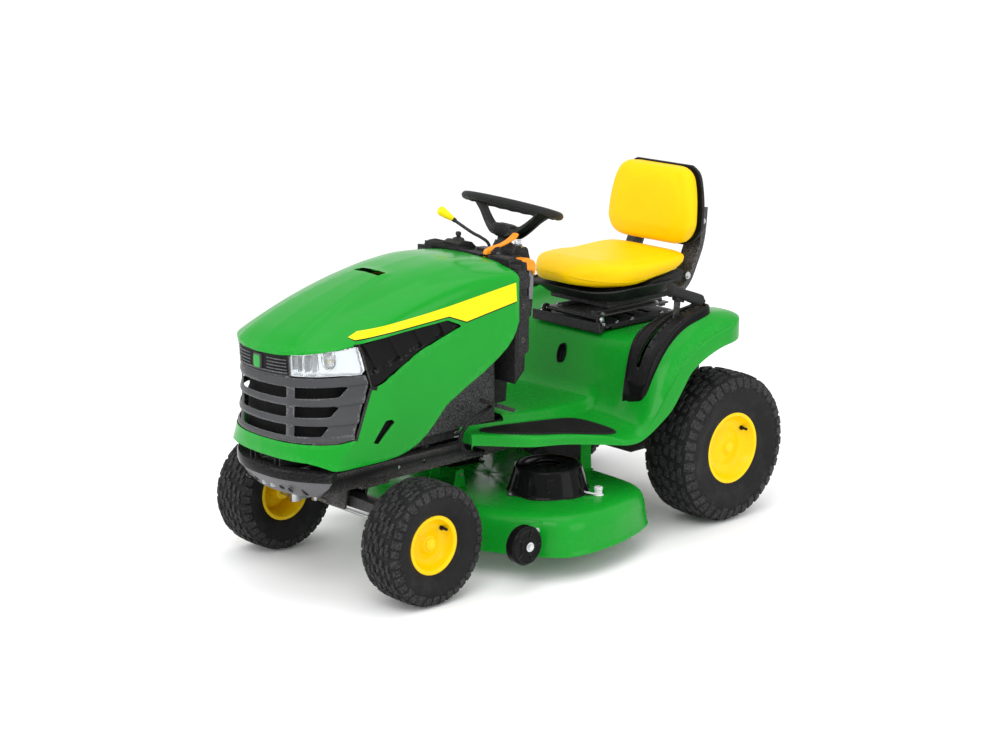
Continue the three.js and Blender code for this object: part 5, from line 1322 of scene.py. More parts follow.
g.add(loft([liner(1.17, -1.2), liner(1.15, -3.2), liner(1.04, -3.6), liner(0.97, -1.5), liner(0.92, 13), liner(0.1, 15)], caps=False), 0)
obj("grip_slot_liner", g, "black_gloss", "chassis", angle=40)

# shallow pressed lines on the seat deck
g = G()
for s in (1, -1):
    pl = [(s * x, y, pan_z(x, y) + 0.2) for x, y in [(196, -760), (198, -600), (206, -470), (214, -410)]]
    g.add(tube(pl, 2.2, 8, 40), 0)
obj("pan_beads", g, "green_paint", "chassis")


# ----------------------------------------------- shapes that sit on the fenders
def terrain(outline, levels, mat, name, body, n=110, inner=None, replaces=(), slot=None, fill=True, grid=None, **kw):
    """Closed piece on the fender surface: rings (inset, height) from the outer foot up and over."""
    base = catmull(ccw(outline), n, closed=True) if len(outline) > 3 else outline
    base = np.array(ccw(base))
    rings = []
    for ins, hgt in levels:
        p = inset2(base, 0.0)
        q = base.copy()
        steps = max(1, int(abs(ins) / 3))
        for _ in range(steps):
            q = inset2(q, ins / steps)
            # keep the ring smooth
            q = 0.5 * q + 0.25 * (np.roll(q, 1, 0) + np.roll(q, -1, 0))
        rings.append([(x, y, pan_z(x, y) + hgt) for x, y in q])
    vv, ff = [], []
    m = len(base)
    for r in rings:
        vv += r
    for i in range(len(rings) - 1):
        for k in range(m):
            ff.append((i * m + k, i * m + (k + 1) % m, (i + 1) * m + (k + 1) % m, (i + 1) * m + k))
    g = G()
    g.add((vv, ff), 0)
    if fill:
        # fill the last ring by shrinking rings towards its spine
        last = np.array([(x, y) for x, y, _ in rings[-1]])
        hgt = levels[-1][1]
        cen = last.mean(0)
        prev = last
        rr = [rings[-1]]
        for t in (0.8, 0.6, 0.4, 0.2, 0.02):
            q = cen + (last - cen) * t
            rr.append([(x, y, pan_z(x, y) + hgt) for x, y in q])
        g.add(loft(rr, caps=False), 0)
    # underside
    g.add(([(x, y, z - 1.0) for x, y, z in rings[0]], [tuple(range(m))[::-1]]), 0)
    return g


leaf = [(212, -905), (250, -908), (300, -852), (344, -760), (366, -672), (410, -580), (424, -520), (400, -488), (330, -480), (240, -494), (210, -550), (203, -700), (204, -830)]
for s, n in ((1, "left"), (-1, "right")):
    g = terrain([(x, y) for x, y in leaf], [(0, 0.6), (0.4, 3.2), (2.0, 4.4), (5.0, 4.6), (6.5, 3.4)], None, None, None, n=150)
    lf = catmull(ccw([(x, y) for x, y in leaf]), 150, closed=True)
    lf = inset2(inset2(lf, 5), 5)
    # ribs across the mat, each cut to its outline
    for k in range(44):
        yr = -892 + k * 9.2
        xs = []
        m = len(lf)
        for i in range(m):
            (x0, y0), (x1, y1) = lf[i], lf[(i + 1) % m]
            if (y0 - yr) * (y1 - yr) < 0:
                xs.append(x0 + (x1 - x0) * (yr - y0) / (y1 - y0))
        if len(xs) >= 2:
            a, b = min(xs) + 2, max(xs) - 2
            if b - a > 8:
                pl = [(x, yr + 0.0, pan_z(x, yr) + 4.2) for x in np.linspace(a, b, 8)]
                g.add(tube(pl, 2.1, 6, 14), 0)
    g.v = [(s * x, y, z) for x, y, z in g.v]
    obj(f"foot_mat_{n}_ribbed", g, "mat_rubber", "chassis", replaces=f"foot_mat_{n}", slot="rubber_mat", angle=35, doubles=0)

# console of the lift lever: a raised glossy band with a rounded rim and a toothed slot
cons = [(303, -352), (330, -366), (372, -368), (404, -362), (412, -330), (409, -220), (414, -100), (404, -52), (376, -37), (332, -37), (306, -50), (301, -120), (300, -240)]
g = terrain(cons, [(0, -2), (0.3, 10), (1.2, 19), (4.0, 24.5), (8.0, 26.2), (12.0, 25.4), (14.5, 22.0), (16.0, 18.5)], None, None, None, n=170, fill=False)
base = np.array(ccw(catmull(ccw(cons), 170, closed=True)))
q = base.copy()
for _ in range(5):
    q = inset2(q, 16.0 / 5)
    q = 0.5 * q + 0.25 * (np.roll(q, 1, 0) + np.roll(q, -1, 0))
inner = q
# floor of the recess: rings from the rim to the slot edge
slot = np.array([(341 + 0, -336), (359, -336), (359, -62), (341, -62)])
sl = resample(rounded(ccw(slot), 5, 3), len(inner), closed=True)
ang = lambda p, c: np.arctan2(p[:, 1] - c[1], (p[:, 0] - c[0]) * 4)
c0 = inner.mean(0)
i0 = np.argmin(np.abs(ang(inner, c0)))
j0 = np.argmin(np.abs(ang(sl, sl.mean(0))))
inner2, sl2 = np.roll(inner, -i0, 0), np.roll(sl, -j0, 0)
rr = []
for t in np.linspace(0, 1, 7):
    p = inner2 * (1 - t) + sl2 * t
    rr.append([(x, y, pan_z(x, y) + 18.5 - 1.5 * math.sin(t * math.pi)) for x, y in p])
rr.append([(x, y, pan_z(x, y) + 2) for x, y in sl2])
g.add(loft(rr, caps=False), 1)
# teeth along the slot
for i in range(12):
    y = -318 + i * 21
    z = pan_z(362, y) + 18
    g.add(plate([(359.5, y - 4), (367, y - 3), (367, y + 3), (359.5, y + 4)], "z", z - 3, z + 2.6, 0.8), 0)
obj("lift_console_finish", g, ["black_gloss", "black_plastic"], "chassis", replaces="lift_console", slot="gloss_black", angle=35, doubles=0)

# tray with cup holder on the other fender
tr = rounded([(-440, -170), (-330, -170), (-330, 60), (-440, 60)], 28, 5)
g = G()
tr = ccw(tr)
b0 = np.array(tr)
rings = []
for ins, h in ((0, 0.8), (0.4, 9), (2.0, 12), (5.0, 12.6), (8.0, 11.2), (10.0, 6.0)):
    q = inset2(b0, ins)
    rings.append([(x, y, pan_z(x, y) + h) for x, y in q])
g.add(loft(rings, caps=False), 0)
c0 = np.array([-385, -55])
last = np.array([(x, y) for x, y, _ in rings[-1]])
rr = [rings[-1]]
for t in (0.75, 0.5, 0.25, 0.02):
    rr.append([(x, y, pan_z(x, y) + 6.0) for x, y in c0 + (last - c0) * t])
g.add(loft(rr, caps=False), 0)
zc = pan_z(-385, -110)
g.add(lathe([(40.5, 3), (46, 3), (46, 13), (44, 15), (41.5, 14.4), (40.5, 12)], "z", (-385, -110, zc - 1), 56), 0)
g.add(lathe([(40.8, 8), (40.8, 2.4), (0.01, 2.4), (0.01, 1.2), (42, 1.2), (42, 8)], "z", (-385, -110, zc + 0.2), 56), 0)
for k in range(8):
    t = k * math.pi / 4
    g.add(rod((-385 + 12 * math.cos(t), -110 + 12 * math.sin(t), zc + 4.2), (-385 + 34 * math.cos(t), -110 + 34 * math.sin(t), zc + 4.2), 1.6, 8), 0)
obj("fender_tray_finish", g, "black_plastic", "chassis", replaces="fender_tray", slot="black_plastic", angle=35, doubles=0)

# ------------------------------------------------------------------- bumper
bar = []
us = np.linspace(-1, 1, 61)


def arc_y(x, yc, k, w):
    return yc + k * abs(x / w) ** 2.4


g = G()
rings = []
for u in us:
    x0, x1 = u * 232, u * 216
    yo, yi = arc_y(x0, -1603, 92, 232), arc_y(x1, -1571, 92, 216)
    rings.append([(x0, yo + 1.5, 389.5), (x0 * 1.0, yo - 0.4, 396), (x0, yo - 0.4, 414), (x0, yo + 2.5, 420), (x0 * 0.985, yo + 6, 422), (x1, yi, 422), (x1, yi, 388), (x0 * 0.985, yo + 5, 388)])
g.add(loft(rings), 0)
# slanted face under the lip: it follows the lip's curve and narrows downwards
rings = []
for u in us:
    yo = arc_y(u * 232, -1603, 92, 232)
    yb = -1552 + 44 * abs(u) ** 2.4
    x0, xm, x1 = u * 226, u * 205, u * 160
    rings.append([(x0, yo + 3, 391), (xm, yo * 0.5 + yb * 0.5 - 3, 364), (x1, yb - 2, 334), (x1, yb + 1, 330.4), (x1, yb + 10, 330.4), (x1, yb + 12, 335), (xm, yo * 0.5 + yb * 0.5 + 8, 366), (x0 * 0.985, yo + 13, 391)])
g.add(loft(rings), 4)
face = [(-1560, 400), (-1560, 372), (-1536, 338), (-1500, 330), (-1492, 336), (-1492, 384), (-1555, 415), (-1560, 415)]
g.add(plate(rounded(face, 4, 2), "x", -140, 140, 3.0), 0)
g.add(plate([(-1584, 394), (-1556, 394), (-1556, 421), (-1584, 421)], "x", -90, 90, 1.5), 0)
for x in (-72, -48, 48, 72):
    g.add(plate([(-1582, 415), (-1562, 415), (-1570, 453), (-1577, 457), (-1582, 453)], "x", x - 3, x + 3, 0.8), 0)
for x in (-60, 60):
    g.add(rod((x - 14, -1577, 449), (x + 14, -1577, 449), 4, 18), 2)
# holes and bolts on the slanted face
nrm = np.array([0, -46, -42.0])
nrm /= np.linalg.norm(nrm)
for x in (-104, -62, 62, 104):
    c = np.array([x, -1569, 353.0])
    g.add(rod(c - nrm * 3, c + nrm * 0.9, 9.5, 28), 0)
    g.add(rod(c - nrm * 2, c + nrm * 1.3, 6.5, 24), 3)
for x in (-20, 20):
    c = np.array([x, -1569, 353.0])
    g.add(bolt(c, nrm, 7, 4.5), 2)
obj("front_bumper_finish", g, ["black_gloss", "grey_plastic", "zinc_steel", "mesh_black", "bumper_grey"], "chassis", replaces="front_bumper", slot="black_plastic", angle=34, doubles=0)

# --------------------------------------------------------------- cutting deck
DB = [(300, -985), (430, -920), (520, -858), (553, -790), (556, -700), (545, -600), (510, -480), (462, -398), (380, -372), (200, -368), (60, -400), (16, -426), (-30, -402), (-180, -368), (-360, -374), (-450, -410), (-500, -480), (-516, -560), (-516, -700), (-500, -776), (-400, -880), (-290, -962), (-180, -985), (16, -992), (200, -990)]
base = np.array(catmull(ccw(DB), 260, closed=True))
for _ in range(2):
    base = 0.5 * base + 0.25 * (np.roll(base, 1, 0) + np.roll(base, -1, 0))
cx, cy = 18, -680


def dring(k, z, o=0.0):
    q = inset2(base, -o) if o else base
    return [(cx + (x - cx) * k, cy + (y - cy) * k, z) for x, y in q]


v, f = loft([dring(1.0, 80, 2.6), dring(1.0, 83, 3.2), dring(1.0, 87, 2.6), dring(0.999, 90, 0.6), dring(0.9975, 98), dring(0.992, 120), dring(0.985, 143), dring(0.980, 158), dring(0.973, 170), dring(0.963, 181), dring(0.950, 189.5), dring(0.932, 195.5), dring(0.910, 199.6), dring(0.885, 202.4), dring(0.86, 204), dring(0.80, 204.4), dring(0.72, 204.4), dring(0.6, 204.4), dring(0.45, 204.4), dring(0.3, 204.4), dring(0.15, 204.4), dring(0.01, 204.4)], caps=False)
bm = bm_of(v, f)
# pressed swells over each blade
for vv in bm.verts:
    x, y, z = to_mm(vv.co)
    if z > 196:
        for sx, sy in ((270, -660), (-238, -660)):
            d = math.hypot(x - sx, y - sy)
            vv.co.z += (3.5 * float(1 - smooth(176, 196, d)) - 3.6 * float(1 - smooth(136, 146, d))) / 1000
imprint(bm, rounded([(-648, 92), (-432, 92), (-432, 182), (-648, 182)], 8, 3), "x", lambda c: c[0] < -440, delete_faces(bm))
orient(bm, (0, 0, 1))
deck = from_bm("deck_skin", bm, "green_paint", "deck", replaces="deck_shell", slot="green_paint", solid=(4.5, -1), bevel=1.0, segs=2, bang=50, angle=40)
# what is welded and bolted to the deck
g = G()
for sx, sy in ((270, -660), (-238, -660)):
    g.add(lathe([(15, 190), (34, 190), (40, 203), (48, 206), (48, 209), (30, 211), (22, 222), (15, 222)], "z", (sx, sy, 0), 40), 1)
    for k in range(4):
        t = math.radians(45 + 90 * k)
        g.add(bolt((sx + 41 * math.cos(t), sy + 41 * math.sin(t), 208), (0, 0, 1), 6, 4.5), 2)
for s in (1, -1):
    x = s * 205
    g.add(plate(rounded([(-452, 202), (-400, 202), (-406, 356), (-416, 372), (-436, 372), (-446, 356)], 6, 3), "x", x - 3, x + 3, 0.8), 0)
    g.add(plate(rounded([(-880, 202), (-830, 202), (-838, 262), (-866, 262)], 6, 3), "x", s * 60 - 3, s * 60 + 3, 0.8), 0)
    g.add(rod((x - 9, -426, 350), (x + 9, -426, 350), 7, 20), 2)
    g.add(rod((s * 60 - 9, -852, 246), (s * 60 + 9, -852, 246), 6.5, 20), 2)
    g.add(plate([(x - 12, -456), (x + 12, -456), (x + 12, -398), (x - 12, -398)], "z", 203.5, 207.5, 0.8), 0)
g.add(plate(rounded([(-998, 136), (-998, 156), (-960, 190), (-800, 190), (-800, 150), (-940, 134)], 6, 3), "x", 462, 470, 1.2), 0)
g.add(rod((466, -984, 146), (532, -984, 146), 8, 24), 2)
g.add(plate(rounded([(-944, 136), (-944, 156), (-910, 190), (-780, 190), (-780, 150), (-890, 134)], 6, 3), "x", -414, -408, 1.2), 0)
g.add(rod((-412, -930, 146), (-480, -930, 146), 8, 24), 2)
g.add(rod((-517, -646, 196), (-517, -434, 196), 4.4, 18), 2)
g.add(plate([(-521, 184), (-462, 184), (-462, 201), (-521, 201)], "y", -650, -642, 0.8), 0)
g.add(plate([(-521, 184), (-452, 184), (-452, 201), (-521, 201)], "y", -438, -430, 0.8), 0)
# bolts on the gauge wheel bracket, and a wash port with its hose coupling
for y in (-900, -840):
    g.add(bolt((470, y, 166), (1, 0, 0), 6.5, 5), 2)
wx, wy = 430, -592
g.add(lathe([(0.01, 204), (17, 204), (17, 208), (13, 210), (12, 224), (14, 225), (14, 232), (11, 234), (8, 234), (8, 214), (0.01, 214)], "z", (wx, wy, 0), 32), 3)
g.add(tube([(wx + 6, wy - 12, 212), (wx - 22, wy - 26, 214), (wx - 52, wy - 22, 213)], 3.2, 10, 24), 3)
obj("deck_fittings", g, ["green_paint", "black_steel", "zinc_steel", "white_plastic"], "deck", angle=34, doubles=0)

for (sx, sy), n in (((270, -660), "left"), ((-238, -660), "right")):
    g = G()
    prof = catmull([(134.5, 204.8), (134.5, 208.5), (131, 214), (126, 229), (117, 258), (109.5, 282), (106, 288.5), (99, 292), (90, 292.6), (74, 291), (66, 291.6), (46, 292.4), (41, 291.5), (40, 288)], 46)
    back = [(41, 286.5), (66, 287.5), (94, 288), (104, 283), (125, 225), (130, 211), (130, 204.8)]
    g.add(lathe([tuple(p) for p in prof] + back, "z", (sx, sy, 0), 96), 0)
    g.add(lathe([(38, 280), (38, 270), (12.5, 270), (12.5, 264), (42, 264), (42, 280)], "z", (sx, sy, 0), 48), 2)
    # moulded slot recesses and screw bosses round the skirt
    for k in range(6):
        t = math.radians(-100 + 60 * k)
        c, s_ = math.cos(t), math.sin(t)
        pts = []
        for a, z in ((-9, 232), (9, 232), (9, 268), (-9, 268)):
            r = 134 - (z - 210) * 24 / 76
            pts.append((r, a, z))
        ring = lambda o, k2: [(sx + (r + o) * c - a * k2 * s_, sy + (r + o) * s_ + a * k2 * c, 250 + (z - 250) * k2) for r, a, z in pts]
        g.add(loft([ring(-1.0, 1.12), ring(1.6, 1.12), ring(1.6, 0.98), ring(-3.0, 0.92)], caps=False), 0)
        g.add(loft([ring(0.15, 0.96), ring(0.3, 0.96)]), 1)
    for k in range(3):
        t = math.radians(20 + 120 * k)
        c, s_ = math.cos(t), math.sin(t)
        g.add(plate(rounded([(sx + 128 * c - 13 * s_, sy + 128 * s_ + 13 * c), (sx + 128 * c + 13 * s_, sy + 128 * s_ - 13 * c), (sx + 154 * c + 10 * s_, sy + 154 * s_ - 10 * c), (sx + 154 * c - 10 * s_, sy + 154 * s_ + 10 * c)], 6, 3), "z", 204.8, 210, 1.0), 0)
        g.add(bolt((sx + 144 * c, sy + 144 * s_, 210), (0, 0, 1), 5.5, 4), 3)
    obj(f"spindle_cover_{n}_finish", g, ["black_gloss", "mesh_black", "black_plastic", "zinc_steel"], "deck", replaces=f"spindle_cover_{n}", slot="black_plastic", angle=34, doubles=0)

for (gx, gy, gz), n, s in (((500, -984, 146), "left", 1), ((-448, -930, 146), "right", -1)):
    g = G()
    half = [(8.9, 26), (15, 26.4), (27, 25), (30, 21), (34, 18.5), (47, 19.5), (53, 21.5), (58.5, 18), (61.5, 12.5), (62, 6), (62, 0)]
    hp = [tuple(p) for p in catmull(half, 40)]
    prof = hp + [(r, -a) for r, a in reversed(hp[:-1])]
    g.add(lathe(prof, "x", (gx, gy, gz), 72), 0)
    for k in range(5):
        t = 2 * math.pi * k / 5
        c, s_ = math.cos(t), math.sin(t)
        for o in (1, -1):
            g.add(rod((gx + o * 19.5, gy + 29 * c, gz + 29 * s_), (gx + o * 20.5, gy + 49 * c, gz + 49 * s_), 2.4, 8), 0)
    obj(f"gauge_wheel_{n}_finish", g, "black_gloss", f"gauge_{n}_body", replaces=f"gauge_wheel_{n}", slot="black_plastic", angle=36, doubles=0)
    xo = gx + s * 27
    g = G().add(rod((xo, gy, gz), (xo + s * 2, gy, gz), 15, 28)).add(bolt((xo + s * 2, gy, gz), (s, 0, 0), 10, 6))
    obj(f"gauge_bolt_{n}", g, "bright_steel", "deck", doubles=0)


# --------------------------------------------------------------------- seat
from mathutils.bvhtree import BVHTree


def rrect(x0, x1, y0, y1, r, z, n=8, lean=0.0):
    p = rounded([(x0, y0), (x1, y0), (x1, y1), (x0, y1)], r, n)
    return [(a, b + lean, z) for a, b in p]


def pad(name, g, mat, body, node, voxel=0.0055, cap=0.014, inside=0.0028, frames_=20, pressure=4.0, keep_low=0.35):
    """A stuffed cushion: a smaller closed form, voxel remeshed, blown up by the cloth solver and held inside its own space."""
    me = bpy.data.meshes.new(name)
    me.from_pydata([P(*p) for p in g.v], [], g.f)
    bm = bmesh.new()
    bm.from_mesh(me)
    bmesh.ops.remove_doubles(bm, verts=bm.verts, dist=1e-5)
    bmesh.ops.recalc_face_normals(bm, faces=bm.faces)
    bm.to_mesh(me)
    bm.free()
    ob = bpy.data.objects.new(name, me)
    scene.collection.objects.link(ob)

    def bake():
        dg = bpy.context.evaluated_depsgraph_get()
        new = bpy.data.meshes.new_from_object(ob.evaluated_get(dg))
        ob.modifiers.clear()
        ob.data = new

    r = ob.modifiers.new("r", "REMESH")
    r.mode = "VOXEL"
    r.voxel_size = voxel
    bake()
    n = len(ob.data.vertices)
    c0 = np.empty(n * 3)
    ob.data.vertices.foreach_get("co", c0)
    c0 = c0.reshape(-1, 3)
    nrm0 = np.empty(n * 3)
    ob.data.vertices.foreach_get("normal", nrm0)
    nrm0 = nrm0.reshape(-1, 3)
    c = ob.modifiers.new("c", "CLOTH")
    st = c.settings
    st.quality = 5
    st.mass = 0.3
    st.tension_stiffness = 14
    st.compression_stiffness = 14
    st.shear_stiffness = 5
    st.bending_stiffness = 2.5
    st.air_damping = 2.0
    st.use_pressure = True
    st.uniform_pressure_force = pressure
    st.effector_weights.gravity = 0.0
    c.collision_settings.use_collision = False
    c.collision_settings.use_self_collision = False
    c.point_cache.frame_start = 1
    c.point_cache.frame_end = frames_
    for fr in range(1, frames_ + 1):
        scene.frame_set(fr)
    dg = bpy.context.evaluated_depsgraph_get()
    new = bpy.data.meshes.new_from_object(ob.evaluated_get(dg))
    ob.modifiers.clear()
    ob.data = new
    scene.frame_set(1)
    c1 = np.empty(len(new.vertices) * 3)
    new.vertices.foreach_get("co", c1)
    c1 = c1.reshape(-1, 3)
    d = c1 - c0
    l = np.linalg.norm(d, axis=1, keepdims=True)
    d = d * np.minimum(1.0, cap / np.maximum(l, 1e-9))
    # the stuffing holds the cover out wherever its tension would pull it in; the folds along the surface stay
    out = (d * nrm0).sum(axis=1, keepdims=True)
    d = d + nrm0 * np.maximum(0.0, 0.62 * cap - out) * 0.9
    c1 = c0 + d
    cad = NODES[node]
    dep = bpy.context.evaluated_depsgraph_get()
    mw = cad.matrix_world
    bv = BVHTree.FromPolygons([mw @ v.co for v in cad.data.vertices], [tuple(p.vertices) for p in cad.data.polygons])
    for k in range(len(c1)):
        q = Vector(c1[k])
        loc, nrm, idx, dist = bv.find_nearest(q)
        if loc is None:
            continue
        side = (q - loc).dot(nrm)
        lim = inside if nrm.z > -0.35 else 0.0
        if side > lim:
            c1[k] = q - nrm * (side - lim)
    ob.data.vertices.foreach_set("co", c1.reshape(-1))
    ob.data.update()
    s = ob.modifiers.new("s", "SMOOTH")
    s.factor = 0.5
    s.iterations = 6
    bake()
    s = ob.modifiers.new("u", "SUBSURF")
    s.levels = s.render_levels = 1
    bake()
    ob.data.materials.clear()
    ob.data.materials.append(MATS[mat])
    ob.data.polygons.foreach_set("material_index", [0] * len(ob.data.polygons))
    ob.data.polygons.foreach_set("use_smooth", [True] * len(ob.data.polygons))
    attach(ob, body)
    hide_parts(node)
    return ob


# lower cushion: side outline with the plan narrowing at both ends
SIDE_TOP = Pchip([-394, -376, -340, -290, -210, -110, -40, 40, 76, 88], [838, 852, 867, 874, 871, 865, 866, 870, 868, 858])
SIDE_BOT = Pchip([-394, -378, -290, -200, -100, 40, 82, 88], [824, 805, 788, 786, 798, 822, 845, 853])
HALF = Pchip([-398, -394, -386, -376, -338, -292, -244, -190, -60, 20, 66, 84, 90], [20, 52, 72, 88, 130, 170, 194, 206, 206, 200, 184, 160, 130])
g = G()
rings = []
SH = 5.0
for y in np.concatenate([[-393, -391, -387, -380, -368], np.linspace(-350, 40, 18), [56, 68, 77, 83, 87]]):
    yy = -153 + (y + 153) * (1 - SH / 241)
    hw = max(12.0, float(HALF(y)) - SH)
    zt, zb = float(SIDE_TOP(y)) - SH * 0.75, float(SIDE_BOT(y)) + SH * 0.45
    zm, hz = (zt + zb) / 2, max(4.0, (zt - zb) / 2)
    ring = []
    for k in range(56):
        t = 2 * math.pi * k / 56
        cx_, cz_ = math.cos(t), math.sin(t)
        e = 0.36 if abs(y + 160) < 190 else 0.5
        ex = math.copysign(abs(cx_) ** e, cx_)
        ez = math.copysign(abs(cz_) ** (0.62), cz_)
        crown = 1.0
        zz = zm + hz * ez
        # sides pull in under the welt and the seat is dished a little in the middle
        if ez > 0:
            zz -= 5.0 * (1 - abs(ex) ** 2) * float(smooth(-330, -240, y)) * float(1 - smooth(0, 60, y))
        ring.append((hw * ex, yy, zz))
    rings.append(ring)
g.add(loft(rings), 0)
seat = pad("seat_cushion_vinyl", g, "yellow_vinyl", "seat", "seat_cushion", cap=0.009, inside=0.004)

# upright cushion
BR = [(884, 118, 72, 104), (898, 162, 56, 116), (950, 192, 46, 120), (1010, 190, 46, 120), (1080, 178, 50, 118), (1130, 158, 60, 114), (1150, 126, 76, 106)]
bhw = Pchip([r[0] for r in BR], [r[1] for r in BR])
by0 = Pchip([r[0] for r in BR], [r[2] for r in BR])
by1 = Pchip([r[0] for r in BR], [r[3] for r in BR])
g = G()
rings = []
for z in [886, 889, 895, 905, 920, 945, 975, 1010, 1045, 1080, 1105, 1122, 1134, 1142, 1147]:
    zz = 1016 + (z - 1016) * (1 - SH / 134)
    hw, y0, y1 = float(bhw(z)) - 2, float(by0(z)) + 3, float(by1(z)) - 3
    ln = (z - 880) * 0.10
    ring = []
    for k in range(56):
        t = 2 * math.pi * k / 56
        c_, s_ = math.cos(t), math.sin(t)
        ex = math.copysign(abs(c_) ** 0.42, c_)
        ey = math.copysign(abs(s_) ** 0.6, s_)
        ym, hy = (y0 + y1) / 2, max(5, (y1 - y0) / 2)
        yq = ym + hy * ey
        if ey < 0:
            yq += 4.0 * (1 - abs(ex) ** 2) * float(smooth(905, 960, z)) * float(1 - smooth(1070, 1130, z))
        ring.append((hw * ex, yq + ln, zz))
    rings.append(ring)
g.add(loft(rings), 0)
back = pad("seat_back_vinyl", g, "yellow_vinyl", "seat", "seat_back_cushion", cap=0.009, inside=0.004)


# sewn welts, laid on the finished cushions
def welt(name, ob, pts, r=1.6, sink=0.4, mat="piping"):
    me = ob.data
    bv = BVHTree.FromPolygons([v.co.copy() for v in me.vertices], [tuple(p.vertices) for p in me.polygons])
    out = []
    for p in pts:
        q = Vector(P(*p))
        loc, nrm, idx, dist = bv.find_nearest(q)
        out.append(loc + nrm * (r - sink) / 1000)
    out = [((v.x - OX) * 1000, (v.y - OY) * 1000, v.z * 1000) for v in out]
    a = np.array(out)
    for _ in range(3):
        a = 0.5 * a + 0.25 * (np.roll(a, 1, 0) + np.roll(a, -1, 0))
    a = catmull(a, 190, closed=True)
    gg = G().add(tube(a, r, 8, closed=True, raw=True), 0)
    return obj(name, gg, mat, "seat", smooth_all=True, doubles=0)


ring = []
for k in range(96):
    t = 2 * math.pi * k / 96
    c_, s_ = math.cos(t), math.sin(t)
    y = -153 + 240 * math.copysign(abs(s_) ** 0.75, s_)
    x = 206 * math.copysign(abs(c_) ** 0.55, c_)
    z = float(SIDE_BOT(np.clip(y, -392, 86))) + 17
    ring.append((x, y, z))
welt("seat_cushion_welt", seat, ring)
ring = []
for k in range(96):
    t = 2 * math.pi * k / 96
    c_, s_ = math.cos(t), math.sin(t)
    z = 1017 + 132 * math.copysign(abs(s_) ** 0.6, s_)
    zc = float(np.clip(z, 886, 1148))
    x = (float(bhw(zc)) + 6) * math.copysign(abs(c_) ** 0.5, c_)
    ring.append((x, 100 + (zc - 880) * 0.10, z))
welt("seat_back_welt", back, ring)

# pressed seat pan with a rolled rim, and the straps that carry the back
g = G()
g.add(plate(rounded([(-140, -262), (140, -262), (140, 40), (-140, 40)], 14, 4), "z", 715, 739, 3.0), 0)
lv = [(737, 150, -284, 38, 80), (738, 160, -290, 43, 86), (742, 166, -297, 46, 90), (752, 173, -309, 49, 96), (764, 181, -327, 53, 102), (772, 187, -343, 56, 107), (777, 191, -352, 59, 109), (781, 194, -357, 61, 110), (784, 192, -355, 59.5, 109), (783, 188, -351, 57, 107), (778, 184, -347, 54, 105)]
rings = [rrect(-h, h, y0, y1, r, z) for z, h, y0, y1, r in lv]
rings += [[(x * k, -145 + (y + 145) * k, 777) for x, y, z in rings[-1]] for k in (0.8, 0.5, 0.2, 0.01)]
g.add(loft(rings, caps=False), 0)
# stiffening ribs under the dish
for x in (-120, -60, 0, 60, 120):
    g.add(plate([(-282, 741), (-264, 728), (30, 728), (44, 741)], "x", x - 2, x + 2, 0.8), 0)
rise = [(-120, 771), (54, 771), (61, 790), (61, 806), (54, 812), (40, 812), (-30, 800), (-100, 788)]
g.add(plate(rounded(rise, 6, 3), "x", -181, 181, 4.0), 0)
obj("seat_pan_dish", g, "black_plastic", "seat", replaces="seat_pan", slot="black_plastic", angle=34, doubles=0)

path = catmull([(24, 738), (64, 744), (88, 760), (107, 783), (128, 824), (149, 866), (158, 893), (164, 919), (169, 960), (173, 1008)], 60)


def band(off0, off1, x0, x1, ch=1.4):
    p = np.array(path)
    t = np.gradient(p, axis=0)
    t /= np.linalg.norm(t, axis=1, keepdims=True)
    nn = np.stack([t[:, 1], -t[:, 0]], 1)
    rr = []
    for q, m in zip(p, nn):
        a, b = q + m * off0, q + m * off1
        c1_, c2_ = q + m * (off0 + ch * np.sign(off1 - off0)), q + m * (off1 - ch * np.sign(off1 - off0))
        rr.append([(x0 + ch, *a), (x1 - ch, *a), (x1, *c1_), (x1, *c2_), (x1 - ch, *b), (x0 + ch, *b), (x0, *c2_), (x0, *c1_)])
    return loft(rr)


for s in (1, -1):
    g = G()
    lo_, hi_ = (96, 168) if s > 0 else (-168, -96)
    g.add(band(-3.6, 3.6, lo_, hi_), 0)
    xo = (162, 168) if s > 0 else (-168, -162)
    g.add(band(2.0, 19.0, *xo, ch=1.2), 0)
    xi = (96, 101) if s > 0 else (-101, -96)
    g.add(band(2.0, 9.0, *xi, ch=1.0), 0)
    # pressed rib down the middle of the strap
    g.add(band(-5.0, -1.0, s * 132 - 9, s * 132 + 9, ch=1.8), 0)
    g.add(rod((s * 168, 92, 783), (s * 172.5, 92, 783), 15, 32), 0)
    g.add(bolt((s * 172, 92, 783), (s, 0, 0), 8.5, 5), 1)
    g.add(bolt((s * 168, 171, 960), (s, 0, 0), 6.5, 4), 1)
    g.add(bolt((s * 120, 44, 738), (0, 0, -1), 6, 4), 1)
    obj(f"seat_strap_{'left' if s > 0 else 'right'}", g, ["black_steel", "zinc_steel"], "seat", angle=34, doubles=0)

# moulded shell behind the upright cushion
SR = [(878, 120, 121, 134), (896, 166, 121, 142), (950, 198, 121, 147), (1010, 196, 121, 147), (1080, 184, 121, 144), (1134, 164, 121, 140), (1156, 130, 121, 134)]
shw = Pchip([r[0] for r in SR], [r[1] for r in SR])
sy1 = Pchip([r[0] for r in SR], [r[3] for r in SR])


def shell_ring(z, shrink, y):
    """One closed loop of the shell outline as seen from behind, shrunk inwards."""
    # Not used: returns None; the loops of the shell are made by shl() below.
    return None


zs = np.concatenate([[878, 880, 884, 890], np.linspace(898, 1132, 26), [1140, 1147, 1152, 1155, 1156]])
right = [(float(shw(z)), z) for z in zs]
outl = [(x, z) for x, z in right] + [(-x, z) for x, z in right[::-1]]
outl = rounded([(x, 878 + (z - 878) * 0.975) for x, z in outl], 10, 2)
outl = resample(ccw(outl), 200, closed=True)


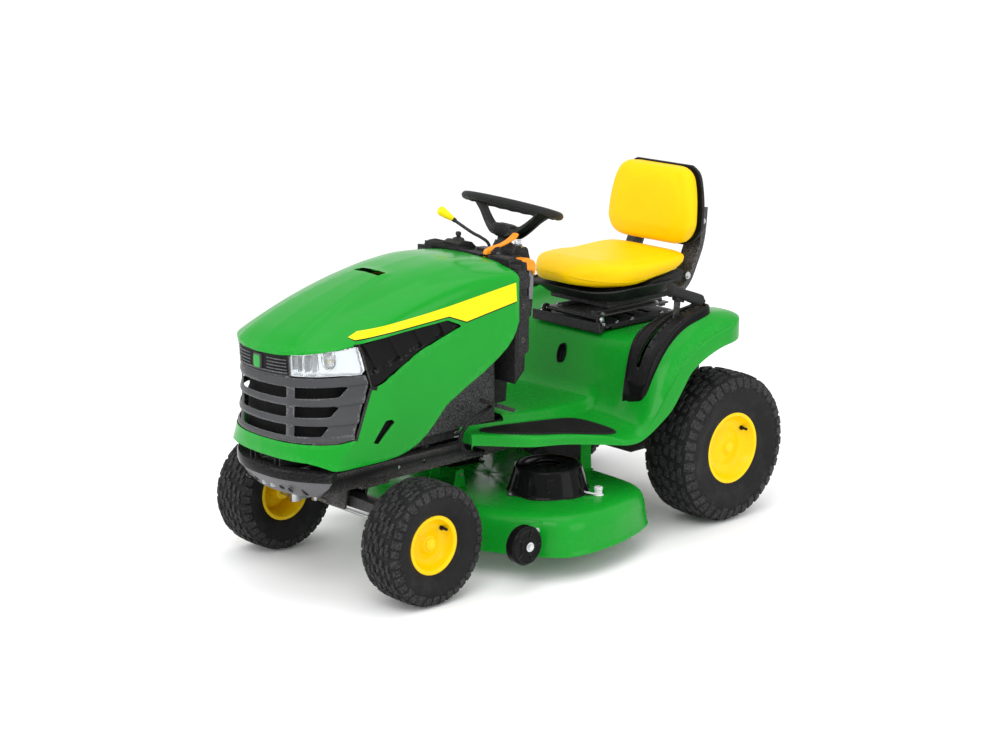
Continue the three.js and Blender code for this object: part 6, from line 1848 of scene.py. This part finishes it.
def shl(ins, back_):
    q = outl.copy()
    steps = max(1, int(abs(ins) / 3))
    for _ in range(steps):
        q = inset2(q, ins / steps)
        q = 0.5 * q + 0.25 * (np.roll(q, 1, 0) + np.roll(q, -1, 0))
    out = []
    for x, z in q:
        out.append((x, 121 + back_ + (z - 880) * 0.10, z))
    return out


g = G()
rings = [shl(12, 1.0), shl(5, 0.4), shl(1.5, 0.0), shl(0.0, 1.5), shl(-0.6, 5.0), shl(0.3, 9.0), shl(3.0, 12.5), shl(8.0, 15.2), shl(18, 17.0), shl(30, 18.4), shl(32, 16.8), shl(36, 16.6), shl(38, 18.6), shl(60, 20.0)]
last = rings[-1]
cz = 1016
rings += [[(x * k, 121 + 20.0 + 4 * (1 - k) + (cz + (z - cz) * k - 880) * 0.10, cz + (z - cz) * k) for x, y, z in last] for k in (0.8, 0.55, 0.3, 0.02)]
first = rings[0]
g.add(loft([[(x * 0.02, 124 + (cz + (z - cz) * 0.02 - 880) * 0.10, cz + (z - cz) * 0.02) for x, y, z in first], [(x * 0.6, 123 + (cz + (z - cz) * 0.6 - 880) * 0.10, cz + (z - cz) * 0.6) for x, y, z in first]] + rings, caps=False), 0)
for s in (1, -1):
    for z in (940, 996):
        g.add(bolt((s * 132, 121 + 20.5 + (z - 880) * 0.10 + 6, z), (0, 1, -0.1), 6.5, 4.5), 1)
obj("seat_back_moulding", g, ["black_plastic", "zinc_steel"], "seat", replaces="seat_back_shell", slot="black_plastic", angle=40, doubles=0)

# bolts of the seat hinge and slides under the pan
g = G()
for s in (1, -1):
    for y in (-250, 10):
        g.add(bolt((s * 104, y, 690), (0, 0, 1), 6.5, 4.5), 0)
obj("seat_bracket_bolts", g, "zinc_steel", "seat_hinge", doubles=0)

# -------------------------------------------------------------- steering wheel
SC = np.array([0, -565, 1080.0])
LA = math.radians(18)
AXW = np.array([0, math.sin(LA), math.cos(LA)])
E1 = np.array([1.0, 0, 0])
E2 = np.array([0, math.cos(LA), -math.sin(LA)])


def W(u, w, d):
    return SC + E1 * u + E2 * w - AXW * d


g = G()
# rim: a slightly flattened grip with finger swells underneath
NR, NS = 144, 20
v, f = [], []
for i in range(NR):
    t = 2 * math.pi * i / NR
    for k in range(NS):
        q = 2 * math.pi * k / NS
        rr = 13.0 + 0.9 * math.cos(24 * t) * max(0, -math.sin(q)) - 0.4
        a = 156 + rr * math.cos(q)
        b = rr * 0.98 * math.sin(q)
        v.append(tuple(W(a * math.cos(t), a * math.sin(t), -b)))
for i in range(NR):
    for k in range(NS):
        f.append((i * NS + k, i * NS + (k + 1) % NS, ((i + 1) % NR) * NS + (k + 1) % NS, ((i + 1) % NR) * NS + k))
g.add((v, f), 0)
# parting bead of the moulded rim
pl = [tuple(W(169.2 * math.cos(t), 169.2 * math.sin(t), 0)) for t in np.linspace(0, 2 * math.pi, 97)[:-1]]
g.add(tube(pl, 0.9, 6, closed=True, raw=True), 0)
sp_rows = [(157, 0, 7, 31), (152, 2, 8, 30), (138, 12, 20, 25), (118, 29, 40, 21), (92, 52, 66, 22), (66, 70, 86, 26), (40, 80, 100, 30), (22, 84, 104, 28)]
spk = Pchip([-p[0] for p in sp_rows], [p[1:] for p in sp_rows])
for a0 in (0, 90, 180):
    t0 = math.radians(a0)
    er = np.array([math.cos(t0), math.sin(t0)])
    et = np.array([-math.sin(t0), math.cos(t0)])
    rings = []
    for r in np.linspace(157, 22, 40):
        d0, d1, w_ = spk(-r)
        D_ = d1 - d0
        m_ = min(6.0, D_ - 0.5)
        sec = [(-w_, 0.8), (-w_ + 0.8, 0), (-w_ + 6, 0), (-w_ + 8, 2.2), (w_ - 8, 2.2), (w_ - 6, 0), (w_ - 0.8, 0), (w_, 0.8), (w_, D_), (w_ - 3.5, D_), (w_ - 3.5, m_), (-w_ + 3.5, m_), (-w_ + 3.5, D_), (-w_, D_)]
        ring = []
        for s_, n_ in sec:
            uw = er * r + et * s_
            ring.append(tuple(W(uw[0], uw[1], d0 + n_)))
        rings.append(ring)
    g.add(loft(rings), 1)
# hub
rings = []
for d, r, e in ((62, 25, 2.0), (63, 37, 3.4), (66, 43, 4.0), (72, 45, 4.4), (84, 44.5, 4.4), (96, 41, 4.0), (103, 37, 3.2), (106, 33, 2.5), (107, 24.5, 2.0), (118, 24, 2.0), (119, 14, 2.0)):
    ring = []
    for k in range(48):
        t = 2 * math.pi * k / 48
        c_, s_ = math.cos(t), math.sin(t)
        m = (abs(c_) ** e + abs(s_) ** e) ** (1 / e)
        kz = 0.76 if d < 107 else 1.0
        ring.append(tuple(W(r * c_ / m, kz * r * s_ / m, d)))
    rings.append(ring)
g.add(loft(rings), 1)
g.add(lathe([(0.01, -60), (22, -60), (26, -61.5), (27, -64), (27, -66), (0.01, -66)], "z", (0, 0, 0), 40), 1)
k0 = len(g.v) - 6 * 40
for i in range(k0, len(g.v)):
    x, y, z = g.v[i]
    g.v[i] = tuple(W(x, y, -z))
g.add(rod(tuple(W(0, 0, 110)), tuple(W(0, 0, 395)), 9.4, 24), 2)
obj("steering_wheel_finish", g, ["grip_rubber", "black_plastic", "black_steel"], "steering", replaces="steering_wheel" if "steering_wheel" in NODES else (), slot=SLOT_OF.get("steering_wheel"), angle=36, doubles=0)


# ------------------------------------------------------------ dash and levers
refine("dash_tower", "black_plastic", bevel=3.5, segs=3, bang=24)
g = G()
# heights of the tower's moulded seams; this loop adds nothing
for z in (560, 640, 720, 800):
    pass
# light grey slide block under the brake handle
g.add(plate(rounded([(-664, 800), (-608, 800), (-604, 846), (-604, 900), (-616, 908), (-660, 908), (-666, 880)], 7, 3), "x", 110, 142, 2.5), 4)
g.add(plate([(-640, 806), (-626, 806), (-626, 896), (-640, 896)], "x", 140, 143.2, 0.8), 2)
g.add(plate(rounded([(-668, 742), (-610, 742), (-602, 800), (-668, 800)], 7, 3), "x", 108, 138, 2.5), 0)
for s in (1, -1):
    g.add(plate(rounded([(-752, 640), (-706, 660), (-704, 840), (-752, 840)], 8, 3), "x", s * 226 - 0.5, s * 226 + s * 1.8, 1.2), 0)
    g.add(bolt((s * 227.5, -732, 700), (s, 0, 0), 6, 4), 3)
    g.add(bolt((s * 227.5, -732, 810), (s, 0, 0), 6, 4), 3)
# gaiter of the steering column
prof = [(8, 96), (27, 98), (31, 106), (27, 112), (33, 118), (29, 124), (36, 131), (32, 138), (40, 146), (36, 152), (43, 160), (44, 176), (30, 178), (8, 178)]
v, f = lathe(prof, "z", (0, 0, 0), 40)
g.add(([tuple(W(x, y, z + 22)) for x, y, z in v], f), 0)
obj("dash_tower_details", g, ["black_plastic", "grey_plastic", "mesh_black", "black_steel", "slide_grey"], "chassis", angle=34, doubles=0)

refine("dash_panel", "black_plastic", bevel=5.0, segs=3, bang=24, angle=34)
g = G()
# recessed vent field on the left of the panel, stepped frames, and the plinth of the choke knob
g.add(plate(rounded([(-196, -760), (-132, -760), (-132, -726), (-196, -726)], 6, 3), "z", 955, 966.5, 1.2), 0)
for k in range(4):
    g.add(plate([(-190 + k * 14, -755), (-182 + k * 14, -755), (-182 + k * 14, -731), (-190 + k * 14, -731)], "z", 965.5, 967.4, 0.5), 1)
g.add(plate(rounded([(190, -760), (104, -760), (104, -724), (190, -724)], 6, 3), "z", 948, 958, 1.2), 0)
# recess in the front wall
g.add(plate(rounded([(-171, 926), (-66, 926), (-66, 952), (-171, 952)], 4, 3), "y", -766.4, -763, 0.8), 1)
# choke knob on its plinth, on top of the hump
rings = []
for z, k in ((972, 1.0), (980, 0.94), (983, 0.82), (984.4, 0.4), (984.4, 0.02)):
    rings.append([(-85 + 24 * k * math.cos(t), -724 + 17 * k * math.sin(t), z) for t in np.linspace(0, 2 * math.pi, 33)[:-1]])
g.add(loft(rings, caps=False), 0)
g.add(lathe([(0.01, 982), (10, 982), (9.4, 986), (6, 988), (5.4, 993), (0.01, 993)], "z", (-85, -724, 0), 28), 0)
g.add(plate(rounded([(-93, 989), (-77, 989), (-75, 999), (-79, 1004), (-91, 1004), (-95, 999)], 4, 3), "y", -730, -718, 2.2), 0)
# slots that the clutch and throttle levers work in
g.add(plate([(66, -768), (94, -768), (94, -726), (66, -726)], "z", 953.5, 957.8, 0.6), 1)
g.add(plate(rounded([(-66, -650), (-40, -650), (-40, -600), (-66, -600)], 5, 2), "z", 921, 925, 1.0), 1)
# domed throttle hub
v, f = lathe([(0.01, -13), (20, -13), (25, -10.5), (27, -5), (27, 5), (25, 10.5), (20, 13), (0.01, 13)], "x", (80, -716, 952), 44)
g.add((v, f), 0)
g.add(lathe([(0.01, 0), (9, 0), (9, 2.0), (7, 3), (0.01, 3)], "x", (93, -716, 952), 24), 2)
# ignition housing with its bezel
g.add(plate(rounded([(-676, 921), (-604, 908), (-592, 924), (-602, 964), (-656, 976), (-670, 962)], 9, 3), "x", 62, 114, 4.0), 0)
g.add(lathe([(7.2, 964), (17, 964), (18, 968), (16, 973), (9, 974), (7.2, 972)], "z", (91, -630, 0), 40), 2)
for a0 in (0, 60):
    t = math.radians(a0 - 60)
    g.add(rod((91 + 20 * math.cos(t), -630 + 20 * math.sin(t), 968.5), (91 + 25 * math.cos(t), -630 + 25 * math.sin(t), 968.0), 1.2, 8), 3)
g.add(plate([(-604, 938), (-596, 936), (-598, 946), (-606, 948)], "x", 98, 110, 0.5), 3)
# screws of the panel
for x, y, z in ((-226, -742, 946), (228, -742, 918), (-104, -640, 944), (30, -700, 952)):
    g.add(rod((x, y, z - 4), (x, y, z + 2.2), 5, 20), 2)
# hour meter housing in the middle, blank
g.add(plate(rounded([(-30, -700), (30, -700), (30, -664), (-30, -664)], 8, 3), "z", 948, 958, 2.0), 0)
g.add(plate(rounded([(-24, -694), (24, -694), (24, -670), (-24, -670)], 5, 3), "z", 957, 959.2, 0.8), 2)
obj("dash_panel_details", g, ["black_plastic", "mesh_black", "grey_plastic", "yellow_grip"], "chassis", angle=34, doubles=0)

g = G()
g.add(tube([(-52, -614, 915), (-54, -615, 936), (-62, -618, 958), (-84, -632, 975), (-110, -648, 990), (-178, -686, 1038)], 5.3, 16, 40), 0)
g.add(lathe([(0.01, 0), (13, 0), (15, 4), (13, 10), (9, 14), (6, 22), (0.01, 22)], "z", (-52, -614, 914), 28), 0)
A, B = np.array([-162, -677, 1027.0]), np.array([-207, -703, 1059.0])
dd = (B - A) / np.linalg.norm(B - A)
L_ = np.linalg.norm(B - A)
u = np.cross(dd, [0, 0, 1.0])
u /= np.linalg.norm(u)
w = np.cross(dd, u)
prof = Pchip([0, 0.04, 0.12, 0.3, 0.55, 0.78, 0.9, 0.97, 1.0], [6.5, 8.5, 9.2, 11.5, 14.2, 15.6, 14.0, 9.0, 0.5])
rings = [[tuple(A + dd * L_ * t + float(prof(t)) * (math.cos(q) * u + math.sin(q) * w)) for q in np.linspace(0, 2 * math.pi, 37)[:-1]] for t in np.concatenate([np.linspace(0, 0.9, 24), np.linspace(0.92, 1, 9)])]
g.add(loft(rings), 1)
g.add(rod(tuple(A - dd * 9), tuple(A + dd * 1), 7.6, 24), 2)
obj("pto_lever_finish", g, ["black_steel", "yellow_grip", "black_plastic"], "pto", replaces="pto_lever", slot="yellow_plastic", angle=40, doubles=0)

# throttle paddle: a curved blade that flares at its finger end
pc = catmull([(-752, 963), (-738, 971), (-712, 976), (-690, 979), (-664, 986), (-640, 995), (-626, 1005)], 40)
t_ = np.gradient(pc, axis=0)
t_ /= np.linalg.norm(t_, axis=1, keepdims=True)
hw_ = Pchip([0, 0.1, 0.3, 0.55, 0.75, 0.9, 1.0], [8, 9.5, 9.5, 10.5, 12.5, 14.5, 13])
th_ = Pchip([0, 0.15, 0.4, 0.7, 0.9, 1.0], [6.5, 7, 5.2, 4.6, 5.2, 4.4])
rings = []
for i, (q, m) in enumerate(zip(pc, t_)):
    s0 = i / (len(pc) - 1)
    nn = np.array([-m[1], m[0]])
    ww, hh = float(hw_(s0)), float(th_(s0))
    ring = []
    for k in range(28):
        a_ = 2 * math.pi * k / 28
        c_, s_ = math.cos(a_), math.sin(a_)
        e = 0.55
        xx = ww * math.copysign(abs(c_) ** e, c_)
        yy_ = hh * math.copysign(abs(s_) ** 0.75, s_) - (1.6 * (1 - (xx / ww) ** 2) if s_ > 0 else 0)
        ring.append((80 + xx, *(q + nn * yy_)))
    rings.append(ring)
first, lastr = rings[0], rings[-1]
fc, lc = np.mean(first, 0), np.mean(lastr, 0)
t0, t1 = np.array([0, *t_[0]]), np.array([0, *t_[-1]])
rings = [[tuple(fc + (np.array(p) - fc) * k - t0 * o) for p in first] for k, o in ((0.02, 4.2), (0.5, 3.6), (0.85, 2.0))] + rings + [[tuple(lc + (np.array(p) - lc) * k + t1 * o) for p in lastr] for k, o in ((0.9, 2.0), (0.6, 4.0), (0.02, 4.8))]
g = G().add(loft(rings, caps=False), 0)
g.add(plate(rounded([(-763, 946), (-738, 946), (-734, 958), (-740, 974), (-756, 974), (-763, 964)], 6, 3), "x", 73, 87, 2.0), 0)
obj("throttle_lever_finish", g, "orange_plastic", "throttle", replaces="throttle_lever", slot="orange_plastic", angle=44, doubles=0)

# parking brake handle: an angled pull with a thick lip
g = G()
g.add(rod((129, -636, 830), (129, -636, 916), 5.8, 20), 1)
hp_ = rounded([(-667, 906), (-650, 900), (-628, 897), (-616, 893), (-606, 897), (-602, 908), (-606, 922), (-616, 931), (-640, 938), (-660, 941), (-668, 932)], 7, 4)
g.add(plate(hp_, "x", 117, 154, 4.5), 0)
g.add(plate(rounded([(-612, 880), (-603, 884), (-603, 905), (-616, 904)], 4, 3), "x", 120, 151, 3.0), 0)
g.add(plate(rounded([(-652, 936), (-622, 930), (-622, 935), (-652, 941)], 2, 2), "x", 124, 147, 1.4), 0)
obj("parking_lever_finish", g, ["orange_plastic", "zinc_steel"], "parking", replaces="parking_lever", slot="orange_plastic", angle=40, doubles=0)

# deck lift lever: flat arm, T-grip with a front flange and a release button
g = G()
arm = [(-244, 516), (-230, 508), (-216, 516), (-146, 700), (-138, 772), (-150, 784), (-163, 780), (-170, 705)]
g.add(plate(rounded(arm, 8, 3), "x", 345.5, 354.5, 1.4), 1)
g.add(rod((336, -230, 520), (364, -230, 520), 13, 28), 1)
g.add(bolt((364, -230, 520), (1, 0, 0), 8, 5), 2)
A, B = np.array([351, -190, 803.0]), np.array([388, -72, 753.0])
dd = (B - A) / np.linalg.norm(B - A)
L_ = np.linalg.norm(B - A)
u = np.cross(dd, [0, 0, 1.0])
u /= np.linalg.norm(u)
w = np.cross(dd, u)
prof = Pchip([0, 0.03, 0.07, 0.10, 0.13, 0.2, 0.5, 0.85, 0.94, 0.985, 1.0], [19, 23.5, 23.5, 21, 16.8, 17.0, 18.2, 19.8, 19.0, 14.5, 10.0])
rings = []
for t in np.concatenate([[0, 0.015, 0.03, 0.05, 0.07, 0.085, 0.10, 0.115, 0.13], np.linspace(0.15, 0.93, 46), [0.95, 0.97, 0.985, 1.0]]):
    r = float(prof(t)) - (0.75 if 0.2 < t < 0.88 and (int(t * 60) % 2) else 0)
    rings.append([tuple(A + dd * L_ * t + r * (math.cos(q) * u * 0.92 + math.sin(q) * w)) for q in np.linspace(0, 2 * math.pi, 41)[:-1]])
g.add(loft(rings), 0)
g.add(rod(tuple(B - dd * 3), tuple(B + dd * 7.5), 8.2, 24), 0)
g.add(plate(rounded([(-172, 764), (-132, 752), (-134, 786), (-166, 800)], 7, 3), "x", 340, 366, 3.0), 0)
obj("lift_lever_finish", g, ["grip_rubber", "black_steel", "zinc_steel"], "lift", replaces="lift_lever", slot="black_plastic", angle=36, doubles=0)

# filler cap with finger grips
g = G()
rings = []
for z, r, amp in ((668, 36, 0), (669, 37.5, 1.2), (686, 37, 1.4), (690, 34.5, 0.8), (691.5, 30, 0), (690.5, 22, 0), (690.5, 0.2, 0)):
    rings.append([((r + amp * math.cos(18 * t)) * math.cos(t) - 215, (r + amp * math.cos(18 * t)) * math.sin(t) + 30, z) for t in np.linspace(0, 2 * math.pi, 145)[:-1]])
g.add(loft(rings, caps=False), 0)
g.add(plate(rounded([(-250, 25), (-180, 25), (-180, 35), (-250, 35)], 4, 3), "z", 688, 698, 2.0), 0)
g.add(rod((-215, 30, 640), (-215, 30, 670), 30, 40), 0)
obj("fuel_cap_finish", g, "black_plastic", "cap", replaces="fuel_cap", slot="black_plastic", angle=36, doubles=0)

# ------------------------------------------------------------ seat platform
g = G()
PL = rounded([(-172, -300), (172, -300), (172, 60), (-172, 60)], 16, 4)
v, f = prism(PL, "z", 652.6, 664.4)
bmp = bmesh.new()
# plate made from a grid so that the slots can be cut through
NX_, NY_ = 24, 24
gr = {}
for i in range(NX_ + 1):
    for j in range(NY_ + 1):
        gr[i, j] = bmp.verts.new(P(-172 + 344 * i / NX_, -300 + 360 * j / NY_, 664.4))
for i in range(NX_):
    for j in range(NY_):
        bmp.faces.new((gr[i, j], gr[i + 1, j], gr[i + 1, j + 1], gr[i, j + 1]))
imprint(bmp, PL, "z", None, keep_only(bmp))
for s in (1, -1):
    for k in range(4):
        y0 = -262 + k * 72
        sl_ = rounded([(s * 36, y0), (s * 116, y0), (s * 116, y0 + 22), (s * 36, y0 + 22)], 10, 4)
        imprint(bmp, sl_, "z", None, delete_faces(bmp))
orient(bmp, (0, 0, 1))
from_bm("seat_platform_tray", bmp, "black_plastic", "chassis", replaces="seat_platform", slot="black_plastic", solid=(10, -1), bevel=1.4, segs=2, bang=40, angle=34)
g = G()
g.add(plate(rounded([(-323, 644), (-315, 640), (-296, 652), (-296, 664), (-314, 664), (-316, 677), (-323, 677)], 2, 2), "x", -160, 160, 2.0), 0)
for s in (1, -1):
    g.add(plate(rounded([(-306, 655), (-262, 655), (-272, 690), (-288, 697), (-302, 690)], 6, 3), "x", s * 128 - 4, s * 128 + 4, 1.4), 0)
    g.add(rod((s * 120, -288, 681), (s * 138, -288, 681), 6, 20), 1)
    g.add(bolt((s * 138, -288, 681), (s, 0, 0), 7.5, 4.5), 1)
    g.add(plate([(-296, 662), (54, 662), (54, 668.5), (-296, 668.5)], "x", s * 164 - 4, s * 164 + 4, 1.6), 0)
    for y in (-226, -154, -10, 36):
        g.add(bolt((s * 148, y, 664.4), (0, 0, 1), 6.5, 4.5), 1)
    g.add(bolt((s * 148, -300 + 12, 664.4), (0, 0, 1), 6.5, 4.5), 1)
g.add(rod((0, -310, 669), (0, -310, 672), 4, 12), 1)
obj("seat_platform_fittings", g, ["black_plastic", "bright_steel"], "chassis", angle=34, doubles=0)

# mouldings of the tank: parting flange, pressed panels and the two straps that hold it
g = G()
g.add(plate(rounded([(-233, -153), (233, -153), (233, 99), (-233, 99)], 20, 4), "z", 512, 519, 1.5), 0)
for x in (-162, -98, -34, 34, 98, 162):
    for z0, z1 in ((446, 503), (528, 585)):
        g.add(plate(rounded([(x - 24, z0), (x + 24, z0), (x + 24, z1), (x - 24, z1)], 8, 3), "y", 94, 100, 2.2), 0)
for s in (1, -1):
    for y in (-100, -30, 40):
        for z0, z1 in ((446, 503), (528, 585)):
            g.add(plate(rounded([(y - 26, z0), (y + 26, z0), (y + 26, z1), (y - 26, z1)], 8, 3), "x", s * 228, s * 234, 2.2), 0)
    g.add(plate([(s * 196, 432), (s * 214, 432), (s * 214, 598), (s * 196, 598)], "y", 95, 101, 1.0), 1)
    g.add(bolt((s * 205, 101, 560), (0, 1, 0), 6, 4), 2)
    g.add(bolt((s * 205, 101, 470), (0, 1, 0), 6, 4), 2)
obj("fuel_tank_mouldings", g, ["black_plastic", "black_steel", "zinc_steel"], "chassis", angle=34, doubles=0)


# ------------------------------------------------- CAD nodes that keep a shape
def _rest():
    """Every node not yet replaced gets a finished copy of itself in its own material."""
    plan = {
        "frame_rail_left": ("black_steel", 1.2), "frame_rail_right": ("black_steel", 1.2), "front_yoke": ("black_steel", 1.5), "axle_beam": ("black_steel", 3.0),
        "spindle_left": ("zinc_steel", 1.0), "spindle_right": ("zinc_steel", 1.0), "tie_rod": ("zinc_steel", 0.8), "drag_link": ("zinc_steel", 0.8),
        "engine": ("cast_dark", 3.5), "engine_pulley": ("zinc_steel", 1.0), "muffler": ("rust_steel", 2.5), "transaxle": ("cast_dark", 4.0), "hitch_plate": ("black_steel", 1.5),
        "fuel_tank": ("black_plastic", 14.0), "fuel_cap": ("black_plastic", 2.0), "seat_platform": ("black_plastic", 1.6), "seat_bracket": ("black_steel", 1.2), "dash_tower": ("black_plastic", 3.0),
        "blade_left": ("zinc_steel", 1.0), "blade_right": ("zinc_steel", 1.0), "discharge_chute": ("black_plastic", 1.5), "ignition_key": ("bright_steel", 0.8),
        "brake_pedal": ("black_plastic", 2.0), "forward_pedal": ("grey_plastic", 2.0), "reverse_pedal": ("grey_plastic", 2.0),
    }
    for n, o in NODES.items():
        if o.hide_render:
            continue
        m, b = plan.get(n, ("black_plastic", 1.5))
        refine(n, m, bevel=b)


_rest()

# ------------------------------------------------------- floor, light, camera
me = bpy.data.meshes.new("floor")
S = 40.0
me.from_pydata([(-S, -S, 0), (S, -S, 0), (S, S, 0), (-S, S, 0)], [], [(0, 1, 2, 3)])
floor = bpy.data.objects.new("floor", me)
scene.collection.objects.link(floor)
fm = bpy.data.materials.new("floor_pale")
fm.use_nodes = True
fb = fm.node_tree.nodes["Principled BSDF"]
fb.inputs["Base Color"].default_value = (0.965, 0.965, 0.968, 1)
fb.inputs["Roughness"].default_value = 0.65
fb.inputs["Specular IOR Level"].default_value = 0.2
me.materials.append(fm)
floor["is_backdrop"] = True

world = bpy.data.worlds.new("studio")
scene.world = world
world.use_nodes = True
bg = world.node_tree.nodes["Background"]
bg.inputs["Color"].default_value = (1, 1, 1, 1)
bg.inputs["Strength"].default_value = 1.06


def area(name, loc, target, size, power, size_y=None, colour=(1, 1, 1)):
    d = bpy.data.lights.new(name, "AREA")
    d.energy = power
    d.size = size
    d.color = colour
    if size_y:
        d.shape = "RECTANGLE"
        d.size_y = size_y
    o = bpy.data.objects.new(name, d)
    scene.collection.objects.link(o)
    o.location = loc
    o.rotation_euler = (Vector(target) - Vector(loc)).to_track_quat("-Z", "Y").to_euler()
    return o


area("key", (2.2, -3.2, 4.2), (0, -0.2, 0.5), 3.0, 90, 2.4)
area("top", (0.2, 0.3, 5.0), (0, 0, 0.4), 4.0, 60, 4.0)
area("side", (4.5, 1.2, 1.8), (0.1, 0.1, 0.5), 2.6, 40, 2.0)
area("front", (-1.6, -5.0, 1.8), (0, -0.4, 0.5), 2.6, 45, 1.8)

scene.view_settings.view_transform = "Standard"
scene.view_settings.look = "None"
scene.view_settings.exposure = 0.0
scene.view_settings.gamma = 1.0

cam = bpy.data.cameras.new("camera")
cam.lens = 79.77
cam.sensor_width = 36.0
cam.clip_end = 400
co = bpy.data.objects.new("camera", cam)
scene.collection.objects.link(co)
co.location = P(5163.6, -5399.7, 2322.7)
co.rotation_euler = (Vector(P(11.65, -631.0, 528.46)) - Vector(co.location)).to_track_quat("-Z", "Y").to_euler()
scene.camera = co

a, b = CAD_BOX
c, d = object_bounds()
